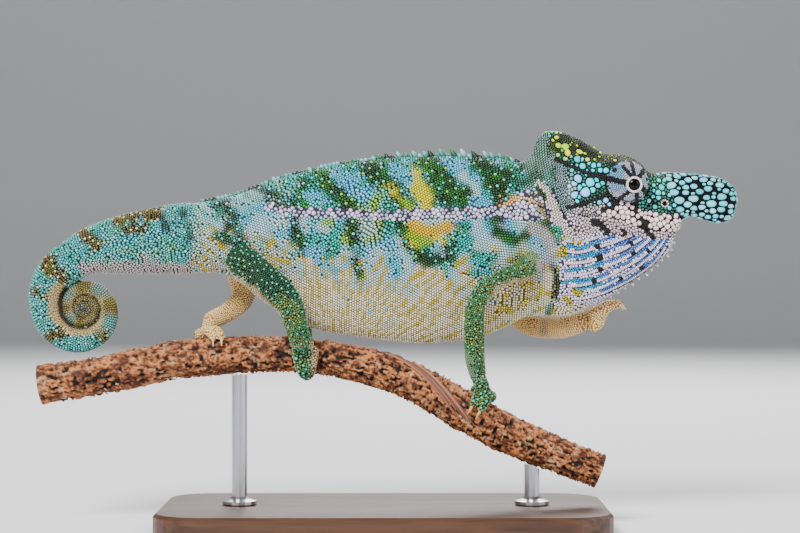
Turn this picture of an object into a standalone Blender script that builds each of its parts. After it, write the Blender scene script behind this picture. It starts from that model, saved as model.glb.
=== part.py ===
"""Life-size display model of a rhinoceros chameleon gripping a cut length of branch.

The animal faces +X and its right side faces -Y. The origin is under the middle of the stand's base.
Sizes are in millimetres until a mesh is made, and the meshes are in metres.
Head, neck, torso and horn are one form: an outline in the XZ plane and a half width at each point of
it. Each of those nodes is a piece of that form, so neighbours meet face to face.
"""

import math

import bmesh
import bpy
import numpy as np
from mathutils import Vector

MM = 0.001
GAP = 0.3
NEAR = -1
FAR = 1

# Side outline, from the top of the tail's root along the back and over the casque to the snout.
BACK = (
    (-48.9, 83.5), (-37.9, 85.8), (-28.1, 89.6), (-17.9, 92.3), (-8.0, 94.2), (1.8, 95.3), (12.0, 95.7),
    (21.9, 95.6), (30.2, 95.2), (36.4, 94.4), (38.2, 96.0), (39.5, 99.3), (41.4, 101.9), (44.7, 102.3),
    (50.2, 100.7), (53.6, 98.7), (57.5, 96.5), (61.3, 96.3), (64.5, 95.4), (66.7, 93.9), (68.9, 91.6),
    (72.3, 91.4),
)
HORN_TOP = ((72.3, 91.4), (78.8, 91.1), (83.2, 90.6), (88.7, 89.3), (91.1, 87.2), (91.9, 83.9))
HORN_UNDER = ((77.6, 79.2), (78.8, 80.0), (83.2, 79.2), (86.9, 78.4), (90.0, 79.2), (91.9, 83.9))
UPPER_LIP = ((77.6, 79.2), (77.6, 78.3), (77.0, 76.9), (76.0, 76.3))
THROAT = (
    (75.4, 75.5), (75.4, 74.3), (74.4, 71.6), (71.0, 68.1), (65.5, 63.7), (59.6, 59.9), (53.1, 56.3),
    (47.6, 54.1),
)
BELLY = (
    (47.6, 54.1), (36.7, 53.7), (31.2, 51.1), (25.8, 48.9), (14.3, 47.1), (1.8, 47.6), (-8.0, 48.9),
    (-17.9, 50.8), (-24.4, 53.6), (-31.7, 58.2), (-37.4, 62.7), (-42.0, 64.9), (-47.6, 65.3),
)
# The line of the mouth, and the line across the jaw's angle by which the jaw is parted from the head.
MOUTH = ((76.0, 76.0), (70.5, 76.1), (65.3, 77.2), (60.1, 79.3), (56.2, 80.1), (52.3, 79.8), (48.9, 80.6))
JAW_ANGLE = ((48.9, 80.6), (43.6, 77.5))
HORN_ROOT = ((72.3, 91.4), (73.9, 87.9), (75.2, 85.0), (77.6, 79.2))

# Where the trunk is cut: the x of each cut's upper and lower end.
TAIL_CUT = (-48.6, -47.6)
SHOULDER_CUT = (36.9, 41.9)
NAPE_CUT = (40.8, 46.3)

# Half widths of the trunk and head: x, z, half width, depth of the rounded edge, reach of the value.
WIDTHS = (
    (-60.0, 73.5, 5.2, 8.7, 7.0),
    (-48.5, 74.4, 5.6, 9.1, 6.0),
    (-38.0, 75.0, 7.0, 12.0, 7.0),
    (-25.0, 72.0, 8.7, 17.0, 9.0),
    (-8.0, 69.0, 9.6, 21.0, 12.0),
    (12.0, 69.0, 9.8, 22.0, 12.0),
    (28.0, 73.0, 9.1, 20.0, 9.0),
    (37.0, 78.0, 7.6, 14.0, 6.0),
    (38.0, 62.0, 7.6, 13.0, 6.0),
    (43.0, 86.0, 6.4, 9.0, 4.0),
    (45.0, 66.0, 6.6, 10.0, 5.0),
    (43.5, 98.0, 3.2, 5.0, 3.0),
    (53.0, 88.0, 7.5, 8.0, 4.5),
    (52.0, 95.5, 5.6, 5.5, 3.0),
    (62.6, 88.9, 6.5, 5.0, 3.5),
    (60.0, 80.5, 7.4, 7.0, 4.0),
    (69.5, 86.0, 5.0, 4.0, 3.0),
    (72.0, 79.5, 5.0, 4.0, 2.6),
    (76.0, 79.0, 3.6, 2.6, 1.8),
    (57.0, 69.0, 6.3, 9.0, 6.0),
    (66.0, 71.0, 5.4, 6.5, 4.0),
    (72.5, 73.5, 4.2, 3.4, 2.4),
    (75.5, 86.0, 3.0, 3.0, 2.2),
    (83.0, 85.0, 2.7, 3.2, 4.0),
    (89.5, 84.0, 2.5, 3.2, 4.0),
)

# Ridges, bulges, folds and pits of the sides: points along it, height (below 0 for a groove), breadth.
LATERAL_CREST = (((66.6, 92.6), (60.5, 93.6), (55.0, 93.4), (49.5, 95.6), (44.6, 100.4)), 0.9, 1.1)
BROW = (((66.6, 92.6), (70.5, 90.6), (74.5, 89.3)), 0.5, 0.9)
TEMPLE = (((50.0, 86.0), (55.5, 83.5)), 0.6, 3.0)
UPPER_LIP_ROLL = (((75.6, 77.8), (70.3, 77.8), (65.0, 78.9), (59.8, 81.0)), 0.45, 0.9)
LOWER_LIP_ROLL = (((74.6, 74.6), (70.3, 74.7), (65.0, 75.7), (59.8, 77.6)), 0.4, 0.8)
MOUTH_LINE = (MOUTH, -0.55, 0.5)
NOSTRIL = (((72.6, 83.3),), -1.3, 0.75)
NECK_FOLD = (((40.3, 88.4), (42.5, 80.5), (44.9, 73.1)), -0.7, 1.1)
OCCIPUT_FOLD = (((44.2, 89.0), (45.6, 82.0), (46.6, 76.5)), -0.7, 0.9)
THROAT_FOLD = (((44.6, 69.0), (43.9, 62.0), (43.6, 56.5)), -0.9, 1.1)
SHOULDER = (((38.0, 68.0), (33.0, 70.0)), 0.7, 5.0)
HIP = (((-38.0, 69.5), (-33.0, 67.0)), 0.9, 5.0)
FORMS = (
    LATERAL_CREST, BROW, TEMPLE, UPPER_LIP_ROLL, LOWER_LIP_ROLL, MOUTH_LINE, NOSTRIL, NECK_FOLD,
    OCCIPUT_FOLD, THROAT_FOLD, SHOULDER, HIP,
)
FORM_FADE = 1.5

# Eye: a scaly turret whose small opening shows the eyeball.
EYE = (62.7, 88.9)
TURRET_RADIUS = 5.4
TURRET_RISE = 4.7
TURRET_LIFT = 0.45
EYE_AIM = (1.3, -1.0)
LID_RADIUS = 2.0
OPENING_RADIUS = 1.55
OPENING_DEPTH = 1.3
EYEBALL_RADIUS = 1.25

# Crest of single spines along the back and under the chin: x of each spine's root, and its height.
BACK_SPINES = (
    (-1.3, 1.0), (1.1, 1.1), (4.2, 1.2), (6.0, 1.0), (8.3, 1.3), (11.0, 1.2), (12.5, 1.4), (15.4, 1.7),
    (18.5, 1.8), (21.1, 1.7), (23.9, 1.5), (26.8, 1.4), (28.4, 1.2), (30.6, 1.2), (32.3, 1.1), (33.6, 0.9),
    (34.9, 0.9),
)
BACK_TUBERCLES = (-38.0, -3.5, 15, 0.6)
CHIN_SPINES = (
    (0.2, 1.0), (0.28, 1.2), (0.36, 1.3), (0.44, 1.4), (0.52, 1.3), (0.6, 1.2), (0.68, 1.0), (0.78, 0.8),
)
SPINE_ROOT = 0.55
SPINE_SINK = 0.9

# Rows of raised plates: the row's line, how many, half length, half breadth, seeded variation.
PLATE_RISE = 0.35
PLATE_SINK = 0.7
HEAD_PLATES = (
    (((44.9, 98.4), (48.4, 98.6), (52.5, 97.2), (56.8, 95.4)), 5, 1.1, 0.72, 0.12),
    (((46.7, 96.4), (50.5, 96.4), (54.6, 94.9), (58.0, 95.6)), 4, 1.1, 0.72, 0.12),
    (((45.8, 94.6), (49.7, 93.7), (54.6, 91.2)), 5, 0.8, 0.7, 0.15),
    (((49.9, 90.2), (54.9, 88.4)), 3, 1.1, 1.0, 0.1),
    (((48.6, 85.2), (55.3, 85.7)), 4, 1.1, 1.05, 0.15),
    (((75.4, 78.4), (70.3, 78.3), (65.0, 79.5), (60.5, 81.4)), 9, 0.78, 0.62, 0.08),
    (((71.0, 80.4), (66.0, 81.3), (60.6, 83.2)), 5, 0.75, 0.55, 0.12),
)
CHIN_PLATES = ((((73.8, 74.6), (70.3, 74.7), (65.0, 75.6), (59.8, 77.5)), 8, 0.8, 0.5, 0.08),)
HORN_PLATES = (
    (((75.2, 89.3), (88.6, 87.6)), 6, 1.1, 0.62, 0.15),
    (((76.8, 86.4), (89.6, 85.2)), 5, 1.15, 0.8, 0.2),
    (((78.0, 83.3), (89.9, 82.6)), 5, 1.2, 0.95, 0.2),
    (((79.8, 81.2), (87.6, 80.2)), 4, 1.0, 0.55, 0.15),
)

# Tail: its middle line from the trunk to where the coil begins, with the half depth at each point.
TAIL = ((-48.2, 74.4, 9.1), (-60.4, 73.5, 8.7), (-70.6, 72.2, 7.4), (-76.2, 71.0, 6.3))
COIL_CENTRE = (-78.0, 56.1)
COIL_START = -0.2
COIL_END = 3.3
COIL_HALF_DEPTHS = (
    (-0.2, 5.4), (0.0, 4.1), (0.25, 3.25), (0.5, 2.35), (0.75, 1.8), (1.0, 1.4), (1.5, 1.02), (2.0, 0.7),
    (2.5, 0.5), (3.3, 0.3),
)
COIL_CORE_RADII = ((2.3, 1.3), (3.3, 0.1))
TAIL_BREADTHS = ((-1.0, 0.62), (0.0, 0.85), (1.0, 0.95), (3.3, 0.95))
TAIL_CUTS = (-0.3, 0.45, 1.15, 1.9)

# Legs: x, y outwards from the middle plane, z and radius along each, then the stations that part it.
HIND_NEAR = (
    (-37.6, 6.5, 69.3, 4.3), (-34.8, 9.6, 67.0, 4.6), (-30.0, 11.6, 63.3, 4.3), (-25.8, 12.4, 59.9, 3.9),
    (-23.4, 12.2, 56.0, 3.5), (-22.2, 11.0, 51.2, 3.0), (-20.9, 9.4, 47.4, 3.0),
)
HIND_FAR = (
    (-37.6, 6.5, 68.5, 4.2), (-37.8, 9.0, 65.4, 4.1), (-37.2, 10.6, 61.6, 3.7), (-37.6, 10.8, 58.4, 3.2),
    (-40.2, 9.2, 55.6, 2.8), (-43.6, 6.6, 53.6, 2.6), (-45.6, 4.6, 52.6, 2.6),
)
FORE_NEAR = (
    (38.4, 8.0, 68.3, 3.2), (36.0, 11.2, 66.6, 2.9), (30.2, 13.0, 64.0, 2.4), (25.4, 13.6, 60.9, 2.6),
    (23.4, 13.2, 56.6, 2.7), (23.2, 11.2, 50.0, 2.8), (23.4, 8.4, 43.2, 2.7), (24.3, 5.6, 38.8, 2.3),
)
FORE_FAR = (
    (38.4, 8.0, 68.3, 3.2), (37.0, 10.4, 64.6, 2.9), (35.2, 11.2, 59.0, 2.6), (34.6, 10.8, 54.4, 2.7),
    (38.2, 9.6, 51.6, 2.9), (43.4, 7.6, 51.0, 3.1), (48.4, 6.0, 51.3, 3.0), (51.6, 5.2, 52.4, 2.8),
)
LIMB_FLATTEN = 0.85

# Perch: a cut length of branch, bent down to the right, as its middle line and radius.
BRANCH = (
    (-89.4, 36.2, 5.2), (-73.8, 38.6, 5.1), (-52.0, 43.0, 5.1), (-41.1, 43.8, 4.9), (-28.3, 44.1, 4.8),
    (-16.6, 43.4, 4.6), (-8.8, 42.1, 4.7), (0.3, 39.8, 4.9), (8.1, 36.7, 5.1), (15.9, 32.5, 5.3),
    (23.7, 27.8, 5.4), (31.5, 23.7, 5.2), (40.6, 19.8, 4.9), (49.7, 16.2, 4.7), (56.2, 13.7, 4.6),
)

# Display stand.
BASE_LENGTH = 116.0
BASE_BREADTH = 62.0
BASE_THICKNESS = 5.0
BASE_CORNER = 12.0
BASE_EDGE = 0.8
ROD_RADIUS = 2.0
ROD_FLANGE_RADIUS = 4.5
ROD_FLANGE_HEIGHT = 1.4
ROD_X = (-37.5, 38.5)


def principled(name, colour, roughness, metallic=0.0):
    """A plain painted material; colour is linear red, green and blue."""
    material = bpy.data.materials.new(name)
    material.use_nodes = True
    shader = material.node_tree.nodes["Principled BSDF"]
    shader.inputs["Base Color"].default_value = (*colour, 1.0)
    shader.inputs["Roughness"].default_value = roughness
    shader.inputs["Metallic"].default_value = metallic
    return material


def add_object(name, mesh, material):
    mesh.materials.append(material)
    thing = bpy.data.objects.new(name, mesh)
    bpy.context.scene.collection.objects.link(thing)
    return thing


def closed_mesh(name, points, faces):
    """A mesh in metres from points in millimetres, its faces turned outwards and shaded smooth."""
    mesh = bpy.data.meshes.new(name)
    mesh.from_pydata([Vector(p) * MM for p in points], [], faces)
    work = bmesh.new()
    work.from_mesh(mesh)
    bmesh.ops.recalc_face_normals(work, faces=work.faces)
    work.to_mesh(mesh)
    work.free()
    mesh.shade_smooth()
    mesh.set_sharp_from_angle(angle=math.radians(50.0))
    return mesh


def smooth_path(points, per_span=8):
    """A smooth curve through the points, by cubic spans with chord-length tangents."""
    points = np.array(points, float)
    steps = np.linalg.norm(np.diff(points, axis=0), axis=1)
    at = np.concatenate([[0.0], np.cumsum(steps)])
    tangents = np.gradient(points, at, axis=0)
    spans = []
    for i, step in enumerate(steps):
        s = np.linspace(0.0, 1.0, per_span, endpoint=False)[:, None]
        spans.append(
            (2 * s**3 - 3 * s**2 + 1) * points[i]
            + (s**3 - 2 * s**2 + s) * step * tangents[i]
            + (3 * s**2 - 2 * s**3) * points[i + 1]
            + (s**3 - s**2) * step * tangents[i + 1]
        )
    return np.concatenate(spans + [points[-1:]])


def along(path, fractions):
    """Points at these fractions of the path's length."""
    steps = np.linalg.norm(np.diff(path[:, :2], axis=0), axis=1)
    at = np.concatenate([[0.0], np.cumsum(steps)])
    wanted = np.asarray(fractions) * at[-1]
    return np.stack([np.interp(wanted, at, path[:, k]) for k in range(path.shape[1])], axis=-1)


def distance_to_path(points, path):
    """The distance of each XZ point to a line through the path's points."""
    if len(path) == 1:
        return np.linalg.norm(points - path[0], axis=-1)
    start = path[:-1]
    run = path[1:] - start
    length = np.maximum((run**2).sum(axis=1), 1e-9)
    offset = points[..., None, :] - start
    share = np.clip((offset * run).sum(axis=-1) / length, 0.0, 1.0)
    return np.linalg.norm(offset - share[..., None] * run, axis=-1).min(axis=-1)


def outline_of_trunk():
    """The lines where the trunk's half width falls to nothing, carried on along the tail's root."""
    tail_top = ((-60.4, 82.2), (-48.9, 83.5))
    tail_under = ((-47.6, 65.3), (-60.4, 64.8))
    top = np.concatenate([np.array(tail_top), smooth_path(BACK), smooth_path(HORN_TOP)])
    under = np.concatenate([smooth_path(UPPER_LIP)[::-1], smooth_path(HORN_UNDER)])
    low = np.concatenate([smooth_path(THROAT), smooth_path(BELLY), np.array(tail_under)])
    return top, under, low


OUTLINE = outline_of_trunk()
FORM_PATHS = [(smooth_path(p) if len(p) > 2 else np.array(p), h, b) for p, h, b in FORMS]


def half_width(points):
    """Half the breadth of trunk, head and horn at XZ points, in millimetres."""
    points = np.asarray(points, float)
    table = np.array(WIDTHS)
    reach = np.linalg.norm(points[..., None, :] - table[:, :2], axis=-1) / table[:, 4]
    weight = np.exp(-0.5 * reach**2) + 1e-9
    weight /= weight.sum(axis=-1, keepdims=True)
    width = (weight * table[:, 2]).sum(axis=-1)
    rounding = (weight * table[:, 3]).sum(axis=-1)
    edge = np.min([distance_to_path(points, path) for path in OUTLINE], axis=0)
    inward = np.clip(edge / rounding, 0.0, 1.0)
    width = width * np.sqrt(1.0 - (1.0 - inward) ** 2)
    fade = np.clip(edge / FORM_FADE, 0.0, 1.0)
    for path, height, breadth in FORM_PATHS:
        width = width + fade * height * np.exp(-((distance_to_path(points, path) / breadth) ** 2))
    return np.maximum(width, 0.0)


def both_sides(name, grid):
    """A closed mesh that spans a grid of XZ points on both sides of the middle plane."""
    rows, columns = grid.shape[:2]
    widths = half_width(grid)
    points = []
    near = np.zeros((rows, columns), int)
    far = np.zeros((rows, columns), int)
    least = 0.05
    for i in range(rows):
        for j in range(columns):
            x, z = grid[i, j]
            width = widths[i, j]
            near[i, j] = far[i, j] = len(points)
            if width < least:
                points.append((x, 0.0, z))
                continue
            far[i, j] = len(points) + 1
            points.append((x, NEAR * width, z))
            points.append((x, FAR * width, z))
    faces = []

    def add(*corners):
        kept = [c for k, c in enumerate(corners) if c != corners[k - 1]]
        if len(set(kept)) > 2:
            faces.append(kept)

    for i in range(rows - 1):
        for j in range(columns - 1):
            add(near[i, j], near[i + 1, j], near[i + 1, j + 1], near[i, j + 1])
            add(far[i, j], far[i, j + 1], far[i + 1, j + 1], far[i + 1, j])
    for i in range(rows - 1):
        add(near[i, 0], far[i, 0], far[i + 1, 0], near[i + 1, 0])
        add(near[i, -1], near[i + 1, -1], far[i + 1, -1], far[i, -1])
    for j in range(columns - 1):
        add(near[0, j], near[0, j + 1], far[0, j + 1], far[0, j])
        add(near[-1, j], far[-1, j], far[-1, j + 1], near[-1, j + 1])
    return closed_mesh(name, points, faces)


def side_normal(point, side):
    """The outward normal of the trunk's side above an XZ point."""
    step = 0.15
    x, z = point
    around = half_width(np.array([(x + step, z), (x - step, z), (x, z + step), (x, z - step)]))
    slope_x = (around[0] - around[1]) / (2 * step)
    slope_z = (around[2] - around[3]) / (2 * step)
    return unit(np.array([-slope_x, side, -slope_z]))


def plate(point, ahead, side, half_length, half_breadth):
    """A raised six-sided plate with bevelled sides, its root sunk into the surface."""
    normal = side_normal(point, side)
    forward = np.array([ahead[0], 0.0, ahead[1]])
    along_it = unit(forward - normal * forward.dot(normal))
    across = cross(normal, along_it)
    centre = np.array([point[0], side * float(half_width(np.array(point))), point[1]])
    angles = np.arange(6) * np.pi / 3
    outline = half_length * np.cos(angles)[:, None] * along_it
    outline = outline + half_breadth * np.sin(angles)[:, None] * across
    rings = [centre - PLATE_SINK * normal + outline, centre + PLATE_RISE * normal + 0.7 * outline]
    return skin_rings("plate", rings)


def plate_rows(rows, side, seed):
    """Rows of plates on one side of the head, each row's sizes varied a little."""
    draw = np.random.default_rng(seed)
    plates = []
    for line, count, half_length, half_breadth, vary in rows:
        path = smooth_path(line) if len(line) > 2 else np.array(line, float)
        middles = along(path, (np.arange(count) + 0.5) / count)
        ahead = along(path, np.minimum((np.arange(count) + 0.6) / count, 1.0)) - middles
        for point, direction in zip(middles, ahead):
            scale = 1.0 + vary * draw.uniform(-1.0, 1.0)
            plates.append(plate(tuple(point), direction, side, half_length * scale, half_breadth * scale))
    return plates


def spine(root, lean, height, radius):
    """A four-sided spine, its root sunk into the form it grows from."""
    lean = unit(np.array(lean))
    frame = (lean, np.array([0.0, 1.0, 0.0]), cross(lean, np.array([0.0, 1.0, 0.0])))
    foot = root - lean * SPINE_SINK
    waist = root + lean * 0.3 * height
    rings = [ring_points(foot, frame, radius, 4), ring_points(waist, frame, 0.7 * radius, 4)]
    return skin_rings("spine", rings, end_tip=root + lean * height)


def back_spines():
    back = smooth_path(BACK)
    first, last, count, height = BACK_TUBERCLES
    rows = [(x, height) for x in np.linspace(first, last, count)] + list(BACK_SPINES)
    made = []
    for x, tall in rows:
        point = on_line_at(back[back[:, 0] < SHOULDER_CUT[0]], np.array([x]))[0]
        made.append(spine(np.array([x, 0.0, point[1]]), (-0.35, 0.0, 1.0), tall, SPINE_ROOT))
    return made


def chin_spines():
    under = along(smooth_path(THROAT), [share for share, _ in CHIN_SPINES])
    ahead = along(smooth_path(THROAT), [share + 0.02 for share, _ in CHIN_SPINES]) - under
    made = []
    for (x, z), (run_x, run_z), (_, tall) in zip(under, ahead, CHIN_SPINES):
        made.append(spine(np.array([x, 0.0, z]), (-run_z, 0.0, run_x), tall, SPINE_ROOT))
    return made


def spread_evenly(count):
    return np.linspace(0.0, 1.0, count)


def spread_to_both(count):
    """Fractions that crowd towards both ends, where the form turns under."""
    return 0.5 - 0.5 * np.cos(np.pi * spread_evenly(count))


def spread_to_first(count):
    """Fractions that crowd towards the first end."""
    return 1.0 - np.cos(0.5 * np.pi * spread_evenly(count))


def ruled(first, second, across):
    """A grid of XZ points on the straight lines between two rows of points."""
    return first[:, None, :] + (second - first)[:, None, :] * np.asarray(across)[None, :, None]


def on_line_at(path, xs):
    """Points of a line whose x always grows or always falls, at these x."""
    path = path if path[0, 0] < path[-1, 0] else path[::-1]
    return np.stack([xs, np.interp(xs, path[:, 0], path[:, 1])], axis=-1)


def trunk_piece(name, first_cut, last_cut, stations, across):
    """A length of the trunk between two cuts, each given by the x of its upper and lower end."""
    top = on_line_at(smooth_path(BACK), np.linspace(first_cut[0], last_cut[0], stations))
    low = np.concatenate([smooth_path(THROAT), smooth_path(BELLY)])
    bottom = on_line_at(low, np.linspace(first_cut[1], last_cut[1], stations))
    return both_sides(name, ruled(top, bottom, spread_to_both(across)))


def shifted(cut, by):
    return (cut[0] + by, cut[1] + by)


def nape_ends():
    """The upper, middle and lower end of the cut between neck and head."""
    top = on_line_at(smooth_path(BACK), np.array([NAPE_CUT[0] + 0.5 * GAP]))[0]
    low = on_line_at(smooth_path(THROAT + BELLY[1:]), np.array([NAPE_CUT[1] + 0.5 * GAP]))[0]
    share = (top[1] - JAW_ANGLE[1][1]) / (top[1] - low[1])
    return top, top + share * (low - top), low


def mouth_path(lift):
    """The parting line of head and jaw, from the nape to the front, lifted by this much."""
    middle = nape_ends()[1]
    back_to_front = np.concatenate([[middle], smooth_path(MOUTH)[::-1]])
    return back_to_front + np.array([0.0, lift])


def head_mesh(stations, across):
    top_point = nape_ends()[0]
    over = smooth_path(BACK)
    over = over[over[:, 0] > top_point[0]]
    front = np.concatenate([smooth_path(HORN_ROOT)[1:], smooth_path(UPPER_LIP)[1:-4]])
    first = along(np.concatenate([[top_point], over, front]), spread_evenly(stations))
    second = along(mouth_path(0.6 * GAP), spread_evenly(stations))
    return both_sides("head", ruled(first, second, spread_to_first(across)))


def jaw_mesh(stations, across):
    low_point = nape_ends()[2]
    under = smooth_path(THROAT + BELLY[1:2])[::-1]
    under = under[under[:, 0] > low_point[0]]
    first = along(np.concatenate([[low_point], under]), spread_evenly(stations))
    second = along(mouth_path(-0.6 * GAP), spread_evenly(stations))
    return both_sides("lower_jaw_and_throat", ruled(first, second, spread_to_first(across)))


def horn_mesh(stations, across):
    root = np.array(HORN_ROOT[-1]) - np.array(HORN_ROOT[0])
    clear = np.array([-root[1], root[0]]) / np.linalg.norm(root) * GAP
    top = smooth_path(HORN_TOP)
    under = smooth_path(HORN_UNDER)
    top[0] += clear
    under[0] += clear
    fractions = np.sin(0.5 * np.pi * spread_evenly(stations))
    first = along(top, fractions)
    second = along(under, fractions)
    return both_sides("horn", ruled(first, second, spread_to_both(across)))


def cross(a, b):
    return np.array([a[1] * b[2] - a[2] * b[1], a[2] * b[0] - a[0] * b[2], a[0] * b[1] - a[1] * b[0]])


def unit(vector):
    return vector / np.linalg.norm(vector)


def carried_frames(path, first_side):
    """A frame at each point of a 3-D path, carried along it without twist: tangent, side and up."""
    tangents = np.gradient(path, axis=0)
    tangents /= np.linalg.norm(tangents, axis=1)[:, None]
    side = np.array(first_side, float)
    frames = []
    for tangent in tangents:
        side = unit(side - tangent * side.dot(tangent))
        frames.append((tangent, side, cross(tangent, side)))
    return frames


def ring_points(centre, frame, radius, sides, flatten=1.0):
    """Points of a round section; flatten scales its breadth across the middle plane."""
    angles = np.arange(sides) * 2 * np.pi / sides
    offsets = radius * (np.cos(angles)[:, None] * frame[1] + np.sin(angles)[:, None] * frame[2])
    offsets[:, 1] *= flatten
    return centre + offsets


def skin_rings(name, rings, start_tip=None, end_tip=None):
    """A closed mesh through rings of as many points each, closed by a fan to each tip or centre."""
    sides = len(rings[0])
    points = [tuple(p) for ring in rings for p in ring]
    faces = []
    for i in range(len(rings) - 1):
        for k in range(sides):
            m = (k + 1) % sides
            faces.append((i * sides + k, i * sides + m, (i + 1) * sides + m, (i + 1) * sides + k))
    for ring, start, tip in ((rings[0], 0, start_tip), (rings[-1], (len(rings) - 1) * sides, end_tip)):
        points.append(tuple(np.mean(ring, axis=0) if tip is None else tip))
        centre = len(points) - 1
        faces += [(start + k, start + (k + 1) % sides, centre) for k in range(sides)]
    return closed_mesh(name, points, faces)


def coil_radius(turn):
    """The radius of the coil's middle line at this turn, so that each turn just clears the next."""
    inner = turn + 1.0
    if turn >= COIL_CORE_RADII[0][0]:
        return float(np.interp(turn, *zip(*COIL_CORE_RADII)))
    return coil_half_depth(turn) + coil_half_depth(inner) + GAP + coil_radius(inner)


def coil_half_depth(turn):
    return float(np.interp(turn, *zip(*COIL_HALF_DEPTHS)))


def coil_point(turn):
    """A point of the coil's middle line; turn 0 is its left, and it runs down, right and up."""
    angle = np.pi + 2 * np.pi * turn
    radius = coil_radius(turn)
    return (COIL_CENTRE[0] + radius * math.cos(angle), COIL_CENTRE[1] + radius * math.sin(angle))


def tail_stations():
    """Turn, x, z and half depth along the whole tail; turns below 0 are the run before the coil."""
    joined = TAIL + ((*coil_point(COIL_START), coil_half_depth(COIL_START)),)
    run = smooth_path(joined, 3)[:-1]
    lead = np.linspace(-1.0, COIL_START, len(run), endpoint=False)
    rows = [(turn, x, z, depth) for turn, (x, z, depth) in zip(lead, run)]
    turn = COIL_START
    while turn < COIL_END:
        rows.append((turn, *coil_point(turn), coil_half_depth(turn)))
        turn += 0.05 if turn < 1.2 else 0.085
    return np.array(rows)


def tail_rings(rows, sides):
    path = np.stack([rows[:, 1], np.zeros(len(rows)), rows[:, 2]], axis=-1)
    breadths = np.interp(rows[:, 0], *zip(*TAIL_BREADTHS))
    frames = carried_frames(path, (0.0, 1.0, 0.0))
    return [
        ring_points(point, frame, depth, sides, breadth)
        for point, frame, depth, breadth in zip(path, frames, rows[:, 3], breadths)
    ]


def tail_pieces(material, sides=12):
    """The tail in lengths, each a whole number of stations, with a thin cut between neighbours."""
    rows = tail_stations()
    names = ("tail_base", "tail_curve", "tail_coil_outer", "tail_coil_middle", "tail_tip")
    ends = [0] + [int(np.argmin(np.abs(rows[:, 0] - cut))) for cut in TAIL_CUTS] + [len(rows) - 1]
    rings = tail_rings(rows, sides)
    path = [ring.mean(axis=0) for ring in rings]
    pieces = []
    for name, first, last in zip(names, ends, ends[1:]):
        length = [ring.copy() for ring in rings[first:last + 1]]
        clear = 0.5 * GAP
        start = unit(path[first + 1] - path[first])
        length[0] += start * (clear if first else GAP)
        if last < len(rows) - 1:
            length[-1] -= unit(path[last] - path[last - 1]) * clear
        pieces.append(add_object(name, skin_rings(name, length), material))
    return pieces


def limb_path(stations, side, per_span=4):
    """The middle line and radii of a leg on one side of the body."""
    rows = smooth_path(stations, per_span)
    rows[:, 1] *= side
    return rows[:, :3], rows[:, 3]


def limb_rings(stations, side, sides, per_span=4):
    path, radii = limb_path(stations, side, per_span)
    frames = carried_frames(path, (1.0, 0.0, 0.0))
    rings = [
        ring_points(point, frame, radius, sides, LIMB_FLATTEN)
        for point, frame, radius in zip(path, frames, radii)
    ]
    return path, rings


def set_on_trunk(ring, side, lift=GAP):
    """Moves points across to the trunk's surface, a gap clear of it."""
    placed = ring.copy()
    placed[:, 1] = side * (half_width(ring[:, [0, 2]]) + lift)
    return placed


def limb_pieces(names, stations, side, cut, sides, material):
    """The upper and lower piece of a leg, and the ring on which its foot begins."""
    per_span = 3
    path, rings = limb_rings(stations, side, sides, per_span)
    lift = 1.4 * GAP
    root = set_on_trunk(rings[0], side, lift)
    centre = set_on_trunk(rings[0].mean(axis=0)[None, :], side, lift)[0]
    clear = [p for p in range(1, len(rings)) if clears_trunk(rings[p], side)]
    split = cut * per_span
    tangent = unit(path[split + 1] - path[split - 1])
    upper = [root] + [rings[p] for p in clear if p < split] + [rings[split] - tangent * 0.5 * GAP]
    lower = [rings[split] + tangent * 0.5 * GAP] + rings[split + 1:]
    add_object(names[0], skin_rings(names[0], upper, start_tip=centre), material)
    add_object(names[1], skin_rings(names[1], lower), material)
    return rings[-1], unit(path[-1] - path[-2])


def clears_trunk(ring, side):
    """Whether every point of a ring stands outside the trunk."""
    return bool((ring[:, 1] * side > half_width(ring[:, [0, 2]]) + GAP).all())


def turret_mesh(name, side, segments=14):
    """The eye's cone of fused lids, its base on the side of the head and its opening in the middle."""
    aim = np.array(EYE_AIM)
    arcs = np.radians((0, 14, 28, 42, 56))
    profile = [(TURRET_RADIUS * math.cos(arc), TURRET_RISE * math.sin(arc)) for arc in arcs]
    profile += [(LID_RADIUS + 0.25, TURRET_RISE - 0.15), (LID_RADIUS - 0.1, TURRET_RISE)]
    profile += [(OPENING_RADIUS, TURRET_RISE - 0.25), (OPENING_RADIUS, TURRET_RISE - OPENING_DEPTH)]
    angles = np.arange(segments) * 2 * np.pi / segments
    circle = np.stack([np.cos(angles), np.sin(angles)], axis=-1)
    centre_width = float(half_width(np.array(EYE)))
    rings = []
    for share in (0.3, 0.5, 0.7, 0.85, 1.0):
        flat = np.array(EYE) + share * TURRET_RADIUS * circle
        rings.append(np.column_stack([flat[:, 0], side * (half_width(flat) + TURRET_LIFT), flat[:, 1]]))
    for radius, rise in profile[1:]:
        flat = np.array(EYE) + aim * (rise / TURRET_RISE) + radius * circle
        base = half_width(np.array(EYE) + TURRET_RADIUS * circle) + TURRET_LIFT
        share = min(rise / TURRET_RISE, 1.0)
        out = (1 - share) * base + share * centre_width + rise
        rings.append(np.column_stack([flat[:, 0], side * out, flat[:, 1]]))
    under = (EYE[0], side * (centre_width + TURRET_LIFT), EYE[1])
    return skin_rings(name, rings, start_tip=under)


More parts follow.
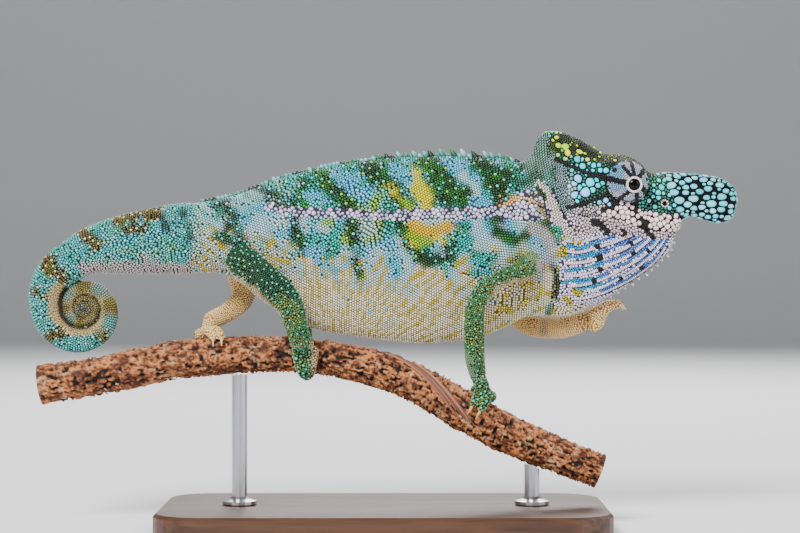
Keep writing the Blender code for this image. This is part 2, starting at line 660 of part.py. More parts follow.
def eyeball_mesh(name, side, segments=10):
    """The part of the eyeball that shows in the opening: a low dome set in it."""
    centre = np.array(EYE) + np.array(EYE_AIM)
    floor = float(half_width(np.array(EYE))) + TURRET_RISE - OPENING_DEPTH + GAP
    angles = np.arange(segments) * 2 * np.pi / segments
    circle = np.stack([np.cos(angles), np.sin(angles)], axis=-1)
    dome = 1.0
    rings = []
    for a in np.radians((0, 0, 20, 45, 68)):
        flat = centre + EYEBALL_RADIUS * math.cos(a) * circle
        rise = dome * math.sin(a) + (0.25 if rings else 0.0)
        rings.append(np.column_stack([flat[:, 0], np.full(segments, side * (floor + rise)), flat[:, 1]]))
    tip = (centre[0], side * (floor + dome + 0.25), centre[1])
    return skin_rings(name, rings, end_tip=tip)


def branch_at(x):
    """The branch's middle height, radius and slope at this x."""
    path = smooth_path(BRANCH)
    z = float(np.interp(x, path[:, 0], path[:, 1]))
    radius = float(np.interp(x, path[:, 0], path[:, 2]))
    step = 1.0
    rise = np.interp(x + step, path[:, 0], path[:, 1]) - np.interp(x - step, path[:, 0], path[:, 1])
    return z, radius, math.atan2(float(rise), 2 * step)


def around_branch(x, angle, lift, shift=0.0):
    """A point beside the branch: angle from its top towards the right side, lift from its bark."""
    z, radius, slope = branch_at(x)
    ahead = np.array([math.cos(slope), 0.0, math.sin(slope)])
    up = np.array([-math.sin(slope), 0.0, math.cos(slope)])
    across = np.array([0.0, -1.0, 0.0])
    out = (radius + lift) * (math.cos(angle) * up + math.sin(angle) * across)
    return np.array([x, 0.0, z]) + out + shift * ahead


def tapered_tube(name, path, radii, sides=6):
    """A closed tube along a 3-D path with a rounded end."""
    path = np.array(path)
    frames = carried_frames(path, (0.37, 0.61, 0.70))
    rings = [ring_points(p, f, r, sides) for p, f, r in zip(path, frames, radii)]
    ahead = unit(path[-1] - path[-2])
    rings.append(ring_points(path[-1] + ahead * 0.6 * radii[-1], frames[-1], 0.6 * radii[-1], sides))
    return skin_rings(name, rings, end_tip=path[-1] + ahead * 0.9 * radii[-1])


def toe_on_branch(name, x, angles, shift, radius, claw, spread=0.0):
    """A toe bent round the branch between two angles, and the path of its claw."""
    steps = np.linspace(angles[0], angles[1], 4 if abs(angles[1] - angles[0]) < 80 else 6)
    radii = np.linspace(radius, 0.72 * radius, len(steps))
    shifts = shift + spread * np.linspace(0.0, 1.0, len(steps))
    path = [around_branch(x, math.radians(a), r + GAP, s) for a, r, s in zip(steps, radii, shifts)]
    turn = math.copysign(claw * 8.0, angles[1] - angles[0])
    tip_shift = shifts[-1]
    claw_path = [
        around_branch(x, math.radians(angles[1] + k * turn), radii[-1] * (1.1 - 0.45 * k) + GAP, tip_shift)
        for k in (-0.3, 0.4, 1.0)
    ]
    return [
        tapered_tube(name, path, radii),
        tapered_tube(name + "_claw", claw_path, (0.42, 0.34, 0.14), 4),
    ]


def fuse(name, meshes, material, solver="EXACT"):
    """One closed node from overlapping closed meshes, the first of which carries the others."""
    base = add_object(name, meshes[0], material)
    others = bpy.data.collections.new(name + "_additions")
    bpy.context.scene.collection.children.link(others)
    for k, mesh in enumerate(meshes[1:]):
        piece = bpy.data.objects.new(f"{name}_addition_{k}", mesh)
        others.objects.link(piece)
    union = base.modifiers.new("Union", "BOOLEAN")
    union.operation = "UNION"
    union.operand_type = "COLLECTION"
    union.collection = others
    union.solver = solver
    bpy.context.view_layer.update()
    graph = bpy.context.evaluated_depsgraph_get()
    fused = bpy.data.meshes.new_from_object(base.evaluated_get(graph))
    base.modifiers.clear()
    base.data = largest_surface(fused)
    for piece in list(others.objects):
        bpy.data.objects.remove(piece)
    bpy.data.collections.remove(others)
    return base


def largest_surface(mesh):
    """Keeps the mesh's largest closed surface."""
    work = bmesh.new()
    work.from_mesh(mesh)
    left = set(work.verts)
    groups = []
    while left:
        group = [left.pop()]
        for vert in group:
            for edge in vert.link_edges:
                other = edge.other_vert(vert)
                if other in left:
                    left.remove(other)
                    group.append(other)
        groups.append(group)
    groups.sort(key=len)
    for group in groups[:-1]:
        bmesh.ops.delete(work, geom=group, context="VERTS")
    work.to_mesh(mesh)
    work.free()
    return mesh


def palm_mesh(ankle, centre, radius):
    """The foot's core, from the leg's last ring to a rounded end under the toes."""
    ankle_ring, ahead = ankle
    start = ankle_ring.mean(axis=0)
    rings = [ankle_ring + ahead * GAP]
    for share, size in ((0.5, 1.0), (1.0, 0.9), (1.35, 0.5)):
        middle = start + (centre - start) * share
        rings.append(middle + (ankle_ring - start) * size * radius)
    return skin_rings("palm", rings)


def foot_on_branch(name, ankle, x, palm_angle, bundles, material):
    """A grasping foot: a palm on the branch and two bundles of toes bent round it from there."""
    palm_radius = 0.85 * np.linalg.norm(ankle[0][0] - ankle[0].mean(axis=0))
    palm = around_branch(x, math.radians(palm_angle), palm_radius + 2 * GAP)
    meshes = [palm_mesh(ankle, palm, 0.85)]
    for b, (end_angle, shifts, radius, spread) in enumerate(bundles):
        for t, shift in enumerate(shifts):
            angles = (palm_angle, end_angle)
            meshes += toe_on_branch(f"toe_{b}_{t}", x, angles, shift, radius, 3.0, spread)
    return fuse(name, meshes, material)


def lifted_foot(name, ankle, palm, material):
    """The raised hand, half closed: three inner toes above, two outer toes curled below."""
    meshes = [palm_mesh(ankle, np.array(palm), 1.0)]
    upper = ((54.0, 54.1, 1.7), (57.0, 55.8, 1.75), (59.6, 57.0, 1.5), (61.3, 57.3, 1.2))
    lower = ((54.0, 51.5, 1.8), (55.3, 51.7, 1.7), (56.4, 52.6, 1.5), (56.9, 53.6, 1.2))
    for path, offsets, bend in ((upper, (2.6, 4.4, 6.2), -1.0), (lower, (3.2, 5.4), 1.0)):
        for t, y in enumerate(offsets):
            reach = 1.0 - 0.03 * t
            start = np.array([path[0][0], y, path[0][1]])
            points = [start + (np.array([p[0], y, p[1]]) - start) * reach for p in path]
            meshes.append(tapered_tube(f"toe_{bend:.0f}_{t}", points, [p[2] for p in path]))
            tip = points[-1]
            claw = [tip + np.array([d * 0.9, 0.0, bend * d * d * 0.35]) for d in (0.3, 1.2, 2.1)]
            meshes.append(tapered_tube(f"claw_{bend:.0f}_{t}", claw, (0.42, 0.34, 0.14), 4))
    return fuse(name, meshes, material)


def branch_mesh(sides=14):
    rows = smooth_path(BRANCH, 2)
    path = np.stack([rows[:, 0], np.zeros(len(rows)), rows[:, 1]], axis=-1)
    frames = carried_frames(path, (0.0, 1.0, 0.0))
    rings = [ring_points(p, f, r, sides) for p, f, r in zip(path, frames, rows[:, 2])]
    return skin_rings("perch_branch", rings)


def base_mesh(corner_steps=6):
    """The stand's plate, with round corners and a softened upper edge."""
    corner = []
    for sign_x, sign_y, start in ((1, 1, 0), (-1, 1, 90), (-1, -1, 180), (1, -1, 270)):
        for step in range(corner_steps + 1):
            angle = math.radians(start + 90.0 * step / corner_steps)
            x = sign_x * (0.5 * BASE_LENGTH - BASE_CORNER) + BASE_CORNER * math.cos(angle)
            y = sign_y * (0.5 * BASE_BREADTH - BASE_CORNER) + BASE_CORNER * math.sin(angle)
            corner.append((x, y))
    outline = np.array(corner)
    inset = outline * (1 - 2 * BASE_EDGE / np.array([BASE_LENGTH, BASE_BREADTH]))
    levels = ((outline, 0.0), (outline, BASE_THICKNESS - BASE_EDGE), (inset, BASE_THICKNESS))
    rings = [np.column_stack([flat, np.full(len(flat), z)]) for flat, z in levels]
    return skin_rings("stand_base", rings)


def rod_mesh(name, x, sides=16):
    """A rod with a flange on the base, its upper end coped to the underside of the branch."""
    floor = BASE_THICKNESS + GAP
    angles = np.arange(sides) * 2 * np.pi / sides
    circle = np.stack([np.cos(angles), np.sin(angles)], axis=-1)
    rings = []
    for radius, z in (
        (ROD_FLANGE_RADIUS, floor),
        (ROD_FLANGE_RADIUS, floor + 0.6 * ROD_FLANGE_HEIGHT),
        (ROD_RADIUS + 0.6, floor + ROD_FLANGE_HEIGHT),
        (ROD_RADIUS, floor + ROD_FLANGE_HEIGHT + 0.6),
    ):
        rings.append(np.column_stack([x + radius * circle[:, 0], radius * circle[:, 1], np.full(sides, z)]))
    for radius in (ROD_RADIUS, 0.5 * ROD_RADIUS):
        flat = np.array([x, 0.0]) + radius * circle
        rings.append(np.column_stack([flat, [underside(px, py) - 1.3 * GAP for px, py in flat]]))
    tip = (x, 0.0, underside(x, 0.0) - 1.3 * GAP)
    return skin_rings(name, rings, end_tip=tip)


def underside(x, y):
    """The height of the branch's lower surface above a point of the base."""
    z, radius, slope = branch_at(x)
    return z - math.sqrt(radius**2 - y**2) / math.cos(slope)


def clear_scene():
    for thing in list(bpy.data.objects):
        bpy.data.objects.remove(thing, do_unlink=True)


def main():
    clear_scene()
    flank = principled("flank_scales", (0.16, 0.42, 0.32), 0.55)
    head_scales = principled("head_scales", (0.20, 0.42, 0.30), 0.5)
    throat_scales = principled("throat_scales", (0.62, 0.62, 0.72), 0.55)
    horn_scales = principled("horn_scales", (0.28, 0.62, 0.66), 0.45)
    tail_scales = principled("tail_scales", (0.18, 0.45, 0.46), 0.55)
    near_scales = principled("right_leg_scales", (0.05, 0.30, 0.22), 0.55)
    far_scales = principled("left_leg_scales", (0.60, 0.45, 0.20), 0.55)
    lids = principled("eye_lids", (0.32, 0.45, 0.50), 0.5)
    eye = principled("eyeball", (0.01, 0.01, 0.01), 0.1)
    bark = principled("bark", (0.30, 0.13, 0.07), 0.85)
    board = principled("stand_board", (0.10, 0.055, 0.03), 0.45)
    steel = principled("stand_steel", (0.55, 0.55, 0.56), 0.3, 1.0)

    half = 0.5 * GAP
    torso = trunk_piece("torso", TAIL_CUT, shifted(SHOULDER_CUT, -half), 28, 12)
    neck = trunk_piece("neck", shifted(SHOULDER_CUT, half), shifted(NAPE_CUT, -half), 5, 17)
    fuse("torso", [torso] + back_spines(), flank)
    add_object("neck", neck, flank)
    for name, mesh, rows, spines, material in (
        ("head", head_mesh(28, 10), HEAD_PLATES, [], head_scales),
        ("lower_jaw_and_throat", jaw_mesh(18, 8), CHIN_PLATES, chin_spines(), throat_scales),
        ("horn", horn_mesh(9, 7), HORN_PLATES, [], horn_scales),
    ):
        plates = plate_rows(rows, NEAR, len(name)) + plate_rows(rows, FAR, len(name) + 1)
        fuse(name, [mesh] + plates + spines, material)
    for word, side in (("right", NEAR), ("left", FAR)):
        add_object(f"eye_turret_{word}", turret_mesh("turret_" + word, side), lids)
        add_object(f"eyeball_{word}", eyeball_mesh("eyeball_" + word, side), eye)
    tail_pieces(tail_scales)

    hind = ("hind_leg_right_thigh", "hind_leg_right_shin")
    ankle = limb_pieces(hind, HIND_NEAR, NEAR, 3, 12, near_scales)
    grip = ((155, (-2.1, 0.0, 2.1), 1.5, 0.0), (-75, (-1.2, 1.2), 1.4, 0.0))
    foot_on_branch("hind_foot_right", ankle, -20.3, 68, grip, near_scales)

    hind = ("hind_leg_left_thigh", "hind_leg_left_shin")
    ankle = limb_pieces(hind, HIND_FAR, FAR, 3, 12, far_scales)
    grip = ((-130, (-2.2, 0.0, 2.2), 1.5, 0.0), (38, (-0.6, 1.6), 1.5, 2.4))
    foot_on_branch("hind_foot_left", ankle, -45.6, -22, grip, far_scales)

    fore = ("foreleg_right_upper_arm", "foreleg_right_forearm")
    wrist = limb_pieces(fore, FORE_NEAR, NEAR, 4, 12, near_scales)
    grip = ((66, (-1.2, 1.2), 1.45, 0.0), (-100, (-2.2, 0.0, 2.2), 1.4, 0.0))
    foot_on_branch("forefoot_right", wrist, 22.6, 24, grip, near_scales)

    fore = ("foreleg_left_upper_arm", "foreleg_left_forearm")
    wrist = limb_pieces(fore, FORE_FAR, FAR, 4, 12, far_scales)
    lifted_foot("forefoot_left", wrist, (53.2, 4.8, 53.0), far_scales)

    add_object("perch_branch", branch_mesh(), bark)
    add_object("stand_base", base_mesh(), board)
    for name, x in zip(("stand_rod_left", "stand_rod_right"), ROD_X):
        add_object(name, rod_mesh(name, x), steel)


main()
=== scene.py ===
"""Looks of the rhinoceros chameleon display model: skin, scales, eyes, horn, spines, claws and perch.

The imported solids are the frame. Sizes are in millimetres until a mesh is made, and the meshes are in
metres. The animal faces +X and its right side faces -Y.
"""

import math

import bpy
import numpy as np
from bpy.props import FloatProperty, FloatVectorProperty, IntProperty, PointerProperty
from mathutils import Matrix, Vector
from mathutils.bvhtree import BVHTree
from mathutils.kdtree import KDTree


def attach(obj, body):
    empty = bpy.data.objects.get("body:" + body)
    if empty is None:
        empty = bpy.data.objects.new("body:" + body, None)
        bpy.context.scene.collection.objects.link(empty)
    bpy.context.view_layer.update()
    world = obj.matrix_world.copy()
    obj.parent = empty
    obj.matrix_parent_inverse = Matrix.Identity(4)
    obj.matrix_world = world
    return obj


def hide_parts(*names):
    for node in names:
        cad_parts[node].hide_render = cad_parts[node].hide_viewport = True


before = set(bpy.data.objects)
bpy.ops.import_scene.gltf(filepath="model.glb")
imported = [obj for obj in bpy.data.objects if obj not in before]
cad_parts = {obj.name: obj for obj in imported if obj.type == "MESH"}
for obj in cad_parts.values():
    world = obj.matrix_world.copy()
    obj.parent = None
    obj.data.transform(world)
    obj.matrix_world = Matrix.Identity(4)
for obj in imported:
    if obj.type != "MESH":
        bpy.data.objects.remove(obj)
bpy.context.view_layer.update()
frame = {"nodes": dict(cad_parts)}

bl_info = {
    "name": "Rhinoceros chameleon display model",
    "version": (1, 0, 0),
    "blender": (4, 5, 0),
    "location": "3D View > Sidebar > Chameleon",
    "description": "Dresses the packed solids of a life-size chameleon model on its perch and stand",
    "category": "Object",
}

MM = 0.001
# Room between pieces that touch, and how deep the skin lies inside the solids, under the scales.
GAP = 0.3
COAT = 0.28
TOE_COAT = 0.16
COIL_COAT = 0.13
# Signs of Y: the right side faces the camera.
NEAR = -1
FAR = 1

# Side outline, from the top of the tail's root along the back and over the casque to the snout.
BACK = (
    (-48.9, 83.5), (-37.9, 85.8), (-28.1, 89.6), (-17.9, 92.3), (-8.0, 94.2), (1.8, 95.3), (12.0, 95.7),
    (21.9, 95.6), (30.2, 95.2), (36.4, 94.4), (38.2, 96.0), (39.5, 99.3), (41.4, 101.9), (44.7, 102.3),
    (50.2, 100.7), (53.6, 98.7), (57.5, 96.5), (61.3, 96.3), (64.5, 95.4), (66.7, 93.9), (68.9, 91.6),
    (72.3, 91.4),
)
HORN_TOP = ((72.3, 91.4), (78.8, 91.1), (83.2, 90.6), (88.7, 89.3), (91.1, 87.2), (91.9, 83.9))
HORN_UNDER = ((77.6, 79.2), (78.8, 80.0), (83.2, 79.2), (86.9, 78.4), (90.0, 79.2), (91.9, 83.9))
UPPER_LIP = ((77.6, 79.2), (77.6, 78.3), (77.0, 76.9), (76.0, 76.3))
THROAT = (
    (75.4, 75.5), (75.4, 74.3), (74.4, 71.6), (71.0, 68.1), (65.5, 63.7), (59.6, 59.9), (53.1, 56.3),
    (47.6, 54.1),
)
BELLY = (
    (47.6, 54.1), (36.7, 53.7), (31.2, 51.1), (25.8, 48.9), (14.3, 47.1), (1.8, 47.6), (-8.0, 48.9),
    (-17.9, 50.8), (-24.4, 53.6), (-31.7, 58.2), (-37.4, 62.7), (-42.0, 64.9), (-47.6, 65.3),
)
MOUTH = ((76.0, 76.0), (70.5, 76.1), (65.3, 77.2), (60.1, 79.3), (56.2, 80.1), (52.3, 79.8), (48.9, 80.6))
HORN_ROOT = ((72.3, 91.4), (73.9, 87.9), (75.2, 85.0), (77.6, 79.2))
TAIL_TOP = ((-60.4, 82.2), (-48.9, 83.5))
TAIL_UNDER = ((-47.6, 65.3), (-60.4, 64.8))

# Half widths of the trunk and head: x, z, half width, depth of the rounded edge, reach of the value.
WIDTHS = (
    (-60.0, 73.5, 5.2, 8.7, 7.0),
    (-48.5, 74.4, 5.6, 9.1, 6.0),
    (-38.0, 75.0, 7.0, 12.0, 7.0),
    (-25.0, 72.0, 8.7, 17.0, 9.0),
    (-8.0, 69.0, 9.6, 21.0, 12.0),
    (12.0, 69.0, 9.8, 22.0, 12.0),
    (28.0, 73.0, 9.1, 20.0, 9.0),
    (37.0, 78.0, 7.6, 14.0, 6.0),
    (38.0, 62.0, 7.6, 13.0, 6.0),
    (43.0, 86.0, 6.4, 9.0, 4.0),
    (45.0, 66.0, 6.6, 10.0, 5.0),
    (43.5, 98.0, 3.2, 5.0, 3.0),
    (53.0, 88.0, 7.5, 8.0, 4.5),
    (52.0, 95.5, 5.6, 5.5, 3.0),
    (62.6, 88.9, 6.5, 5.0, 3.5),
    (60.0, 80.5, 7.4, 7.0, 4.0),
    (69.5, 86.0, 5.0, 4.0, 3.0),
    (72.0, 79.5, 5.0, 4.0, 2.6),
    (76.0, 79.0, 3.6, 2.6, 1.8),
    (57.0, 69.0, 6.3, 9.0, 6.0),
    (66.0, 71.0, 5.4, 6.5, 4.0),
    (72.5, 73.5, 4.2, 3.4, 2.4),
    (75.5, 86.0, 3.0, 3.0, 2.2),
    (83.0, 85.0, 2.7, 3.2, 4.0),
    (89.5, 84.0, 2.5, 3.2, 4.0),
)

# Ridges, bulges, folds and pits of the sides: points along it, height (below 0 for a groove), breadth.
FORMS = (
    (((66.6, 92.6), (60.5, 93.6), (55.0, 93.4), (49.5, 95.6), (44.6, 100.4)), 0.9, 1.1),
    (((66.6, 92.6), (70.5, 90.6), (74.5, 89.3)), 0.5, 0.9),
    (((50.0, 86.0), (55.5, 83.5)), 0.6, 3.0),
    (((75.6, 77.8), (70.3, 77.8), (65.0, 78.9), (59.8, 81.0)), 0.45, 0.9),
    (((74.6, 74.6), (70.3, 74.7), (65.0, 75.7), (59.8, 77.6)), 0.4, 0.8),
    (MOUTH, -0.75, 0.4),
    (((72.6, 83.3),), -1.3, 0.75),
    (((39.8, 82.7), (41.4, 80.9), (42.4, 78.5), (42.9, 76.4), (44.0, 74.4), (44.7, 72.3)), -0.75, 0.6),
    (((40.4, 87.6), (42.9, 84.2), (44.7, 80.3), (46.0, 77.7)), 0.45, 0.8),
    (((-17.0, 70.0), (-13.5, 62.0), (-9.0, 54.0)), -0.35, 0.8),
    (((-9.0, 68.0), (-6.0, 61.0), (-3.0, 53.0)), -0.35, 0.8),
    (((22.0, 66.0), (12.0, 61.0), (6.0, 53.0)), -0.35, 0.8),
    (((29.0, 66.0), (19.0, 60.0), (11.0, 53.0)), -0.4, 0.8),
    (((33.0, 64.0), (25.0, 58.0), (17.0, 53.0)), -0.4, 0.8),
    (((30.5, 71.0), (33.0, 67.5)), -0.5, 0.7),
    (((57.2, 91.5), (56.4, 88.0), (57.6, 84.6), (60.5, 82.6)), 0.35, 0.4),
    (((44.2, 89.0), (45.6, 82.0), (46.6, 76.5)), -0.7, 0.9),
    (((44.6, 69.0), (43.9, 62.0), (43.6, 56.5)), -0.9, 1.1),
    (((38.0, 68.0), (33.0, 70.0)), 0.7, 5.0),
    (((-38.0, 69.5), (-33.0, 67.0)), 0.9, 5.0),
)
FORM_FADE = 1.5
THROAT_GROOVES = (
    ((47.3, 72.3), (50.2, 71.8), (53.6, 72.8), (57.0, 74.0), (59.6, 74.6)),
    ((46.3, 69.7), (50.2, 69.4), (53.6, 70.1), (56.7, 71.0), (59.3, 71.9), (61.9, 73.1), (64.5, 74.1),
     (66.6, 74.9)),
    ((46.8, 66.0), (50.2, 66.3), (53.6, 67.0), (56.2, 68.0), (59.3, 68.9), (61.9, 69.9), (64.5, 71.8),
     (66.6, 73.3), (67.9, 74.4)),
    ((46.3, 62.9), (48.4, 63.4), (52.0, 63.4), (55.4, 64.2), (57.5, 65.4), (60.3, 67.0), (63.5, 68.6),
     (66.1, 70.5), (68.4, 72.3), (69.7, 73.7)),
    ((49.2, 60.8), (52.3, 61.6), (55.1, 62.0), (58.5, 63.4), (61.4, 64.7), (64.8, 66.7), (67.9, 69.3),
     (70.2, 71.8), (71.8, 73.6)),
    ((56.2, 60.6), (60.1, 62.3), (64.0, 64.5), (67.9, 67.3), (71.0, 70.2), (72.8, 73.1), (73.6, 74.6)),
)
# Pale ridges between the grooves, with half their breadth: each carries one row of upright scales.
THROAT_RIDGES = (
    (((46.3, 73.6), (50.2, 73.2), (53.6, 74.0), (56.4, 75.0)), 0.57),
    (((46.3, 71.0), (50.2, 70.6), (53.6, 71.4), (56.4, 72.3), (59.3, 73.2), (61.9, 74.2), (64.0, 75.0)),
     0.71),
    (((46.3, 67.9), (50.2, 67.9), (53.6, 68.5), (56.4, 69.4), (59.3, 70.5), (61.9, 71.5), (64.2, 72.9),
     (66.6, 74.2)), 0.78),
    (((46.3, 64.5), (50.2, 64.7), (53.6, 65.5), (56.7, 66.7), (59.8, 68.0), (62.4, 69.3), (65.3, 71.1),
     (67.6, 73.1), (69.2, 74.4)), 0.68),
    (((47.3, 61.9), (50.2, 62.0), (53.1, 62.5), (56.4, 63.6), (59.3, 65.0), (62.4, 66.8), (65.5, 68.5),
     (68.1, 70.6), (70.2, 72.8), (71.3, 74.1)), 0.63),
    (((52.5, 60.6), (56.2, 61.4), (60.1, 63.4), (63.7, 65.5), (66.8, 67.7), (69.7, 70.2), (71.8, 72.5),
     (72.8, 74.1)), 0.48),
    (((48.4, 58.5), (52.5, 58.8), (56.4, 59.9), (60.1, 61.5), (64.0, 63.5), (67.9, 66.2), (71.0, 69.0),
     (73.1, 72.0)), 0.57),
)
GROOVE_DEPTH = 0.38
GROOVE_BREADTH = 0.5

# Eye: the turret's middle, its radius and rise, how far it leans forwards and down, lid and opening.
EYE = (62.7, 88.9)
TURRET_RADIUS = 5.4
TURRET_RISE = 4.7
EYE_AIM = (1.3, -1.0)
LID_RADIUS = 1.85
OPENING_RADIUS = 1.38

# Single spines of the back, as x and height, and the small ones between: first and last x, number, height.
BACK_SPINES = (
    (-1.3, 1.0), (1.1, 1.1), (4.2, 1.2), (6.0, 1.0), (8.3, 1.3), (11.0, 1.2), (12.5, 1.4), (15.4, 1.7),
    (18.5, 1.8), (21.1, 1.7), (23.9, 1.5), (26.8, 1.4), (28.4, 1.2), (30.6, 1.2), (32.3, 1.1), (33.6, 0.9),
    (34.9, 0.9),
)
BACK_TUBERCLES = (-47.0, -2.5, 44, 0.55)
# Pairs of spines under the chin: share of the throat's line and height.
CHIN_SPINES = (
    (0.06, 0.7), (0.11, 0.9), (0.16, 1.1), (0.21, 0.9), (0.26, 1.2), (0.31, 1.0), (0.36, 1.2), (0.42, 0.8),
    (0.48, 1.1), (0.54, 0.8), (0.6, 0.9), (0.66, 0.7), (0.73, 0.7), (0.8, 0.6), (0.88, 0.5),
)
SPINE_ROOT = 0.5

# Tail: its middle line from the trunk to where the coil begins, with the half depth at each point.
TAIL = ((-48.2, 74.4, 9.1), (-60.4, 73.5, 8.7), (-70.6, 72.2, 7.4), (-76.2, 71.0, 6.3))
# Its coil, by turns: middle, first and last turn, half depths, the core's radii and depth, bands a turn.
COIL_CENTRE = (-78.0, 56.1)
COIL_START = -0.2
COIL_END = 3.3
COIL_HALF_DEPTHS = (
    (-0.2, 5.4), (0.0, 4.1), (0.25, 3.25), (0.5, 2.35), (0.75, 1.8), (1.0, 1.4), (1.5, 1.02), (2.0, 0.7),
    (2.5, 0.5), (3.3, 0.3),
)
COIL_CORE_RADII = ((2.3, 1.3), (3.3, 0.1))
COIL_CORE_DEPTH = 0.75
COIL_BANDS = 4.3
# Breadth of the tail as a share of its depth, by turns.
TAIL_BREADTHS = ((-1.0, 0.62), (0.0, 0.85), (1.0, 0.95), (3.3, 0.95))

# Legs: x, y outwards from the middle plane, z and radius along each.
HIND_NEAR = (
    (-37.6, 6.5, 69.3, 4.3), (-34.8, 9.6, 67.0, 4.6), (-30.0, 11.6, 63.3, 4.3), (-25.8, 12.4, 59.9, 3.9),
    (-23.4, 12.2, 56.0, 3.5), (-22.2, 11.0, 51.2, 3.0), (-20.9, 9.4, 47.4, 3.0),
)
HIND_FAR = (
    (-37.6, 6.5, 68.5, 4.2), (-37.8, 9.0, 65.4, 4.1), (-37.2, 10.6, 61.6, 3.7), (-37.6, 10.8, 58.4, 3.2),
    (-40.2, 9.2, 55.6, 2.8), (-43.6, 6.6, 53.6, 2.6), (-45.6, 4.6, 52.6, 2.6),
)
FORE_NEAR = (
    (38.4, 8.0, 68.3, 3.2), (36.0, 11.2, 66.6, 2.9), (30.2, 13.0, 64.0, 2.4), (25.4, 13.6, 60.9, 2.6),
    (23.4, 13.2, 56.6, 2.7), (23.2, 11.2, 50.0, 2.8), (23.4, 8.4, 43.2, 2.7), (24.3, 5.6, 38.8, 2.3),
)
FORE_FAR = (
    (38.4, 8.0, 68.3, 3.2), (37.0, 10.4, 64.6, 2.9), (35.2, 11.2, 59.0, 2.6), (34.6, 10.8, 54.4, 2.7),
    (38.2, 9.6, 51.6, 2.9), (43.4, 7.6, 51.0, 3.1), (48.4, 6.0, 51.3, 3.0), (51.6, 5.2, 52.4, 2.8),
)
LIMB_FLATTEN = 0.85

# Feet: x on the branch, angle of the palm from the branch's top, then each bundle of toes: the angle
# it ends at, the places of its toes along the branch, their radius and how they spread.
GRIPS = {
    "hind_foot_right": (-20.3, 68, ((155, (-2.1, 0.0, 2.1), 1.5, 0.7), (-75, (-1.2, 0.3), 1.4, 0.0))),
    "hind_foot_left": (-45.6, -22, ((-130, (-2.2, 0.0, 2.2), 1.5, 0.0), (38, (-0.6, 1.6), 1.5, 2.4))),
    "forefoot_right": (22.6, 24, ((66, (-1.2, 1.2), 1.45, 0.0), (-100, (-2.2, 0.0, 2.2), 1.4, 0.0))),
}
# How much the outer toes of a bundle close in on the middle one, and by how many degrees they are shorter.
GATHER = {"hind_foot_right": (0.62, 9.0)}
# The raised hand: its palm, then each bundle of toes as a line of x, z and radius, places across and bend.
HAND_PALM = (53.2, 4.8, 53.0)
HAND_TOES = (
    (((54.0, 54.1, 1.7), (57.0, 55.8, 1.75), (59.6, 57.0, 1.5), (61.3, 57.3, 1.2)), (2.6, 4.4, 6.2), -1.0),
    (((54.0, 51.5, 1.8), (55.3, 51.7, 1.7), (56.4, 52.6, 1.5), (56.9, 53.6, 1.2)), (3.2, 5.4), 1.0),
)

# Perch: a cut length of branch, bent down to the right, as its middle line and radius.
BRANCH = (
    (-89.4, 36.2, 5.2), (-73.8, 38.6, 5.1), (-52.0, 43.0, 5.1), (-41.1, 43.8, 4.9), (-28.3, 44.1, 4.8),
    (-16.6, 43.4, 4.6), (-8.8, 42.1, 4.7), (0.3, 39.8, 4.9), (8.1, 36.7, 5.1), (15.9, 32.5, 5.3),
    (23.7, 27.8, 5.4), (31.5, 23.7, 5.2), (40.6, 19.8, 4.9), (49.7, 16.2, 4.7), (56.2, 13.7, 4.6),
)

# Photograph's frame: the camera's distance, its aim across and up, and its lens on a 36 mm sensor.
CAMERA_PLACE = (4.2, -578.0, 67.0)
CAMERA_LENS = 100.0

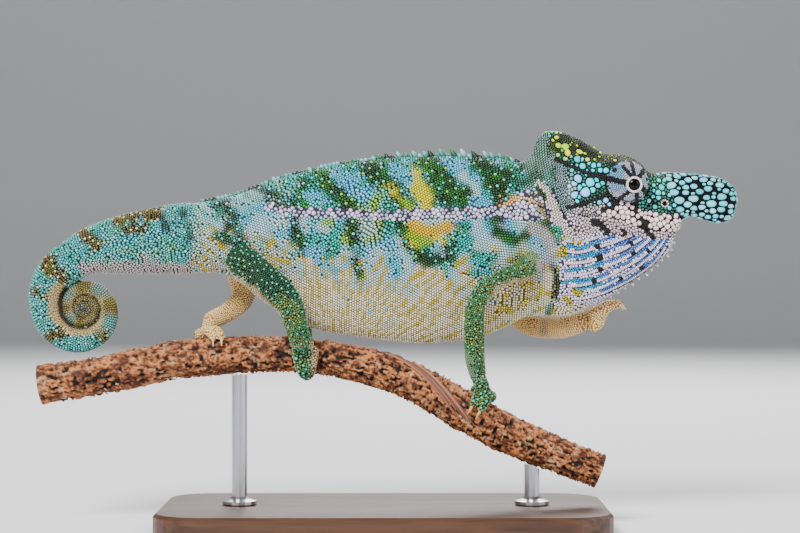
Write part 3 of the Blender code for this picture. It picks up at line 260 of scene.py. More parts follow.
# Colours as red, green and blue from 0 to 255: the skin between the scales, then the scales.
PALETTES = {
    "turquoise": ((4, 40, 32), (
        (46, 166, 154), (72, 188, 184), (28, 138, 112), (104, 202, 204), (26, 116, 74),
    )),
    "sky": ((26, 58, 68), (
        (110, 178, 218), (146, 196, 230), (80, 168, 202), (174, 208, 230), (72, 176, 174),
    )),
    "pale": ((58, 70, 60), (
        (196, 218, 232), (168, 208, 224), (222, 228, 236), (140, 202, 214), (210, 216, 214),
    )),
    "dark_green": ((2, 12, 3), ((12, 50, 14), (22, 72, 24), (7, 34, 11), (38, 92, 26), (66, 130, 38))),
    "dark_brown": ((5, 8, 4), ((30, 40, 16), (48, 54, 20), (20, 30, 10), (60, 88, 32), (100, 176, 160))),
    "yellow": ((80, 80, 6), ((240, 226, 24), (226, 214, 30), (250, 236, 70), (190, 204, 40))),
    "orange": ((78, 58, 0), ((222, 182, 0), (206, 162, 0), (232, 196, 0), (236, 212, 44))),
    "stripe": ((46, 42, 54), ((200, 194, 212), (184, 178, 202), (220, 216, 230), (168, 160, 188))),
    "belly": ((84, 72, 34), ((248, 242, 228), (238, 230, 214), (226, 220, 208), (244, 236, 208))),
    "olive": ((72, 62, 8), ((202, 184, 58), (186, 172, 50), (218, 200, 86), (170, 162, 58))),
    "teal_leg": ((24, 36, 20), ((66, 106, 76), (92, 126, 84), (48, 88, 64), (118, 138, 88), (124, 122, 60))),
    "teal_dot": ((24, 36, 20), ((104, 194, 166), (128, 208, 184), (90, 176, 148), (164, 214, 170))),
    "tan": ((138, 104, 66), (
        (246, 220, 178), (236, 206, 160), (252, 232, 198), (226, 192, 146), (242, 218, 162),
    )),
    "pale_tan": ((84, 66, 46), ((216, 196, 168), (198, 178, 148), (226, 210, 188), (184, 162, 130))),
    "tail": ((20, 50, 48), (
        (88, 164, 170), (118, 186, 194), (58, 138, 136), (148, 200, 204), (84, 158, 120),
    )),
    "tail_dot": ((10, 38, 38), ((170, 216, 220), (190, 222, 220), (146, 204, 210))),
    "olive_band": ((14, 12, 3), ((86, 78, 24), (106, 92, 36), (62, 60, 18), (78, 52, 22), (122, 114, 44))),
    "cream_dot": ((14, 12, 3), ((232, 222, 180), (212, 214, 168), (188, 212, 178))),
    "coil": ((34, 28, 18), ((138, 126, 92), (122, 110, 76), (154, 142, 110), (118, 118, 92), (130, 116, 74))),
    "tail_under": ((50, 46, 46), ((196, 186, 190), (176, 166, 172), (212, 206, 208), (170, 174, 156))),
    "grey": ((12, 16, 15), (
        (156, 174, 176), (110, 132, 128), (190, 200, 204), (88, 124, 100), (140, 158, 176),
    )),
    "nape": ((10, 20, 16), ((132, 160, 150), (86, 122, 106), (170, 190, 186), (58, 98, 72))),
    "casque": ((3, 5, 2), ((206, 228, 70), (220, 236, 96), (170, 212, 76), (232, 232, 62), (150, 200, 96))),
    "casque_edge": ((3, 6, 5), ((110, 206, 186), (150, 212, 170), (168, 204, 130), (96, 190, 180))),
    "plate_blue": ((4, 10, 12), ((150, 200, 244), (166, 210, 248), (138, 192, 238))),
    "plate_turquoise": ((4, 10, 10), ((84, 204, 216), (112, 216, 224), (72, 190, 196), (150, 226, 216))),
    "cheek": ((4, 14, 12), ((70, 156, 144), (52, 126, 104), (102, 182, 180), (132, 188, 186), (44, 100, 78))),
    "snout": ((3, 7, 7), ((96, 200, 206), (124, 214, 218), (78, 184, 180), (166, 226, 222), (120, 206, 176))),
    "lip": ((34, 20, 18), ((244, 224, 222), (234, 212, 210), (248, 236, 234), (228, 206, 204))),
    "lip_back": ((62, 50, 52), ((214, 200, 204), (198, 186, 192), (228, 216, 218), (180, 164, 160))),
    "throat": ((52, 44, 62), ((234, 228, 244), (222, 216, 238), (244, 240, 250), (238, 226, 232))),
    "blue": ((22, 44, 92), ((82, 120, 176), (104, 140, 192), (66, 104, 160), (132, 158, 204))),
    "turquoise_blue": ((8, 64, 92), ((30, 136, 178), (50, 158, 196), (22, 116, 164), (90, 176, 186))),
    "black": ((2, 2, 2), ((7, 8, 8), (12, 13, 12), (5, 6, 6), (22, 22, 19))),
    "yellow_white": ((130, 120, 70), ((236, 232, 200), (226, 220, 160), (242, 238, 226), (206, 204, 120))),
    "turret": ((66, 84, 98), (
        (168, 200, 218), (190, 212, 224), (140, 178, 204), (156, 194, 214), (210, 218, 226),
    )),
    "horn": ((2, 3, 3), (
        (124, 200, 212), (146, 212, 222), (108, 188, 204), (170, 224, 230), (102, 182, 188),
    )),
    "lid": ((70, 56, 54), ((246, 236, 234), (240, 224, 222), (250, 242, 240))),
    "lime": ((20, 40, 6), ((150, 190, 60), (176, 206, 78), (128, 176, 72), (196, 210, 90))),
    "thigh": ((3, 14, 10), ((18, 66, 48), (26, 82, 60), (10, 48, 36), (44, 96, 58), (56, 72, 40))),
    "peach": ((90, 60, 30), ((236, 200, 150), (226, 184, 130), (242, 218, 180), (220, 190, 170))),
    "neck_band": ((84, 74, 66), ((230, 220, 214), (238, 230, 234), (216, 208, 184), (222, 212, 226))),
    "ochre": ((84, 70, 30), ((232, 196, 64), (222, 180, 44), (240, 212, 96), (238, 222, 170))),
    "sage": ((30, 44, 26), ((150, 168, 128), (128, 158, 118), (170, 182, 150), (140, 172, 160))),
    "pale_dot": ((30, 44, 30), ((212, 214, 230), (226, 222, 236), (196, 210, 226))),
    "turret_blue": ((58, 100, 134), ((134, 196, 232), (156, 212, 238), (112, 176, 218))),
    "turret_lilac": ((92, 90, 104), ((212, 208, 226), (194, 190, 212), (226, 222, 236))),
    "casque_fill": ((2, 3, 1), ((16, 24, 9), (30, 42, 15), (9, 13, 5), (84, 104, 36), (26, 22, 14))),
    "crest_rim": ((6, 5, 4), ((58, 46, 30), (120, 116, 128), (80, 66, 44), (150, 148, 160), (44, 38, 26))),
    "cheek_fill": ((2, 7, 6), ((24, 68, 52), (44, 102, 80), (12, 38, 30), (78, 148, 124), (30, 80, 54))),
    "snout_fill": ((2, 6, 6), ((24, 68, 58), (50, 112, 96), (12, 36, 32), (104, 178, 156), (22, 54, 44))),
    "jade": ((2, 24, 16), (
        (22, 126, 106), (42, 154, 142), (14, 96, 68), (66, 172, 168), (24, 90, 40), (88, 170, 86),
    )),
    "coil_olive": ((24, 20, 6), ((104, 90, 40), (84, 74, 32), (122, 112, 50), (138, 132, 60))),
    "coil_blue": ((28, 34, 30), ((118, 144, 138), (100, 130, 124), (136, 158, 146), (122, 134, 108))),
    "coil_cream": ((84, 70, 50), ((190, 172, 136), (174, 154, 116), (204, 188, 156), (164, 152, 110))),
    # Painted shade in the grooves between the coil's turns.
    "coil_groove_shade": ((8, 6, 3), ((26, 20, 12), (36, 28, 18), (16, 12, 7), (48, 40, 26))),
    "flank_dot": ((6, 44, 36), ((140, 214, 230), (118, 206, 216), (164, 220, 234))),
    "green_dot": ((2, 14, 4), ((112, 204, 190), (152, 222, 202), (172, 204, 84))),
}

# Markings of both sides: palette, line in XZ, half breadth, softness of the edge, strength.
LOWER_MARKS = (
    ("yellow", ((31.5, 59.0),), 0.9, 0.8, 0.95),
    ("yellow", ((36.2, 57.5),), 1.1, 0.9, 0.95),
    ("yellow", ((40.6, 61.0), (40.4, 59.6)), 0.9, 0.8, 0.9),
    ("yellow", ((29.9, 56.2),), 0.9, 0.8, 0.9),
    ("yellow", ((27.6, 54.3),), 0.9, 0.8, 0.9),
    ("ochre", ((36.7, 64.0),), 1.1, 0.8, 0.9),
    ("ochre", ((28.1, 71.2), (28.6, 68.1), (27.6, 66.6)), 1.1, 1.0, 0.75),
    ("olive", ((-34.0, 66.0), (-29.0, 73.0), (-25.0, 78.0)), 1.0, 1.2, 0.5),
)
UPPER_MARKS = (
    ("sky", ((-34.0, 80.0), (-26.0, 78.0)), 3.4, 2.5, 0.7),
    ("pale", ((-33.0, 76.0), (-26.0, 80.0)), 2.2, 2.0, 0.55),
    ("sky", ((-20.0, 85.0), (-15.0, 83.5)), 1.8, 2.0, 0.8),
    ("sky", ((-13.0, 90.5), (-7.5, 87.0), (-3.0, 84.0)), 2.6, 1.8, 0.9),
    ("sky", ((3.5, 92.0), (7.5, 90.0)), 1.9, 1.4, 0.85),
    ("sky", ((17.5, 93.0), (22.5, 89.0), (24.5, 84.5)), 2.4, 1.4, 0.95),
    ("pale", ((20.5, 90.0), (23.5, 86.5)), 1.4, 1.4, 0.7),
    ("sky", ((30.0, 93.0), (33.0, 90.5)), 1.8, 1.4, 0.6),
    ("dark_brown", ((-42.5, 83.5), (-38.7, 77.7), (-36.5, 73.5)), 2.2, 1.4, 0.8),
    ("dark_brown", ((-33.0, 87.6), (-28.0, 84.8), (-22.0, 80.3)), 1.4, 1.2, 0.9),
    ("dark_green", ((-17.7, 92.5), (-13.5, 87.4), (-8.0, 81.6)), 2.0, 1.1, 0.95),
    ("dark_green", ((-4.7, 94.0), (0.0, 88.9), (6.0, 82.8)), 2.0, 1.2, 0.95),
    ("yellow", ((1.5, 87.0), (5.5, 83.0)), 1.0, 1.0, 0.7),
    ("yellow", ((8.0, 92.0), (9.6, 88.0)), 1.4, 1.6, 0.55),
    ("yellow", ((9.0, 86.8), (11.0, 84.0)), 1.9, 0.9, 0.97),
    ("dark_green", ((10.9, 95.6), (16.1, 90.0), (20.8, 83.0)), 1.9, 1.1, 0.95),
    ("dark_green", ((14.5, 84.6), (20.3, 86.3)), 2.3, 1.1, 0.92),
    ("dark_green", ((23.4, 96.2), (27.1, 91.5), (30.2, 84.4)), 2.1, 1.1, 0.95),
    ("dark_green", ((29.0, 88.4), (35.4, 90.6), (39.4, 88.0)), 3.0, 1.5, 0.85),
    ("dark_green", ((-22.3, 79.2), (-21.8, 73.8), (-20.0, 70.0)), 1.3, 1.1, 0.85),
    ("dark_green", ((-8.3, 78.5), (-7.8, 74.0)), 2.3, 1.2, 0.9),
    ("dark_green", ((-8.0, 74.0), (-6.2, 64.5)), 1.2, 1.2, 0.7),
    ("dark_green", ((4.5, 77.6), (6.8, 72.5), (11.0, 67.6)), 1.9, 1.1, 0.92),
    ("dark_green", ((11.0, 69.0), (16.5, 69.8), (17.0, 73.6)), 2.0, 1.1, 0.9),
    ("dark_green", ((18.6, 77.4), (20.0, 76.0)), 0.9, 0.9, 0.8),
    ("yellow", ((8.1, 73.4), (14.6, 74.2)), 1.3, 0.9, 0.75),
    ("sky", ((-17.0, 70.0), (-11.0, 66.0)), 2.4, 2.0, 0.6),
    ("sky", ((1.0, 73.0), (3.5, 66.0)), 2.4, 1.8, 0.6),
    ("turquoise", ((20.0, 73.0), (27.0, 68.0)), 3.0, 2.0, 0.55),
    ("lime", ((-5.5, 81.8), (-2.5, 83.5), (0.5, 86.5)), 1.2, 1.2, 0.7),
    ("lime", ((7.5, 82.0), (3.5, 84.0)), 1.2, 1.2, 0.6),
    ("lime", ((-4.6, 73.5), (-1.8, 74.5)), 1.0, 1.0, 0.8),
    ("lime", ((9.6, 73.4), (12.4, 73.0), (6.8, 75.2)), 1.2, 0.9, 0.85),
    ("lime", ((-18.0, 79.0), (-12.0, 77.4), (-10.0, 73.0)), 0.7, 1.0, 0.5),
    ("lime", ((-2.5, 77.6), (3.0, 78.0)), 0.7, 1.0, 0.6),
    ("orange", ((7.6, 77.2), (12.0, 75.9), (16.4, 77.2)), 1.5, 0.7, 1.0),
)
STRIPE_LINE = (
    (-30.0, 82.4), (-21.8, 80.9), (-8.0, 80.6), (1.8, 80.1), (12.0, 80.6), (21.9, 80.6), (28.4, 80.9),
    (36.7, 82.6), (41.5, 82.0),
)
STRIPE_BREADTHS = (
    (-30.0, 0.7), (-20.0, 1.3), (0.0, 1.35), (12.0, 1.6), (26.0, 1.8), (31.0, 2.6), (37.0, 4.0),
    (41.5, 4.4),
)
HEAD_MARKS = (
    ("yellow_white", ((40.6, 88.0), (42.2, 82.5), (45.0, 72.9)), 1.1, 0.5, 0.97),
    ("dark_green", ((39.0, 84.5), (41.2, 78.5), (44.0, 73.0)), 0.75, 0.4, 0.95),
    ("grey", ((43.5, 94.0), (46.0, 88.0), (47.5, 82.0)), 1.9, 0.8, 0.97),
    ("pale", ((47.6, 85.5), (47.9, 88.5)), 1.0, 0.9, 0.7),
    ("casque_fill", ((45.6, 99.0), (50.2, 97.6), (56.6, 95.3), (61.0, 94.9)), 2.9, 0.4, 1.0),
    ("crest_rim", ((47.0, 102.4), (51.5, 100.6), (55.5, 98.2), (57.0, 97.0)), 1.0, 0.5, 0.95),
    ("casque_edge", ((41.0, 101.6), (44.0, 102.4), (46.0, 102.4)), 0.7, 0.5, 0.7),
    ("cheek_fill", ((45.3, 95.7), (46.8, 94.9), (49.7, 94.4), (51.8, 93.1), (54.4, 92.6), (57.6, 91.9)),
     1.3, 0.4, 0.98),
    ("snout_fill", ((68.5, 90.0), (73.0, 87.5), (73.0, 84.0), (70.0, 82.0)), 2.6, 0.5, 0.98),
    ("cheek", ((67.5, 83.8), (65.6, 82.4)), 1.2, 0.5, 0.9),
    ("casque_fill", ((58.0, 95.6), (62.0, 95.4), (66.0, 93.6), (69.0, 91.4)), 1.2, 0.5, 0.95),
    ("lip", ((76.8, 78.0), (70.3, 78.5), (65.0, 79.7), (59.8, 81.8), (56.8, 82.4)), 2.3, 0.25, 1.0),
    ("lip_back", ((56.2, 81.9), (52.3, 81.6), (49.6, 81.4)), 1.0, 0.4, 0.95),
    ("cheek_fill", ((49.9, 83.0), (53.6, 83.6), (57.4, 84.2)), 0.9, 0.4, 0.95),
    ("black", ((44.6, 94.6), (47.2, 93.4), (51.2, 91.5), (57.7, 89.4)), 0.62, 0.25, 1.0),
    ("black", ((47.4, 82.2), (52.5, 83.2), (57.4, 85.6)), 0.5, 0.25, 1.0),
    ("black", ((56.6, 81.6), (60.4, 83.9)), 0.65, 0.25, 0.95),
    ("black", ((64.3, 84.2), (64.9, 81.6)), 0.7, 0.3, 0.95),
    ("black", ((67.4, 86.4), (70.6, 82.6)), 0.5, 0.4, 0.7),
    ("black", ((66.6, 79.0), (67.6, 77.0)), 0.6, 0.3, 0.9),
    ("black", ((74.6, 80.0), (77.2, 80.4)), 0.4, 0.3, 0.6),
)
JAW_MARKS = (
    ("lip_back", ((75.0, 75.2), (70.4, 75.2), (65.2, 76.2), (60.0, 78.2), (55.0, 79.0), (50.0, 79.2)),
     0.9, 0.3, 1.0),
    ("lip_back", ((62.0, 76.0), (55.0, 77.4), (50.0, 76.6)), 1.6, 0.6, 0.9),
    ("black", ((54.1, 78.6), (56.4, 77.3), (57.4, 76.0)), 0.9, 0.4, 0.9),
    ("black", ((67.0, 76.6), (68.0, 75.6), (69.4, 74.4)), 0.5, 0.3, 0.9),
    ("black", ((61.2, 76.4), (62.2, 75.4)), 0.5, 0.3, 0.7),
    ("olive", ((45.6, 75.4), (46.2, 74.4)), 0.8, 0.4, 0.9),
    ("olive", ((46.2, 71.2), (46.6, 70.2)), 0.9, 0.4, 0.9),
    ("olive", ((49.2, 73.4), (50.6, 73.0)), 0.7, 0.4, 0.9),
    ("olive", ((49.0, 60.9), (50.4, 60.2)), 0.9, 0.4, 0.9),
    ("olive", ((46.8, 58.8), (48.2, 57.6)), 0.7, 0.4, 0.8),
    ("dark_brown", ((44.9, 69.0), (44.4, 63.0), (44.0, 56.0)), 0.7, 0.5, 0.9),
)
BLACK_SPOTS = (
    (54.8, 72.1, 0.8), (55.5, 69.2, 0.8), (55.7, 66.1, 0.8), (54.2, 63.2, 0.75), (61.6, 74.9, 0.6),
    (63.7, 73.0, 0.7), (64.5, 70.2, 0.6), (68.4, 71.0, 0.6), (71.5, 71.2, 0.5), (66.8, 66.4, 0.7),
    (61.3, 63.8, 0.6),
)
TAIL_MARKS = (
    ("dark_brown", ((-45.0, 83.5), (-42.5, 79.0), (-40.5, 73.0)), 2.0, 1.6, 0.75),
    ("dark_brown", ((-52.5, 84.0), (-51.0, 79.0), (-49.5, 74.5)), 1.0, 1.2, 0.8),
    ("dark_brown", ((-56.5, 79.5), (-55.5, 76.0)), 0.8, 1.2, 0.6),
    ("olive_band", ((-68.5, 79.8), (-63.0, 81.4), (-59.5, 81.6)), 2.3, 1.2, 0.97),
    ("olive_band", ((-66.0, 77.0), (-61.0, 76.6)), 1.4, 1.4, 0.75),
    ("olive_band", ((-79.5, 76.8), (-76.0, 74.8), (-74.0, 72.4)), 1.9, 1.2, 0.95),
    ("olive_band", ((-87.5, 69.0), (-85.4, 66.2), (-83.2, 64.2)), 2.0, 1.2, 0.95),
    ("olive_band", ((-90.0, 60.5), (-88.5, 59.5)), 1.0, 1.2, 0.8),
    ("olive_band", ((-86.5, 49.0), (-82.5, 51.0)), 1.9, 1.2, 0.95),
    ("olive_band", ((-73.0, 50.0), (-71.0, 46.0)), 1.5, 1.2, 0.85),
    ("lime", ((-83.5, 61.5), (-82.5, 55.0), (-79.0, 51.0)), 0.9, 1.2, 0.5),
    ("lime", ((-72.0, 73.0), (-63.0, 70.5), (-54.0, 70.5)), 1.0, 1.6, 0.3),
)

# Single plates of the head by palette: x, z and radius of each.
HEAD_PLATES = {
    "casque": (
        (45.0, 98.3, 1.0), (47.0, 98.2, 1.12), (47.3, 96.2, 1.18), (50.5, 96.7, 1.02),
        (44.7, 100.6, 0.78), (44.7, 101.8, 0.62), (42.1, 102.0, 0.5), (46.0, 101.7, 0.45),
        (43.7, 99.7, 0.6), (52.5, 94.6, 0.82), (54.4, 94.6, 0.58), (56.2, 96.5, 0.66),
        (55.7, 95.4, 0.5), (54.6, 97.8, 0.45), (59.6, 94.4, 0.66), (48.1, 98.5, 0.5),
        (49.9, 98.3, 0.45), (52.0, 96.2, 0.5), (49.7, 95.9, 0.5), (48.6, 99.1, 0.4), (58.0, 95.4, 0.38),
        (59.0, 95.7, 0.4), (60.1, 95.5, 0.4), (60.9, 95.9, 0.38), (58.8, 94.8, 0.35), (62.4, 95.2, 0.4),
        (57.2, 94.6, 0.35),
    ),
    "casque_edge": (
        (43.7, 102.0, 0.55), (46.8, 94.9, 0.75), (45.0, 95.9, 0.62), (48.1, 95.4, 0.5),
        (46.0, 97.0, 0.45), (42.9, 100.9, 0.45),
    ),
    "plate_turquoise": (
        (49.7, 94.6, 0.82), (51.2, 92.8, 0.8), (54.0, 93.0, 0.72), (52.8, 93.6, 0.5), (55.4, 93.2, 0.6),
        (52.3, 91.8, 0.55), (55.7, 91.8, 0.66), (57.2, 91.8, 0.75), (53.8, 91.8, 0.5),
        (53.1, 88.7, 1.15), (54.6, 89.2, 0.66), (55.1, 87.9, 0.7), (53.6, 86.7, 0.8), (50.5, 87.2, 0.7),
        (51.5, 87.9, 0.58), (56.2, 88.4, 0.6), (52.0, 90.5, 0.5), (49.7, 83.7, 0.5), (52.8, 83.5, 0.6),
        (54.1, 83.5, 0.5), (55.4, 83.5, 0.78), (56.2, 84.8, 0.55), (50.2, 84.8, 0.5), (48.4, 91.8, 0.5),
        (51.0, 94.6, 0.5), (48.4, 93.3, 0.4),
    ),
    "plate_blue": (
        (49.9, 89.7, 1.08), (51.8, 86.1, 1.32), (48.9, 88.4, 0.75), (48.9, 85.3, 0.92),
        (57.0, 84.0, 0.72), (47.6, 87.6, 0.62), (55.9, 90.0, 0.5), (58.0, 82.9, 0.55),
    ),
    "snout": (
        (71.0, 90.9, 0.55), (73.6, 90.5, 0.62), (76.2, 90.4, 0.6), (71.0, 89.4, 0.55),
        (72.6, 89.3, 0.5), (74.9, 89.2, 0.66), (71.8, 87.4, 0.82), (71.0, 86.1, 0.75),
        (69.7, 88.0, 0.5), (72.3, 85.9, 0.5), (71.0, 84.8, 0.58), (70.0, 82.4, 0.6), (68.4, 84.0, 0.55),
        (73.9, 87.6, 0.55), (75.2, 86.6, 0.75), (73.9, 85.5, 0.5), (75.7, 84.2, 0.95),
        (75.2, 82.9, 0.5), (73.9, 82.2, 0.5), (69.4, 85.0, 0.42), (69.7, 86.6, 0.4), (72.3, 88.3, 0.42),
    ),
}
NOSTRIL = (72.6, 83.3)
# The line where the horn's root meets the snout: a point on it and its weights of x and z.
ROOT_POINT = (73.0, 90.0)
ROOT_WEIGHTS = (0.9, 0.36)
# How much stronger every colour is than the tables say.
VIVID = 1.32
# Lean of the flanks' rows of scales in radians.
ROW_SLANT = 0.42
# Streaks of the belly fan out from one point below it, those of the hip run in parallel.
STREAK_FAN = (-12.7, 37.4)
STREAK_ANGLE = 0.075
HIP_STREAK_GAP = 2.5
# Of some kinds of scale: how much longer than broad, and the lean of their length in radians.
OVAL_SCALES = {
    "casque": (1.25, -0.45),
    "casque_edge": (1.15, -0.6),
    "grey": (1.9, 1.15),
    "nape": (1.6, 1.15),
    "neck_band": (1.5, 1.2),
    "pale": (1.15, -0.6),
}
# Markings that run on from the trunk to a near leg, and from the neck to the head.
JOINT_MARKS = (
    ("thigh", ((-41.3, 75.4), (-37.4, 71.4), (-33.5, 67.3)), 2.3, 2.2, 0.8),
    ("pale_tan", ((-44.0, 67.0), (-38.0, 65.0), (-33.0, 61.0)), 0.8, 1.2, 0.6),
    ("pale_tan", ((-36.1, 75.9), (-32.7, 71.2), (-28.3, 68.1), (-24.4, 65.5), (-22.6, 62.1)),
     0.25, 0.4, 0.9),
    ("teal_leg", ((36.0, 70.0), (30.0, 67.0)), 1.0, 1.5, 0.6),
    ("tail_under", ((39.0, 76.4), (42.0, 73.4), (42.6, 69.8), (40.0, 67.2)), 1.9, 1.6, 0.85),
    ("sage", ((36.5, 73.0), (38.5, 70.0), (37.0, 66.5)), 1.4, 1.4, 0.6),
    ("pale_tan", ((27.0, 59.6), (30.0, 61.4), (33.2, 62.6), (38.0, 64.0)), 0.7, 0.8, 0.9),
    ("pale_tan", ((26.6, 57.0), (26.4, 51.0), (26.0, 45.0)), 0.3, 0.6, 0.75),
    ("sage", ((20.5, 44.0), (22.4, 40.0), (24.8, 34.5)), 2.4, 1.8, 0.65),
    ("sky", ((38.6, 73.8), (41.9, 71.2)), 1.2, 1.5, 0.55),
)
# Shares of the palettes above the stripe, and below it from each depth, 0 at the stripe to 1 at the belly.
UPPER_MIX = (("sky", 0.14), ("turquoise", 0.22), ("jade", 0.4), ("dark_green", 0.24))
LOWER_MIXES = (
    (-9.0, (("pale", 0.36), ("sky", 0.2), ("turquoise", 0.34), ("dark_green", 0.1))),
    (0.42, (("pale", 0.56), ("belly", 0.28), ("sky", 0.12), ("olive", 0.04))),
    (0.62, (("belly", 0.9), ("sky", 0.02), ("pale", 0.08))),
)
NECK_MARKS = (
    ("dark_brown", ((31.5, 91.5), (35.4, 90.0), (39.3, 89.4)), 2.0, 1.6, 0.5),
    ("dark_green", ((42.6, 98.6), (43.7, 93.9), (43.7, 89.4)), 0.5, 0.5, 0.7),
    ("dark_green", ((28.4, 78.5), (31.0, 78.5)), 0.8, 0.8, 0.95),
    ("dark_green", ((29.1, 75.9), (31.5, 74.4), (34.3, 73.8), (36.9, 75.4), (39.3, 77.0), (41.4, 77.7)),
     1.5, 0.9, 0.97),
    ("peach", ((30.2, 82.4), (34.1, 84.4), (37.5, 84.4), (39.8, 82.7), (41.9, 79.6)), 0.6, 0.6, 0.9),
    ("neck_band", ((39.6, 88.4), (42.9, 84.2), (44.7, 80.3), (46.0, 77.7), (47.6, 75.4)), 1.15, 1.0, 0.9),
    ("dark_green", ((39.5, 87.6), (40.8, 85.8), (41.6, 84.2)), 0.4, 0.3, 1.0),
    ("dark_green", ((39.8, 82.7), (41.4, 80.9), (42.4, 78.5), (42.9, 76.4), (44.0, 74.4), (44.7, 72.3)),
     0.45, 0.3, 1.0),
    ("black", ((43.6, 86.8), (44.6, 84.2), (45.9, 81.1), (47.2, 78.5), (49.0, 76.4)), 0.28, 0.3, 0.9),
    ("dark_brown", ((42.9, 68.1), (44.5, 64.7), (44.2, 60.8), (42.9, 56.9), (42.4, 54.6)), 0.75, 0.6, 0.95),
)


# Paths and lofts


def smooth_path(points, per_span=8):
    """A smooth curve through the points, by cubic spans with chord-length tangents."""
    points = np.array(points, float)
    steps = np.linalg.norm(np.diff(points, axis=0), axis=1)
    at = np.concatenate([[0.0], np.cumsum(steps)])
    tangents = np.gradient(points, at, axis=0)
    spans = []
    for i, step in enumerate(steps):
        s = np.linspace(0.0, 1.0, per_span, endpoint=False)[:, None]
        spans.append(
            (2 * s**3 - 3 * s**2 + 1) * points[i]
            + (s**3 - 2 * s**2 + s) * step * tangents[i]
            + (3 * s**2 - 2 * s**3) * points[i + 1]
            + (s**3 - s**2) * step * tangents[i + 1]
        )
    return np.concatenate(spans + [points[-1:]])


def path_of(points):
    return smooth_path(points) if len(points) > 2 else np.array(points, float)


def along(path, fractions):
    """Points at these fractions of the path's length."""
    steps = np.linalg.norm(np.diff(path[:, :2], axis=0), axis=1)
    at = np.concatenate([[0.0], np.cumsum(steps)])
    wanted = np.asarray(fractions) * at[-1]
    return np.stack([np.interp(wanted, at, path[:, k]) for k in range(path.shape[1])], axis=-1)


def distance_to_path(points, path):
    """The distance of each XZ point to a line through the path's points."""
    if len(path) == 1:
        return np.linalg.norm(points - path[0], axis=-1)
    start = path[:-1]
    run = path[1:] - start
    length = np.maximum((run**2).sum(axis=1), 1e-9)
    found = np.empty(len(points))
    for first in range(0, len(points), 20000):
        offset = points[first:first + 20000, None, :] - start
        share = np.clip((offset * run).sum(axis=-1) / length, 0.0, 1.0)
        found[first:first + 20000] = np.linalg.norm(offset - share[..., None] * run, axis=-1).min(axis=-1)
    return found


def outline_of_trunk():
    """The lines where the trunk's half width falls to nothing, carried on along the tail's root."""
    top = np.concatenate([np.array(TAIL_TOP), smooth_path(BACK), smooth_path(HORN_TOP)])
    under = np.concatenate([smooth_path(UPPER_LIP)[::-1], smooth_path(HORN_UNDER)])
    low = np.concatenate([smooth_path(THROAT), smooth_path(BELLY), np.array(TAIL_UNDER)])
    return top, under, low


OUTLINE = outline_of_trunk()
GROOVE_FORMS = tuple((groove, -GROOVE_DEPTH, GROOVE_BREADTH) for groove in THROAT_GROOVES)
FORM_PATHS = [(path_of(p), h, b) for p, h, b in FORMS + GROOVE_FORMS]


def half_width(points):
    """Half the breadth of trunk, head and horn at XZ points, in millimetres."""
    points = np.asarray(points, float).reshape(-1, 2)
    table = np.array(WIDTHS)
    reach = np.linalg.norm(points[:, None, :] - table[:, :2], axis=-1) / table[:, 4]
    weight = np.exp(-0.5 * reach**2) + 1e-9
    weight /= weight.sum(axis=-1, keepdims=True)
    width = (weight * table[:, 2]).sum(axis=-1)
    rounding = (weight * table[:, 3]).sum(axis=-1)
    edge = np.min([distance_to_path(points, path) for path in OUTLINE], axis=0)
    inward = np.clip(edge / rounding, 0.0, 1.0)
    width = width * np.sqrt(1.0 - (1.0 - inward) ** 2)
    fade = np.clip(edge / FORM_FADE, 0.0, 1.0)
    for path, height, breadth in FORM_PATHS:
        width = width + fade * height * np.exp(-((distance_to_path(points, path) / breadth) ** 2))
    return np.maximum(width, 0.0)


def unit(vector):
    return vector / np.linalg.norm(vector)


def carried_frames(path, first_side):
    """A frame at each point of a 3-D path, carried along it without twist: tangent, side and up."""
    tangents = np.gradient(path, axis=0)
    tangents /= np.linalg.norm(tangents, axis=1)[:, None]
    side = np.array(first_side, float)
    frames = []
    for tangent in tangents:
        side = unit(side - tangent * side.dot(tangent))
        frames.append((tangent, side, np.cross(tangent, side)))
    return frames


def ring_points(centre, frame, radius, sides, flatten=1.0):
    """Points of a round section; flatten scales its breadth across the middle plane."""
    angles = np.arange(sides) * 2 * np.pi / sides
    offsets = radius * (np.cos(angles)[:, None] * frame[1] + np.sin(angles)[:, None] * frame[2])
    offsets[:, 1] *= flatten
    return centre + offsets


class Form:
    """A closed surface in millimetres, with a part number and each point's place along and around it."""

    def __init__(self, points, faces, part, places):
        self.points = np.asarray(points, float)
        self.faces = faces
        self.part = part
        self.places = np.asarray(places, float)
        self.grid = None


def loft(rings, part=0, tip=None):
    """A closed form through rings of as many points each, ending in a flat face or in a tip."""
    sides = len(rings[0])
    count = len(rings)
    points = np.concatenate(rings)
    i, k = np.meshgrid(np.arange(count - 1), np.arange(sides), indexing="ij")
    m = (k + 1) % sides
    quads = np.stack([i * sides + k, i * sides + m, (i + 1) * sides + m, (i + 1) * sides + k], axis=-1)
    faces = [tuple(q) for q in quads.reshape(-1, 4)]
    s, a = np.meshgrid(np.linspace(0.0, 1.0, count), np.arange(sides) / sides, indexing="ij")
    places = np.stack([s.ravel(), a.ravel()], axis=-1)
    ends = ((rings[0], 0, 0.0, None), (rings[-1], (count - 1) * sides, 1.0, tip))
    for ring, first, at, point in ends:
        centre = ring.mean(axis=0) if point is None else point
        faces += [(first + k, first + (k + 1) % sides, len(points)) for k in range(sides)]
        points = np.vstack([points, centre])
        places = np.vstack([places, (at, 0.5)])
    form = Form(points, faces, part, places)
    form.grid = (count, sides)
    return form


PARTS = (
    "trunk", "head", "tail", "hind_near", "hind_far", "fore_near", "fore_far", "foot_near", "foot_far",
)
PART = {name: number for number, name in enumerate(PARTS)}


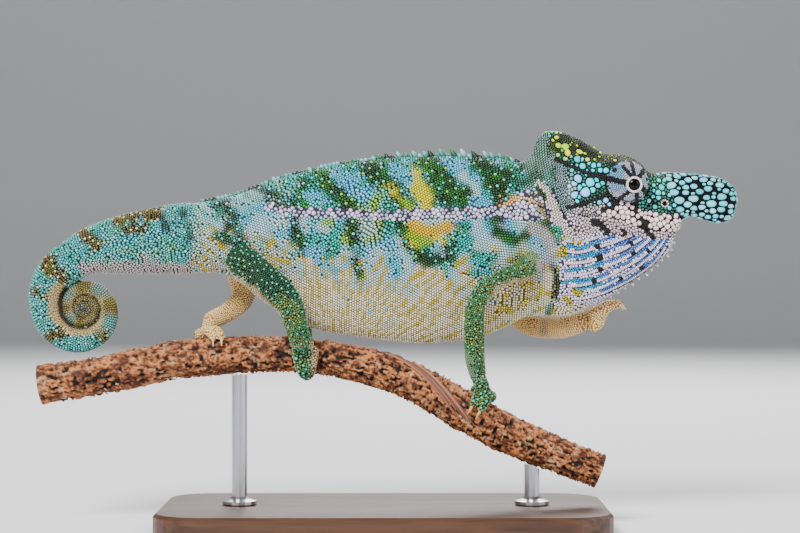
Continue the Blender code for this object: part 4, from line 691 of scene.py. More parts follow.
def trunk_lines():
    """The upper and the lower line of trunk and head, as x and z."""
    top = np.concatenate([np.array(TAIL_TOP), smooth_path(BACK), smooth_path(HORN_ROOT)])
    low = [smooth_path(line) for line in (UPPER_LIP, THROAT, BELLY)]
    low = np.concatenate(low + [np.array(TAIL_UNDER)])
    return top[np.argsort(top[:, 0], kind="stable")], low[np.argsort(low[:, 0], kind="stable")]


def trunk_form(step=0.42):
    """Trunk, neck, head and jaw in one, lying inside their solids by the coat's depth."""
    top, low = trunk_lines()
    xs = np.arange(-49.5, 77.3, step)
    rows = 110
    share = 0.5 - 0.5 * np.cos(np.pi * np.linspace(0.0, 1.0, rows))
    upper = np.interp(xs, top[:, 0], top[:, 1]) - COAT
    lower = np.interp(xs, low[:, 0], low[:, 1]) + COAT
    lower = np.minimum(lower, upper - 0.3)
    zs = upper[:, None] + (lower - upper)[:, None] * share
    grid = np.stack([np.repeat(xs[:, None], rows, axis=1), zs], axis=-1)
    widths = np.maximum(half_width(grid) - COAT, 0.06).reshape(len(xs), rows)
    near = np.stack([grid[..., 0], -widths, grid[..., 1]], axis=-1).reshape(-1, 3)
    far = near * np.array([1.0, -1.0, 1.0])
    half = len(near)
    i, j = np.meshgrid(np.arange(len(xs) - 1), np.arange(rows - 1), indexing="ij")
    a = (i * rows + j).ravel()
    quads = np.stack([a, a + rows, a + rows + 1, a + 1], axis=-1)
    faces = [tuple(q) for q in quads] + [tuple(q[::-1] + half) for q in quads]
    for i in range(len(xs) - 1):
        first = i * rows
        last = first + rows - 1
        faces.append((first, first + half, first + rows + half, first + rows))
        faces.append((last, last + rows, last + rows + half, last + half))
    for j in range(rows - 1):
        first = (len(xs) - 1) * rows + j
        faces.append((j, j + 1, j + 1 + half, j + half))
        faces.append((first, first + half, first + 1 + half, first + 1))
    places = np.stack([grid[..., 0].ravel(), grid[..., 1].ravel()], axis=-1)
    form = Form(np.vstack([near, far]), faces, PART["trunk"], np.vstack([places, places]))
    form.grid = (len(xs), rows)
    return form


def coil_half_depth(turn):
    return float(np.interp(turn, *zip(*COIL_HALF_DEPTHS)))


def coil_radius(turn):
    """The radius of the coil's middle line at this turn, so that each turn just clears the next."""
    if turn >= COIL_CORE_RADII[0][0]:
        return float(np.interp(turn, *zip(*COIL_CORE_RADII)))
    inner = turn + 1.0
    return coil_half_depth(turn) + coil_half_depth(inner) + GAP + coil_radius(inner)


def coil_point(turn):
    """A point of the coil's middle line; turn 0 is its left, and it runs down, right and up."""
    angle = np.pi + 2 * np.pi * turn
    radius = coil_radius(turn)
    return (COIL_CENTRE[0] + radius * math.cos(angle), COIL_CENTRE[1] + radius * math.sin(angle))


def coil_offset(flat, turns):
    """How far points in XZ lie from the coil's middle line, outwards, in half depths of the tail."""
    known = np.arange(COIL_START, COIL_END, 0.04)
    radii = np.interp(turns, known, [coil_radius(turn) for turn in known])
    halves = np.interp(turns, known, [coil_half_depth(turn) for turn in known])
    return (np.hypot(*(flat - np.array(COIL_CENTRE)).T) - radii) / halves


def tail_form(sides=40):
    """The whole tail with its coil; the place along it is the turn, below 0 before the coil."""
    joined = ((-45.5, 74.4, 8.4),) + TAIL + ((*coil_point(COIL_START), coil_half_depth(COIL_START)),)
    run = smooth_path(joined, 12)[:-1]
    lead = np.linspace(-1.0, COIL_START, len(run), endpoint=False)
    rows = [(turn, x, z, depth) for turn, (x, z, depth) in zip(lead, run)]
    turns = np.arange(COIL_START, COIL_END, 0.012)
    rows += [(turn, *coil_point(turn), coil_half_depth(turn)) for turn in turns]
    rows = np.array(rows)
    rows[:, 3] = np.maximum(rows[:, 3], np.interp(rows[:, 0], (2.2, 2.6), (0.0, COIL_CORE_DEPTH)))
    path = np.stack([rows[:, 1], np.zeros(len(rows)), rows[:, 2]], axis=-1)
    breadths = np.interp(rows[:, 0], *zip(*TAIL_BREADTHS))
    coats = np.interp(rows[:, 0], (0.3, 0.8), (COAT, COIL_COAT))
    frames = carried_frames(path, (0.0, 1.0, 0.0))
    rings = []
    for point, tail_frame, depth, breadth, coat in zip(path, frames, rows[:, 3], breadths, coats):
        rings.append(ring_points(point, tail_frame, max(depth - coat, 0.5 * depth), sides, breadth))
    form = loft(rings, PART["tail"])
    form.places[:-2, 0] = np.repeat(rows[:, 0], sides)
    form.places[-2:, 0] = (-1.0, COIL_END)
    return form


def limb_rings(stations, side, sides=28, per_span=8):
    rows = smooth_path(stations, per_span)
    rows[:, 1] *= side
    path = rows[:, :3]
    frames = carried_frames(path, (1.0, 0.0, 0.0))
    return [
        ring_points(point, limb_frame, radius, sides, LIMB_FLATTEN)
        for point, limb_frame, radius in zip(path, frames, rows[:, 3] - COAT)
    ]


def branch_at(x):
    """The branch's middle height, radius and slope at this x."""
    path = smooth_path(BRANCH)
    z = float(np.interp(x, path[:, 0], path[:, 1]))
    radius = float(np.interp(x, path[:, 0], path[:, 2]))
    rise = np.interp(x + 1.0, path[:, 0], path[:, 1]) - np.interp(x - 1.0, path[:, 0], path[:, 1])
    return z, radius, math.atan2(float(rise), 2.0)


def around_branch(x, angle, lift, shift=0.0):
    """A point beside the branch: angle from its top towards the right side, lift from its bark."""
    z, radius, slope = branch_at(x)
    ahead = np.array([math.cos(slope), 0.0, math.sin(slope)])
    up = np.array([-math.sin(slope), 0.0, math.cos(slope)])
    out = (radius + lift) * (math.cos(angle) * up + math.sin(angle) * np.array([0.0, -1.0, 0.0]))
    return np.array([x, 0.0, z]) + out + shift * ahead


def tube(path, radii, part, sides=18):
    """A closed tube along a 3-D path with a rounded end."""
    path = np.array(path)
    frames = carried_frames(path, (0.37, 0.61, 0.70))
    rings = [ring_points(p, f, r, sides) for p, f, r in zip(path, frames, radii)]
    ahead = unit(path[-1] - path[-2])
    for reach, size in ((0.4, 0.9), (0.7, 0.65)):
        rings.append(ring_points(path[-1] + ahead * reach * radii[-1], frames[-1], size * radii[-1], sides))
    return loft(rings, part, tip=path[-1] + ahead * 0.85 * radii[-1])


def palm_form(ring, ahead, centre, size, part):
    """The foot's core, from the leg's last ring to a rounded end under the toes."""
    start = ring.mean(axis=0)
    rings = [ring - ahead]
    for share, scale in ((0.0, 1.0), (0.5, 1.0), (1.0, 0.92), (1.25, 0.75), (1.4, 0.4)):
        rings.append(start + (centre - start) * share + (ring - start) * scale * size)
    return loft(rings, part)


def toe_paths(x, palm_angle, end_angle, shift, radius, spread, gather=0.0):
    """The middle line and radii of a toe on the branch, and the line of its claw."""
    steps = np.linspace(palm_angle, end_angle, 12)
    radii = np.linspace(radius, 0.72 * radius, len(steps))
    share = np.linspace(0.0, 1.0, len(steps))
    shifts = shift * (1.0 - gather * share**2) + spread * share
    path = [around_branch(x, math.radians(a), r + GAP, s) for a, r, s in zip(steps, radii, shifts)]
    turn = math.copysign(24.0, end_angle - palm_angle)
    claw = [
        around_branch(x, math.radians(end_angle + k * turn), radii[-1] * (1.1 - 0.45 * k) + GAP, shifts[-1])
        for k in np.linspace(-0.3, 1.0, 9)
    ]
    return path, radii, claw


def foot_parts(name, ring, ahead, part):
    """The forms of a grasping foot and the lines of its claws."""
    x, palm_angle, bundles = GRIPS[name]
    gather, shorter = GATHER.get(name, (0.0, 0.0))
    size = 0.85 * np.linalg.norm(ring[0] - ring.mean(axis=0))
    palm = around_branch(x, math.radians(palm_angle), size + 2 * GAP)
    forms = [palm_form(ring, ahead, palm, 0.9, part)]
    claws = []
    for end_angle, shifts, radius, spread in bundles:
        webs = [0.5 * (a + b) for a, b in zip(shifts, shifts[1:])]
        for shift in shifts:
            nearer = math.copysign(shorter * min(abs(shift) / 2.0, 1.0), end_angle - palm_angle)
            path, radii, claw = toe_paths(x, palm_angle, end_angle - nearer, shift, radius, spread, gather)
            forms.append(tube(path, radii - TOE_COAT, part))
            claws.append(claw)
        for shift in webs:
            webbed = palm_angle + 0.62 * (end_angle - palm_angle)
            path, radii, _ = toe_paths(x, palm_angle, webbed, shift, radius, 0.62 * spread, 0.4 * gather)
            forms.append(tube(path, radii - TOE_COAT, part))
    return forms, claws


def hand_parts(ring, ahead, part):
    """The forms of the raised hand and the lines of its claws."""
    forms = [palm_form(ring, ahead, np.array(HAND_PALM), 0.95, part)]
    claws = []
    for path, offsets, bend in HAND_TOES:
        line = smooth_path([(p[0], p[1]) for p in path], 4)
        radii = np.interp(np.linspace(0, 1, len(line)), np.linspace(0, 1, len(path)), [p[2] for p in path])
        places = list(offsets) + [0.5 * (a + b) for a, b in zip(offsets, offsets[1:])]
        for t, y in enumerate(places):
            webbed = t >= len(offsets)
            reach = 0.6 if webbed else 1.0 - 0.03 * t
            start = np.array([line[0, 0], y, line[0, 1]])
            points = [start + (np.array([p[0], y, p[1]]) - start) * reach for p in line]
            forms.append(tube(points, radii - TOE_COAT, part))
            if not webbed:
                tip = points[-1]
                claws.append([
                    tip + np.array([d * 0.9, 0.0, bend * d * d * 0.35]) for d in np.linspace(0.1, 2.1, 9)
                ])
    return forms, claws


def animal_forms():
    """Every form of the flesh, and the lines of all claws."""
    forms = [trunk_form(), tail_form()]
    claws = []
    legs = (
        (HIND_NEAR, NEAR, "hind_near", "hind_foot_right", "foot_near"),
        (HIND_FAR, FAR, "hind_far", "hind_foot_left", "foot_far"),
        (FORE_NEAR, NEAR, "fore_near", "forefoot_right", "foot_near"),
        (FORE_FAR, FAR, "fore_far", None, "foot_far"),
    )
    for stations, side, part, foot, foot_part in legs:
        rings = limb_rings(stations, side)
        forms.append(loft(rings, PART[part]))
        ahead = unit(rings[-1].mean(axis=0) - rings[-2].mean(axis=0))
        if foot:
            more, lines = foot_parts(foot, rings[-1], ahead, PART[foot_part])
        else:
            more, lines = hand_parts(rings[-1], ahead, PART[foot_part])
        forms += more
        claws += lines
    return forms, claws


# Meshes


def build_mesh(name, points, faces):
    """A mesh in metres from points in millimetres; faces are arrays of as many corners a row."""
    mesh = bpy.data.meshes.new(name)
    points = np.asarray(points, np.float32) * MM
    groups = [np.asarray(group, np.int32) for group in faces if len(group)]
    corners = np.concatenate([group.ravel() for group in groups])
    sizes = np.concatenate([np.full(len(group), group.shape[1], np.int32) for group in groups])
    mesh.vertices.add(len(points))
    mesh.vertices.foreach_set("co", points.ravel())
    mesh.loops.add(len(corners))
    mesh.loops.foreach_set("vertex_index", corners)
    mesh.polygons.add(len(sizes))
    mesh.polygons.foreach_set("loop_start", np.concatenate([[0], np.cumsum(sizes)[:-1]]).astype(np.int32))
    mesh.update(calc_edges=True)
    mesh.shade_smooth()
    return mesh


def form_faces(form, offset=0):
    """A form's quads and its triangles, as arrays, with its points numbered from the offset."""
    groups = [[face for face in form.faces if len(face) == corners] for corners in (4, 3)]
    return [np.array(group) + offset for group in groups if group]


def joined_mesh(name, forms):
    """All forms in one mesh."""
    faces = []
    offset = 0
    for form in forms:
        faces += form_faces(form, offset)
        offset += len(form.points)
    return build_mesh(name, np.concatenate([form.points for form in forms]), faces)


def coloured_piece(name, forms, colours, material):
    """One piece of many forms, each with its own colours."""
    mesh = joined_mesh(name, forms)
    set_colours(mesh, np.clip(np.concatenate(colours), 0.0, 1.0))
    add_piece(name, mesh, material)


def add_piece(name, mesh, material, replaced=()):
    """Links a piece, gives it its material, hangs it on the root and hides the solids it replaces."""
    mesh.materials.append(material)
    piece = bpy.data.objects.new(name, mesh)
    bpy.context.scene.collection.objects.link(piece)
    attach(piece, "root")
    if replaced:
        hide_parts(*replaced)
    return piece


def fused_skin(forms, voxel, rounds):
    """One surface round all the forms, remeshed and smoothed."""
    helper = bpy.data.objects.new("skin_forms", joined_mesh("skin_forms", forms))
    bpy.context.scene.collection.objects.link(helper)
    remesh = helper.modifiers.new("Remesh", "REMESH")
    remesh.mode = "VOXEL"
    remesh.voxel_size = voxel * MM
    smooth = helper.modifiers.new("Smooth", "SMOOTH")
    smooth.factor = 0.5
    smooth.iterations = rounds
    bpy.context.view_layer.update()
    graph = bpy.context.evaluated_depsgraph_get()
    mesh = bpy.data.meshes.new_from_object(helper.evaluated_get(graph))
    bpy.data.objects.remove(helper)
    mesh.shade_smooth()
    return mesh


def mesh_arrays(mesh):
    """Points in millimetres, triangles and point normals of a mesh."""
    mesh.calc_loop_triangles()
    points = np.empty(len(mesh.vertices) * 3, np.float32)
    mesh.vertices.foreach_get("co", points)
    triangles = np.empty(len(mesh.loop_triangles) * 3, np.int32)
    mesh.loop_triangles.foreach_get("vertices", triangles)
    normals = np.empty(len(mesh.vertices) * 3, np.float32)
    mesh.vertices.foreach_get("normal", normals)
    return points.reshape(-1, 3) / MM, triangles.reshape(-1, 3), normals.reshape(-1, 3)


def tree_of(points):
    tree = KDTree(len(points))
    for number, point in enumerate(points):
        tree.insert(point, number)
    tree.balance()
    return tree


def set_colours(mesh, colours):
    layer = mesh.color_attributes.new("Markings", "FLOAT_COLOR", "POINT")
    values = np.ones((len(colours), 4), np.float32)
    values[:, :3] = colours
    layer.data.foreach_set("color", values.ravel())


def set_bake_map(mesh, places):
    """The OFBake map from one place for each point."""
    layer = mesh.uv_layers.new(name="OFBake")
    corners = np.empty(len(mesh.loops), np.int32)
    mesh.loops.foreach_get("vertex_index", corners)
    layer.data.foreach_set("uv", places[corners].astype(np.float32).ravel())


def linear(colour):
    """Linear values of a colour given from 0 to 255."""
    value = np.asarray(colour, float) / 255.0
    return np.where(value <= 0.04045, value / 12.92, ((value + 0.055) / 1.055) ** 2.4)


def lattice(points, seed):
    """A repeatable value from 0 to 1 at whole-number points."""
    cell = points.astype(np.int64)
    mixed = cell[:, 0] * 73856093 ^ cell[:, 1] * 19349663 ^ cell[:, 2] * 83492791 ^ seed * 2654435761
    mixed = (mixed ^ (mixed >> 13)) * 1274126177
    return ((mixed ^ (mixed >> 16)) & 0xFFFF) / 65535.0


def noise(points, size, seed=1):
    """Smooth value noise from 0 to 1; size is the width of one bump."""
    at = np.asarray(points, float) / size
    cell = np.floor(at)
    part = at - cell
    part = part * part * (3.0 - 2.0 * part)
    total = np.zeros(len(at))
    for corner in range(8):
        bits = np.array([corner & 1, corner >> 1 & 1, corner >> 2 & 1])
        weight = np.prod(np.where(bits, part, 1.0 - part), axis=1)
        total += weight * lattice(cell + bits, seed)
    return total


# Where a point of the skin lies


class Places:
    """Points of the skin with their normals, part of the body, place on it and form number."""

    def __init__(self, xyz, normals, part, place, form):
        self.xyz = xyz
        self.normals = normals
        self.part = part
        self.place = place
        self.form = form

    def pick(self, chosen):
        """The chosen ones of these places."""
        every = (self.xyz, self.normals, self.part, self.place, self.form)
        return Places(*(values[chosen] for values in every))


def locate(points, normals, forms):
    """Each point's part of the body and place on it, from the nearest point of the forms."""
    sources = np.concatenate([form.points for form in forms])
    parts = np.concatenate([np.full(len(form.points), form.part) for form in forms])
    places = np.concatenate([form.places for form in forms])
    numbers = np.concatenate([np.full(len(form.points), k) for k, form in enumerate(forms)])
    tree = tree_of(sources)
    nearest = np.array([tree.find(point)[1] for point in points.tolist()])
    part = parts[nearest].copy()
    head = (part == PART["trunk"]) & (points[:, 0] > nape_x(points[:, 2]))
    part[head] = PART["head"]
    return Places(points, normals, part, places[nearest], numbers[nearest])


def nape_x(z):
    """The x of the fold that parts head from neck, at this height."""
    return np.interp(z, (54.0, 78.0, 101.0), (44.3, 46.0, 41.5))


# Markings


# Of each kind of scale: least and greatest radius, gap to its neighbours, height, distance to its like.
GRAIN = {
    "turquoise": (0.30, 0.38, 0.04, 0.20, 0.0),
    "jade": (0.30, 0.38, 0.04, 0.20, 0.0),
    "sky": (0.30, 0.38, 0.04, 0.21, 0.0),
    "pale": (0.30, 0.38, 0.04, 0.21, 0.0),
    "dark_green": (0.26, 0.36, 0.05, 0.20, 0.0),
    "dark_brown": (0.28, 0.38, 0.05, 0.20, 0.0),
    "yellow": (0.32, 0.42, 0.05, 0.24, 0.0),
    "orange": (0.32, 0.42, 0.04, 0.24, 0.0),
    "stripe": (0.38, 0.56, 0.06, 0.28, 0.0),
    "belly": (0.34, 0.44, 0.07, 0.26, 0.0),
    "olive": (0.26, 0.34, 0.05, 0.18, 0.0),
    "teal_leg": (0.24, 0.32, 0.04, 0.18, 0.0),
    "teal_dot": (0.32, 0.38, 0.04, 0.24, 1.15),
    "tan": (0.24, 0.32, 0.04, 0.18, 0.0),
    "pale_tan": (0.24, 0.32, 0.04, 0.18, 0.0),
    "tail": (0.28, 0.36, 0.05, 0.20, 0.0),
    "tail_dot": (0.36, 0.44, 0.05, 0.26, 1.5),
    "olive_band": (0.28, 0.36, 0.05, 0.20, 0.0),
    "cream_dot": (0.36, 0.46, 0.05, 0.26, 1.35),
    "coil": (0.15, 0.2, 0.03, 0.08, 0.0),
    "coil_olive": (0.15, 0.2, 0.03, 0.08, 0.0),
    "coil_blue": (0.16, 0.22, 0.03, 0.1, 0.0),
    "coil_cream": (0.15, 0.2, 0.02, 0.07, 0.0),
    "coil_groove_shade": (0.15, 0.18, 0.02, 0.04, 0.0),
    "tail_under": (0.26, 0.32, 0.04, 0.18, 0.0),
    "grey": (0.20, 0.26, 0.04, 0.14, 0.0),
    "nape": (0.22, 0.30, 0.04, 0.16, 0.0),
    "casque": (0.28, 0.42, 0.36, 0.28, 0.0),
    "casque_edge": (0.26, 0.38, 0.24, 0.24, 0.0),
    "plate_blue": (0.40, 0.50, 0.26, 0.26, 0.0),
    "plate_turquoise": (0.28, 0.44, 0.24, 0.26, 0.0),
    "cheek": (0.34, 0.5, 0.12, 0.22, 0.0),
    "snout": (0.28, 0.46, 0.24, 0.25, 0.0),
    "lip": (0.48, 0.68, 0.12, 0.22, 0.0),
    "lip_back": (0.26, 0.44, 0.05, 0.18, 0.0),
    "throat": (0.28, 0.38, 0.05, 0.22, 0.0),
    "blue": (0.22, 0.28, 0.03, 0.12, 0.0),
    "turquoise_blue": (0.22, 0.28, 0.03, 0.12, 0.0),
    "black": (0.20, 0.30, 0.05, 0.12, 0.0),
    "yellow_white": (0.28, 0.38, 0.04, 0.22, 0.0),
    "flank_dot": (0.38, 0.44, 0.05, 0.26, 2.3),
    "green_dot": (0.36, 0.42, 0.05, 0.24, 1.7),
    "lime": (0.30, 0.38, 0.05, 0.22, 0.0),
    "thigh": (0.24, 0.32, 0.04, 0.16, 0.0),
    "peach": (0.28, 0.38, 0.05, 0.20, 0.0),
    "neck_band": (0.24, 0.34, 0.05, 0.18, 0.0),
    "ochre": (0.26, 0.34, 0.05, 0.18, 0.0),
    "sage": (0.24, 0.32, 0.05, 0.16, 0.0),
    "pale_dot": (0.42, 0.48, 0.05, 0.26, 1.35),
    "casque_fill": (0.18, 0.26, 0.05, 0.12, 0.0),
    "crest_rim": (0.20, 0.32, 0.06, 0.16, 0.0),
    "cheek_fill": (0.26, 0.42, 0.06, 0.18, 0.0),
    "snout_fill": (0.3, 0.48, 0.12, 0.2, 0.0),
    "turret": (0.18, 0.24, 0.04, 0.13, 0.0),
    "turret_blue": (0.18, 0.24, 0.04, 0.13, 0.0),
    "turret_lilac": (0.18, 0.24, 0.04, 0.13, 0.0),
    "horn": (0.45, 0.95, 0.16, 0.36, 0.0),
    "lid": (0.20, 0.26, 0.04, 0.10, 0.0),
}
# Corner and size of the unwraps of trunk, head and tail, as x and z, and the edge left free round a map.
TRUNK_MAP = ((-52.0, 45.0), (99.0, 52.0))
HEAD_MAP = ((40.0, 52.0), (39.0, 51.5))
TAIL_MAP = ((-93.0, 43.0), (50.0, 42.0))
MAP_EDGE = 0.003
PALETTE_NAMES = tuple(PALETTES)
PALETTE = {name: number for number, name in enumerate(PALETTE_NAMES)}


def evened(values):
    """Noise values spread evenly from 0 to 1."""
    return 1.0 / (1.0 + np.exp((0.5 - values) / 0.1))


class Painter:
    """Chooses a palette for each place: base mixtures first, then the markings over them."""

    def __init__(self, places, draw):
        self.at = places
        self.draw = draw
        self.flat = places.xyz[:, [0, 2]]
        self.ragged = noise(places.xyz, 1.7, 7) - 0.5
        self.patchy = noise(places.xyz, 3.4, 11)
        self.edge = 0.65 * evened(noise(places.xyz, 1.5, 17)) + 0.35 * draw[:, 0]
        self.chosen = np.full(len(places.part), PALETTE["turquoise"])

    def put(self, name, where):
        """Gives every place under a mask this palette."""
        self.chosen[where] = PALETTE[name]

    def mix(self, where, shares, draw):
        """Gives each place under a mask one of several palettes, in these shares."""
        edges = np.cumsum([share for _, share in shares])
        edges = edges / edges[-1]
        number = np.searchsorted(edges, np.clip(draw, 0.0, 0.999999))
        for k, (name, _) in enumerate(shares):
            self.put(name, where & (number == k))

    def strokes(self, table, where):
        """Every marking of one table."""
        for name, line, breadth, softness, strength in table:
            self.stroke(name, path_of(line), breadth, softness, strength, where)

    def stroke(self, name, path, breadth, softness, strength, where):
        """One marking along a path, with a ragged, soft edge."""
        reach = breadth + 2.0 * softness
        low = path.min(axis=0) - reach
        high = path.max(axis=0) + reach
        inside = where & (self.flat > low).all(axis=1) & (self.flat < high).all(axis=1)
        rows = np.flatnonzero(inside)
        if not len(rows):
            return
        away = distance_to_path(self.flat[rows], path) + softness * 1.2 * self.ragged[rows]
        weight = strength * np.clip((breadth + 0.5 * softness - away) / softness, 0.0, 1.0)
        self.chosen[rows[self.edge[rows] < weight]] = PALETTE[name]

    def paint(self):
        """The palette of every place: trunk, head, tail and legs, then what runs across their borders."""
        x, z = self.flat.T
        part = self.at.part
        trunk = part == PART["trunk"]
        head = part == PART["head"]
        stripe = np.interp(x, *zip(*STRIPE_LINE))
        bottom = np.interp(x, *zip(*sorted(BELLY)))
        depth = (stripe - z) / np.maximum(stripe - bottom, 1.0) + 0.35 * (self.patchy - 0.5)
        drift = evened(noise(self.at.xyz * (1.0, 1.0, 0.7), 3.0, 41))
        pick = 0.76 * drift + 0.24 * self.draw[:, 1]
        upper = trunk & (z >= stripe)
        lower = trunk & (z < stripe)
        self.mix(upper, UPPER_MIX, pick)
        for from_depth, shares in LOWER_MIXES:
            self.mix(lower & (depth > from_depth), shares, pick)
        turn = np.arctan2(z - STREAK_FAN[1], x - STREAK_FAN[0]) / STREAK_ANGLE
        streak = np.sin(2 * np.pi * (turn + 1.1 * (self.patchy - 0.5))) + 1.1 * (self.draw[:, 0] - 0.5)
        self.put("olive", lower & (depth > 0.4) & (streak > 0.62 - 0.5 * self.ragged))
        hip = trunk & (x < -23.0 + 4.0 * self.ragged) & (z > 62.0 + 4.0 * self.ragged)
        self.mix(hip & (z > 78.0 + 6.0 * self.ragged), (("turquoise", 0.7), ("sage", 0.3)), pick)
        self.mix(hip & (z <= 78.0 + 6.0 * self.ragged), (("sage", 0.6), ("olive", 0.4)), pick)
        streak = np.sin(2 * np.pi * ((0.53 * x + 0.85 * z) / HIP_STREAK_GAP + 0.8 * (self.patchy - 0.5)))
        streak = streak + self.draw[:, 0] - 0.5
        self.put("pale", hip & (z < 87.0 + 4.0 * self.ragged) & (streak > -0.1))
        self.put("pale_dot", hip & (self.draw[:, 2] < 0.3) & (z < 76.0))
        self.strokes(LOWER_MARKS, lower)
        self.strokes(UPPER_MARKS, trunk)
        nape = trunk & (x > 36.5) & (z > 85.0)
        self.mix(nape, (("nape", 0.85), ("turquoise", 0.15)), pick)
        breadth = np.interp(x, *zip(*STRIPE_BREADTHS)) + 0.5 * self.ragged
        self.put("stripe", trunk & (x > -30.0) & (np.abs(z - stripe) < breadth) & (self.draw[:, 0] < 0.93))
        self.dots(trunk)
        self.paint_head(head, x, z, pick)
        self.paint_tail(part == PART["tail"], pick)
        self.paint_legs(part, pick)
        self.strokes(NECK_MARKS, trunk | head)
        self.paint_joints(part)
        return self.chosen

    def dots(self, trunk):
        """Single large scales among the small ones."""
        often = self.draw[:, 2] < 0.3
        light = np.isin(self.chosen, [PALETTE[name] for name in ("turquoise", "jade", "sky", "dark_brown")])
        dark = self.chosen == PALETTE["dark_green"]
        self.put("flank_dot", trunk & often & light)
        self.put("green_dot", trunk & often & dark)

    def paint_head(self, head, x, z, pick):
        """Casque, cheek, snout and lips above the mouth, the ridged throat below it."""
        mouth = np.interp(x, *zip(*sorted(MOUTH)))
        above = head & (z >= mouth)
        below = head & (z < mouth)
        self.put("grey", above)
        cheek = above & (x > 47.0) & (x < 59.0) & (z > 81.5) & (z < 93.5)
        self.mix(cheek, (("cheek_fill", 0.5), ("cheek", 0.5)), pick)
        self.put("snout_fill", above & (x > 59.0))
        self.put("black", above & (np.hypot(x - EYE[0], z - EYE[1]) < TURRET_RADIUS + 0.5))
        self.strokes(HEAD_MARKS, above)
        self.put("throat", below)
        self.mix(below & (z < 57.0), (("belly", 0.8), ("olive", 0.2)), pick)
        for groove in THROAT_GROOVES:
            path = smooth_path(groove)
            self.stroke("blue", path, 0.42, 0.25, 1.0, below)
            self.stroke("turquoise_blue", path, 0.5, 0.25, 1.0, below & (x < 56.0 + 2.5 * self.ragged))
        self.strokes(JAW_MARKS, below)
        for spot_x, spot_z, radius in BLACK_SPOTS:
            self.stroke("black", np.array([(spot_x, spot_z)]), radius, 0.35, 1.0, below)

    def paint_tail(self, tail, pick):
        """Pale blue with olive bands, then the duller coil, pale inside, with painted shade between its turns and
        over its innermost end.
        """
        turn = self.at.place[:, 0]
        self.mix(tail, (("tail", 0.86), ("turquoise", 0.14)), pick)
        self.put("tail_under", tail & (turn < -0.25) & (self.at.normals[:, 2] < -0.45 + 0.5 * self.ragged))
        self.strokes(TAIL_MARKS, tail)
        wound = tail & (turn > 0.42 + 0.25 * self.ragged)
        bands = np.sin(2 * np.pi * COIL_BANDS * turn) + 1.2 * (self.patchy - 0.5)
        self.mix(wound, (("coil", 0.84), ("coil_blue", 0.16)), pick)
        self.put("coil_blue", wound & (turn < 1.15) & (bands < -0.3))
        self.put("coil_olive", wound & (bands > 0.35))
        often = self.draw[:, 2] < 0.35
        self.put("tail_dot", tail & often & (turn < 0.4) & (self.chosen == PALETTE["tail"]))
        self.put("cream_dot", tail & often & (turn < 0.4) & (self.chosen == PALETTE["olive_band"]))
        coil = tail & (turn > -0.12)
        across = coil_offset(self.flat, turn)
        self.put("coil_cream", coil & (turn < 1.1) & (across < -0.45 - 0.5 * self.ragged))
        # Painted shade where the turns press on each other, and over the coil's innermost end.
        groove = (across < -np.interp(turn, (1.5, 2.1), (0.84, 0.5))) | ((across > 0.9) & (turn > 0.85))
        self.put("coil_groove_shade", coil & (groove | (turn > 3.0)))

    def paint_joints(self, part):
        """Where trunk and near legs meet, the markings run on from one to the other."""
        both = np.isin(part, [PART["trunk"], PART["hind_near"], PART["fore_near"]])
        self.strokes(JOINT_MARKS, both)
        self.put("teal_dot", both & (self.draw[:, 2] < 0.4) & (self.chosen == PALETTE["thigh"]))

    def paint_legs(self, part, pick):
        """Teal with bright dots outside, tan inside and underneath."""
        near = np.isin(part, [PART["hind_near"], PART["fore_near"], PART["foot_near"]])
        far = np.isin(part, [PART["hind_far"], PART["fore_far"], PART["foot_far"]])
        outward = np.where(near, -self.at.normals[:, 1], self.at.normals[:, 1])
        inner = outward < np.where(near, -0.35, 0.15) + 0.4 * self.ragged
        self.mix(near | far, (("teal_leg", 0.94), ("turquoise", 0.06)), pick)
        self.put("thigh", (part == PART["hind_near"]) & (self.flat[:, 1] > 58.5 + 5.0 * self.ragged))
        self.put("teal_dot", (near | far) & (self.draw[:, 2] < 0.5))
        self.mix((near | far) & inner, (("tan", 0.8), ("pale_tan", 0.2)), pick)
        hind_foot = (part == PART["foot_near"]) & (self.flat[:, 0] < 0.0)
        toes = hind_foot & (self.flat[:, 0] > -18.6 + 0.8 * self.ragged)
        self.mix(toes, (("pale_tan", 0.8), ("teal_leg", 0.2)), pick)
        self.mix(part == PART["foot_far"], (("tan", 0.85), ("pale_tan", 0.15)), pick)
        shin = (part == PART["hind_near"]) & (self.at.normals[:, 2] < -0.5)
        self.mix(shin, (("pale_tan", 0.6), ("teal_leg", 0.4)), pick)


def palette_table(of_skin):
    """Linear colours of all palettes: the skin's, or up to six of the scales."""
    rows = []
    for seam, colours in PALETTES.values():
        rows.append(linear(seam) if of_skin else linear([colours[k % len(colours)] for k in range(6)]))
    return vivid(np.array(rows))


def vivid(colour):
    """A stronger tone of a linear colour."""
    grey = (colour * (0.2126, 0.7152, 0.0722)).sum(axis=-1, keepdims=True)
    return np.clip(grey + (colour - grey) * VIVID, 0.004, 1.0)


def skin_colours(places):
    """The skin's colour at each place: what shows between the scales, with the same markings."""
    steady = np.full((len(places.part), 3), 0.5)
    steady[:, 2] = 1.0
    chosen = Painter(places, steady).paint()
    shade = 0.8 + 0.4 * noise(places.xyz, 0.9, 3)
    return palette_table(True)[chosen] * shade[:, None]


# Scattering scales


RADIUS_LEAST, RADIUS_MOST, SCALE_GAP, SCALE_RISE, SCALE_SPREAD = range(5)


def grain_of(chosen, column):
    """One column of the table of grain, for each scale's palette."""
    return np.array([GRAIN[name][column] for name in PALETTE_NAMES])[chosen]


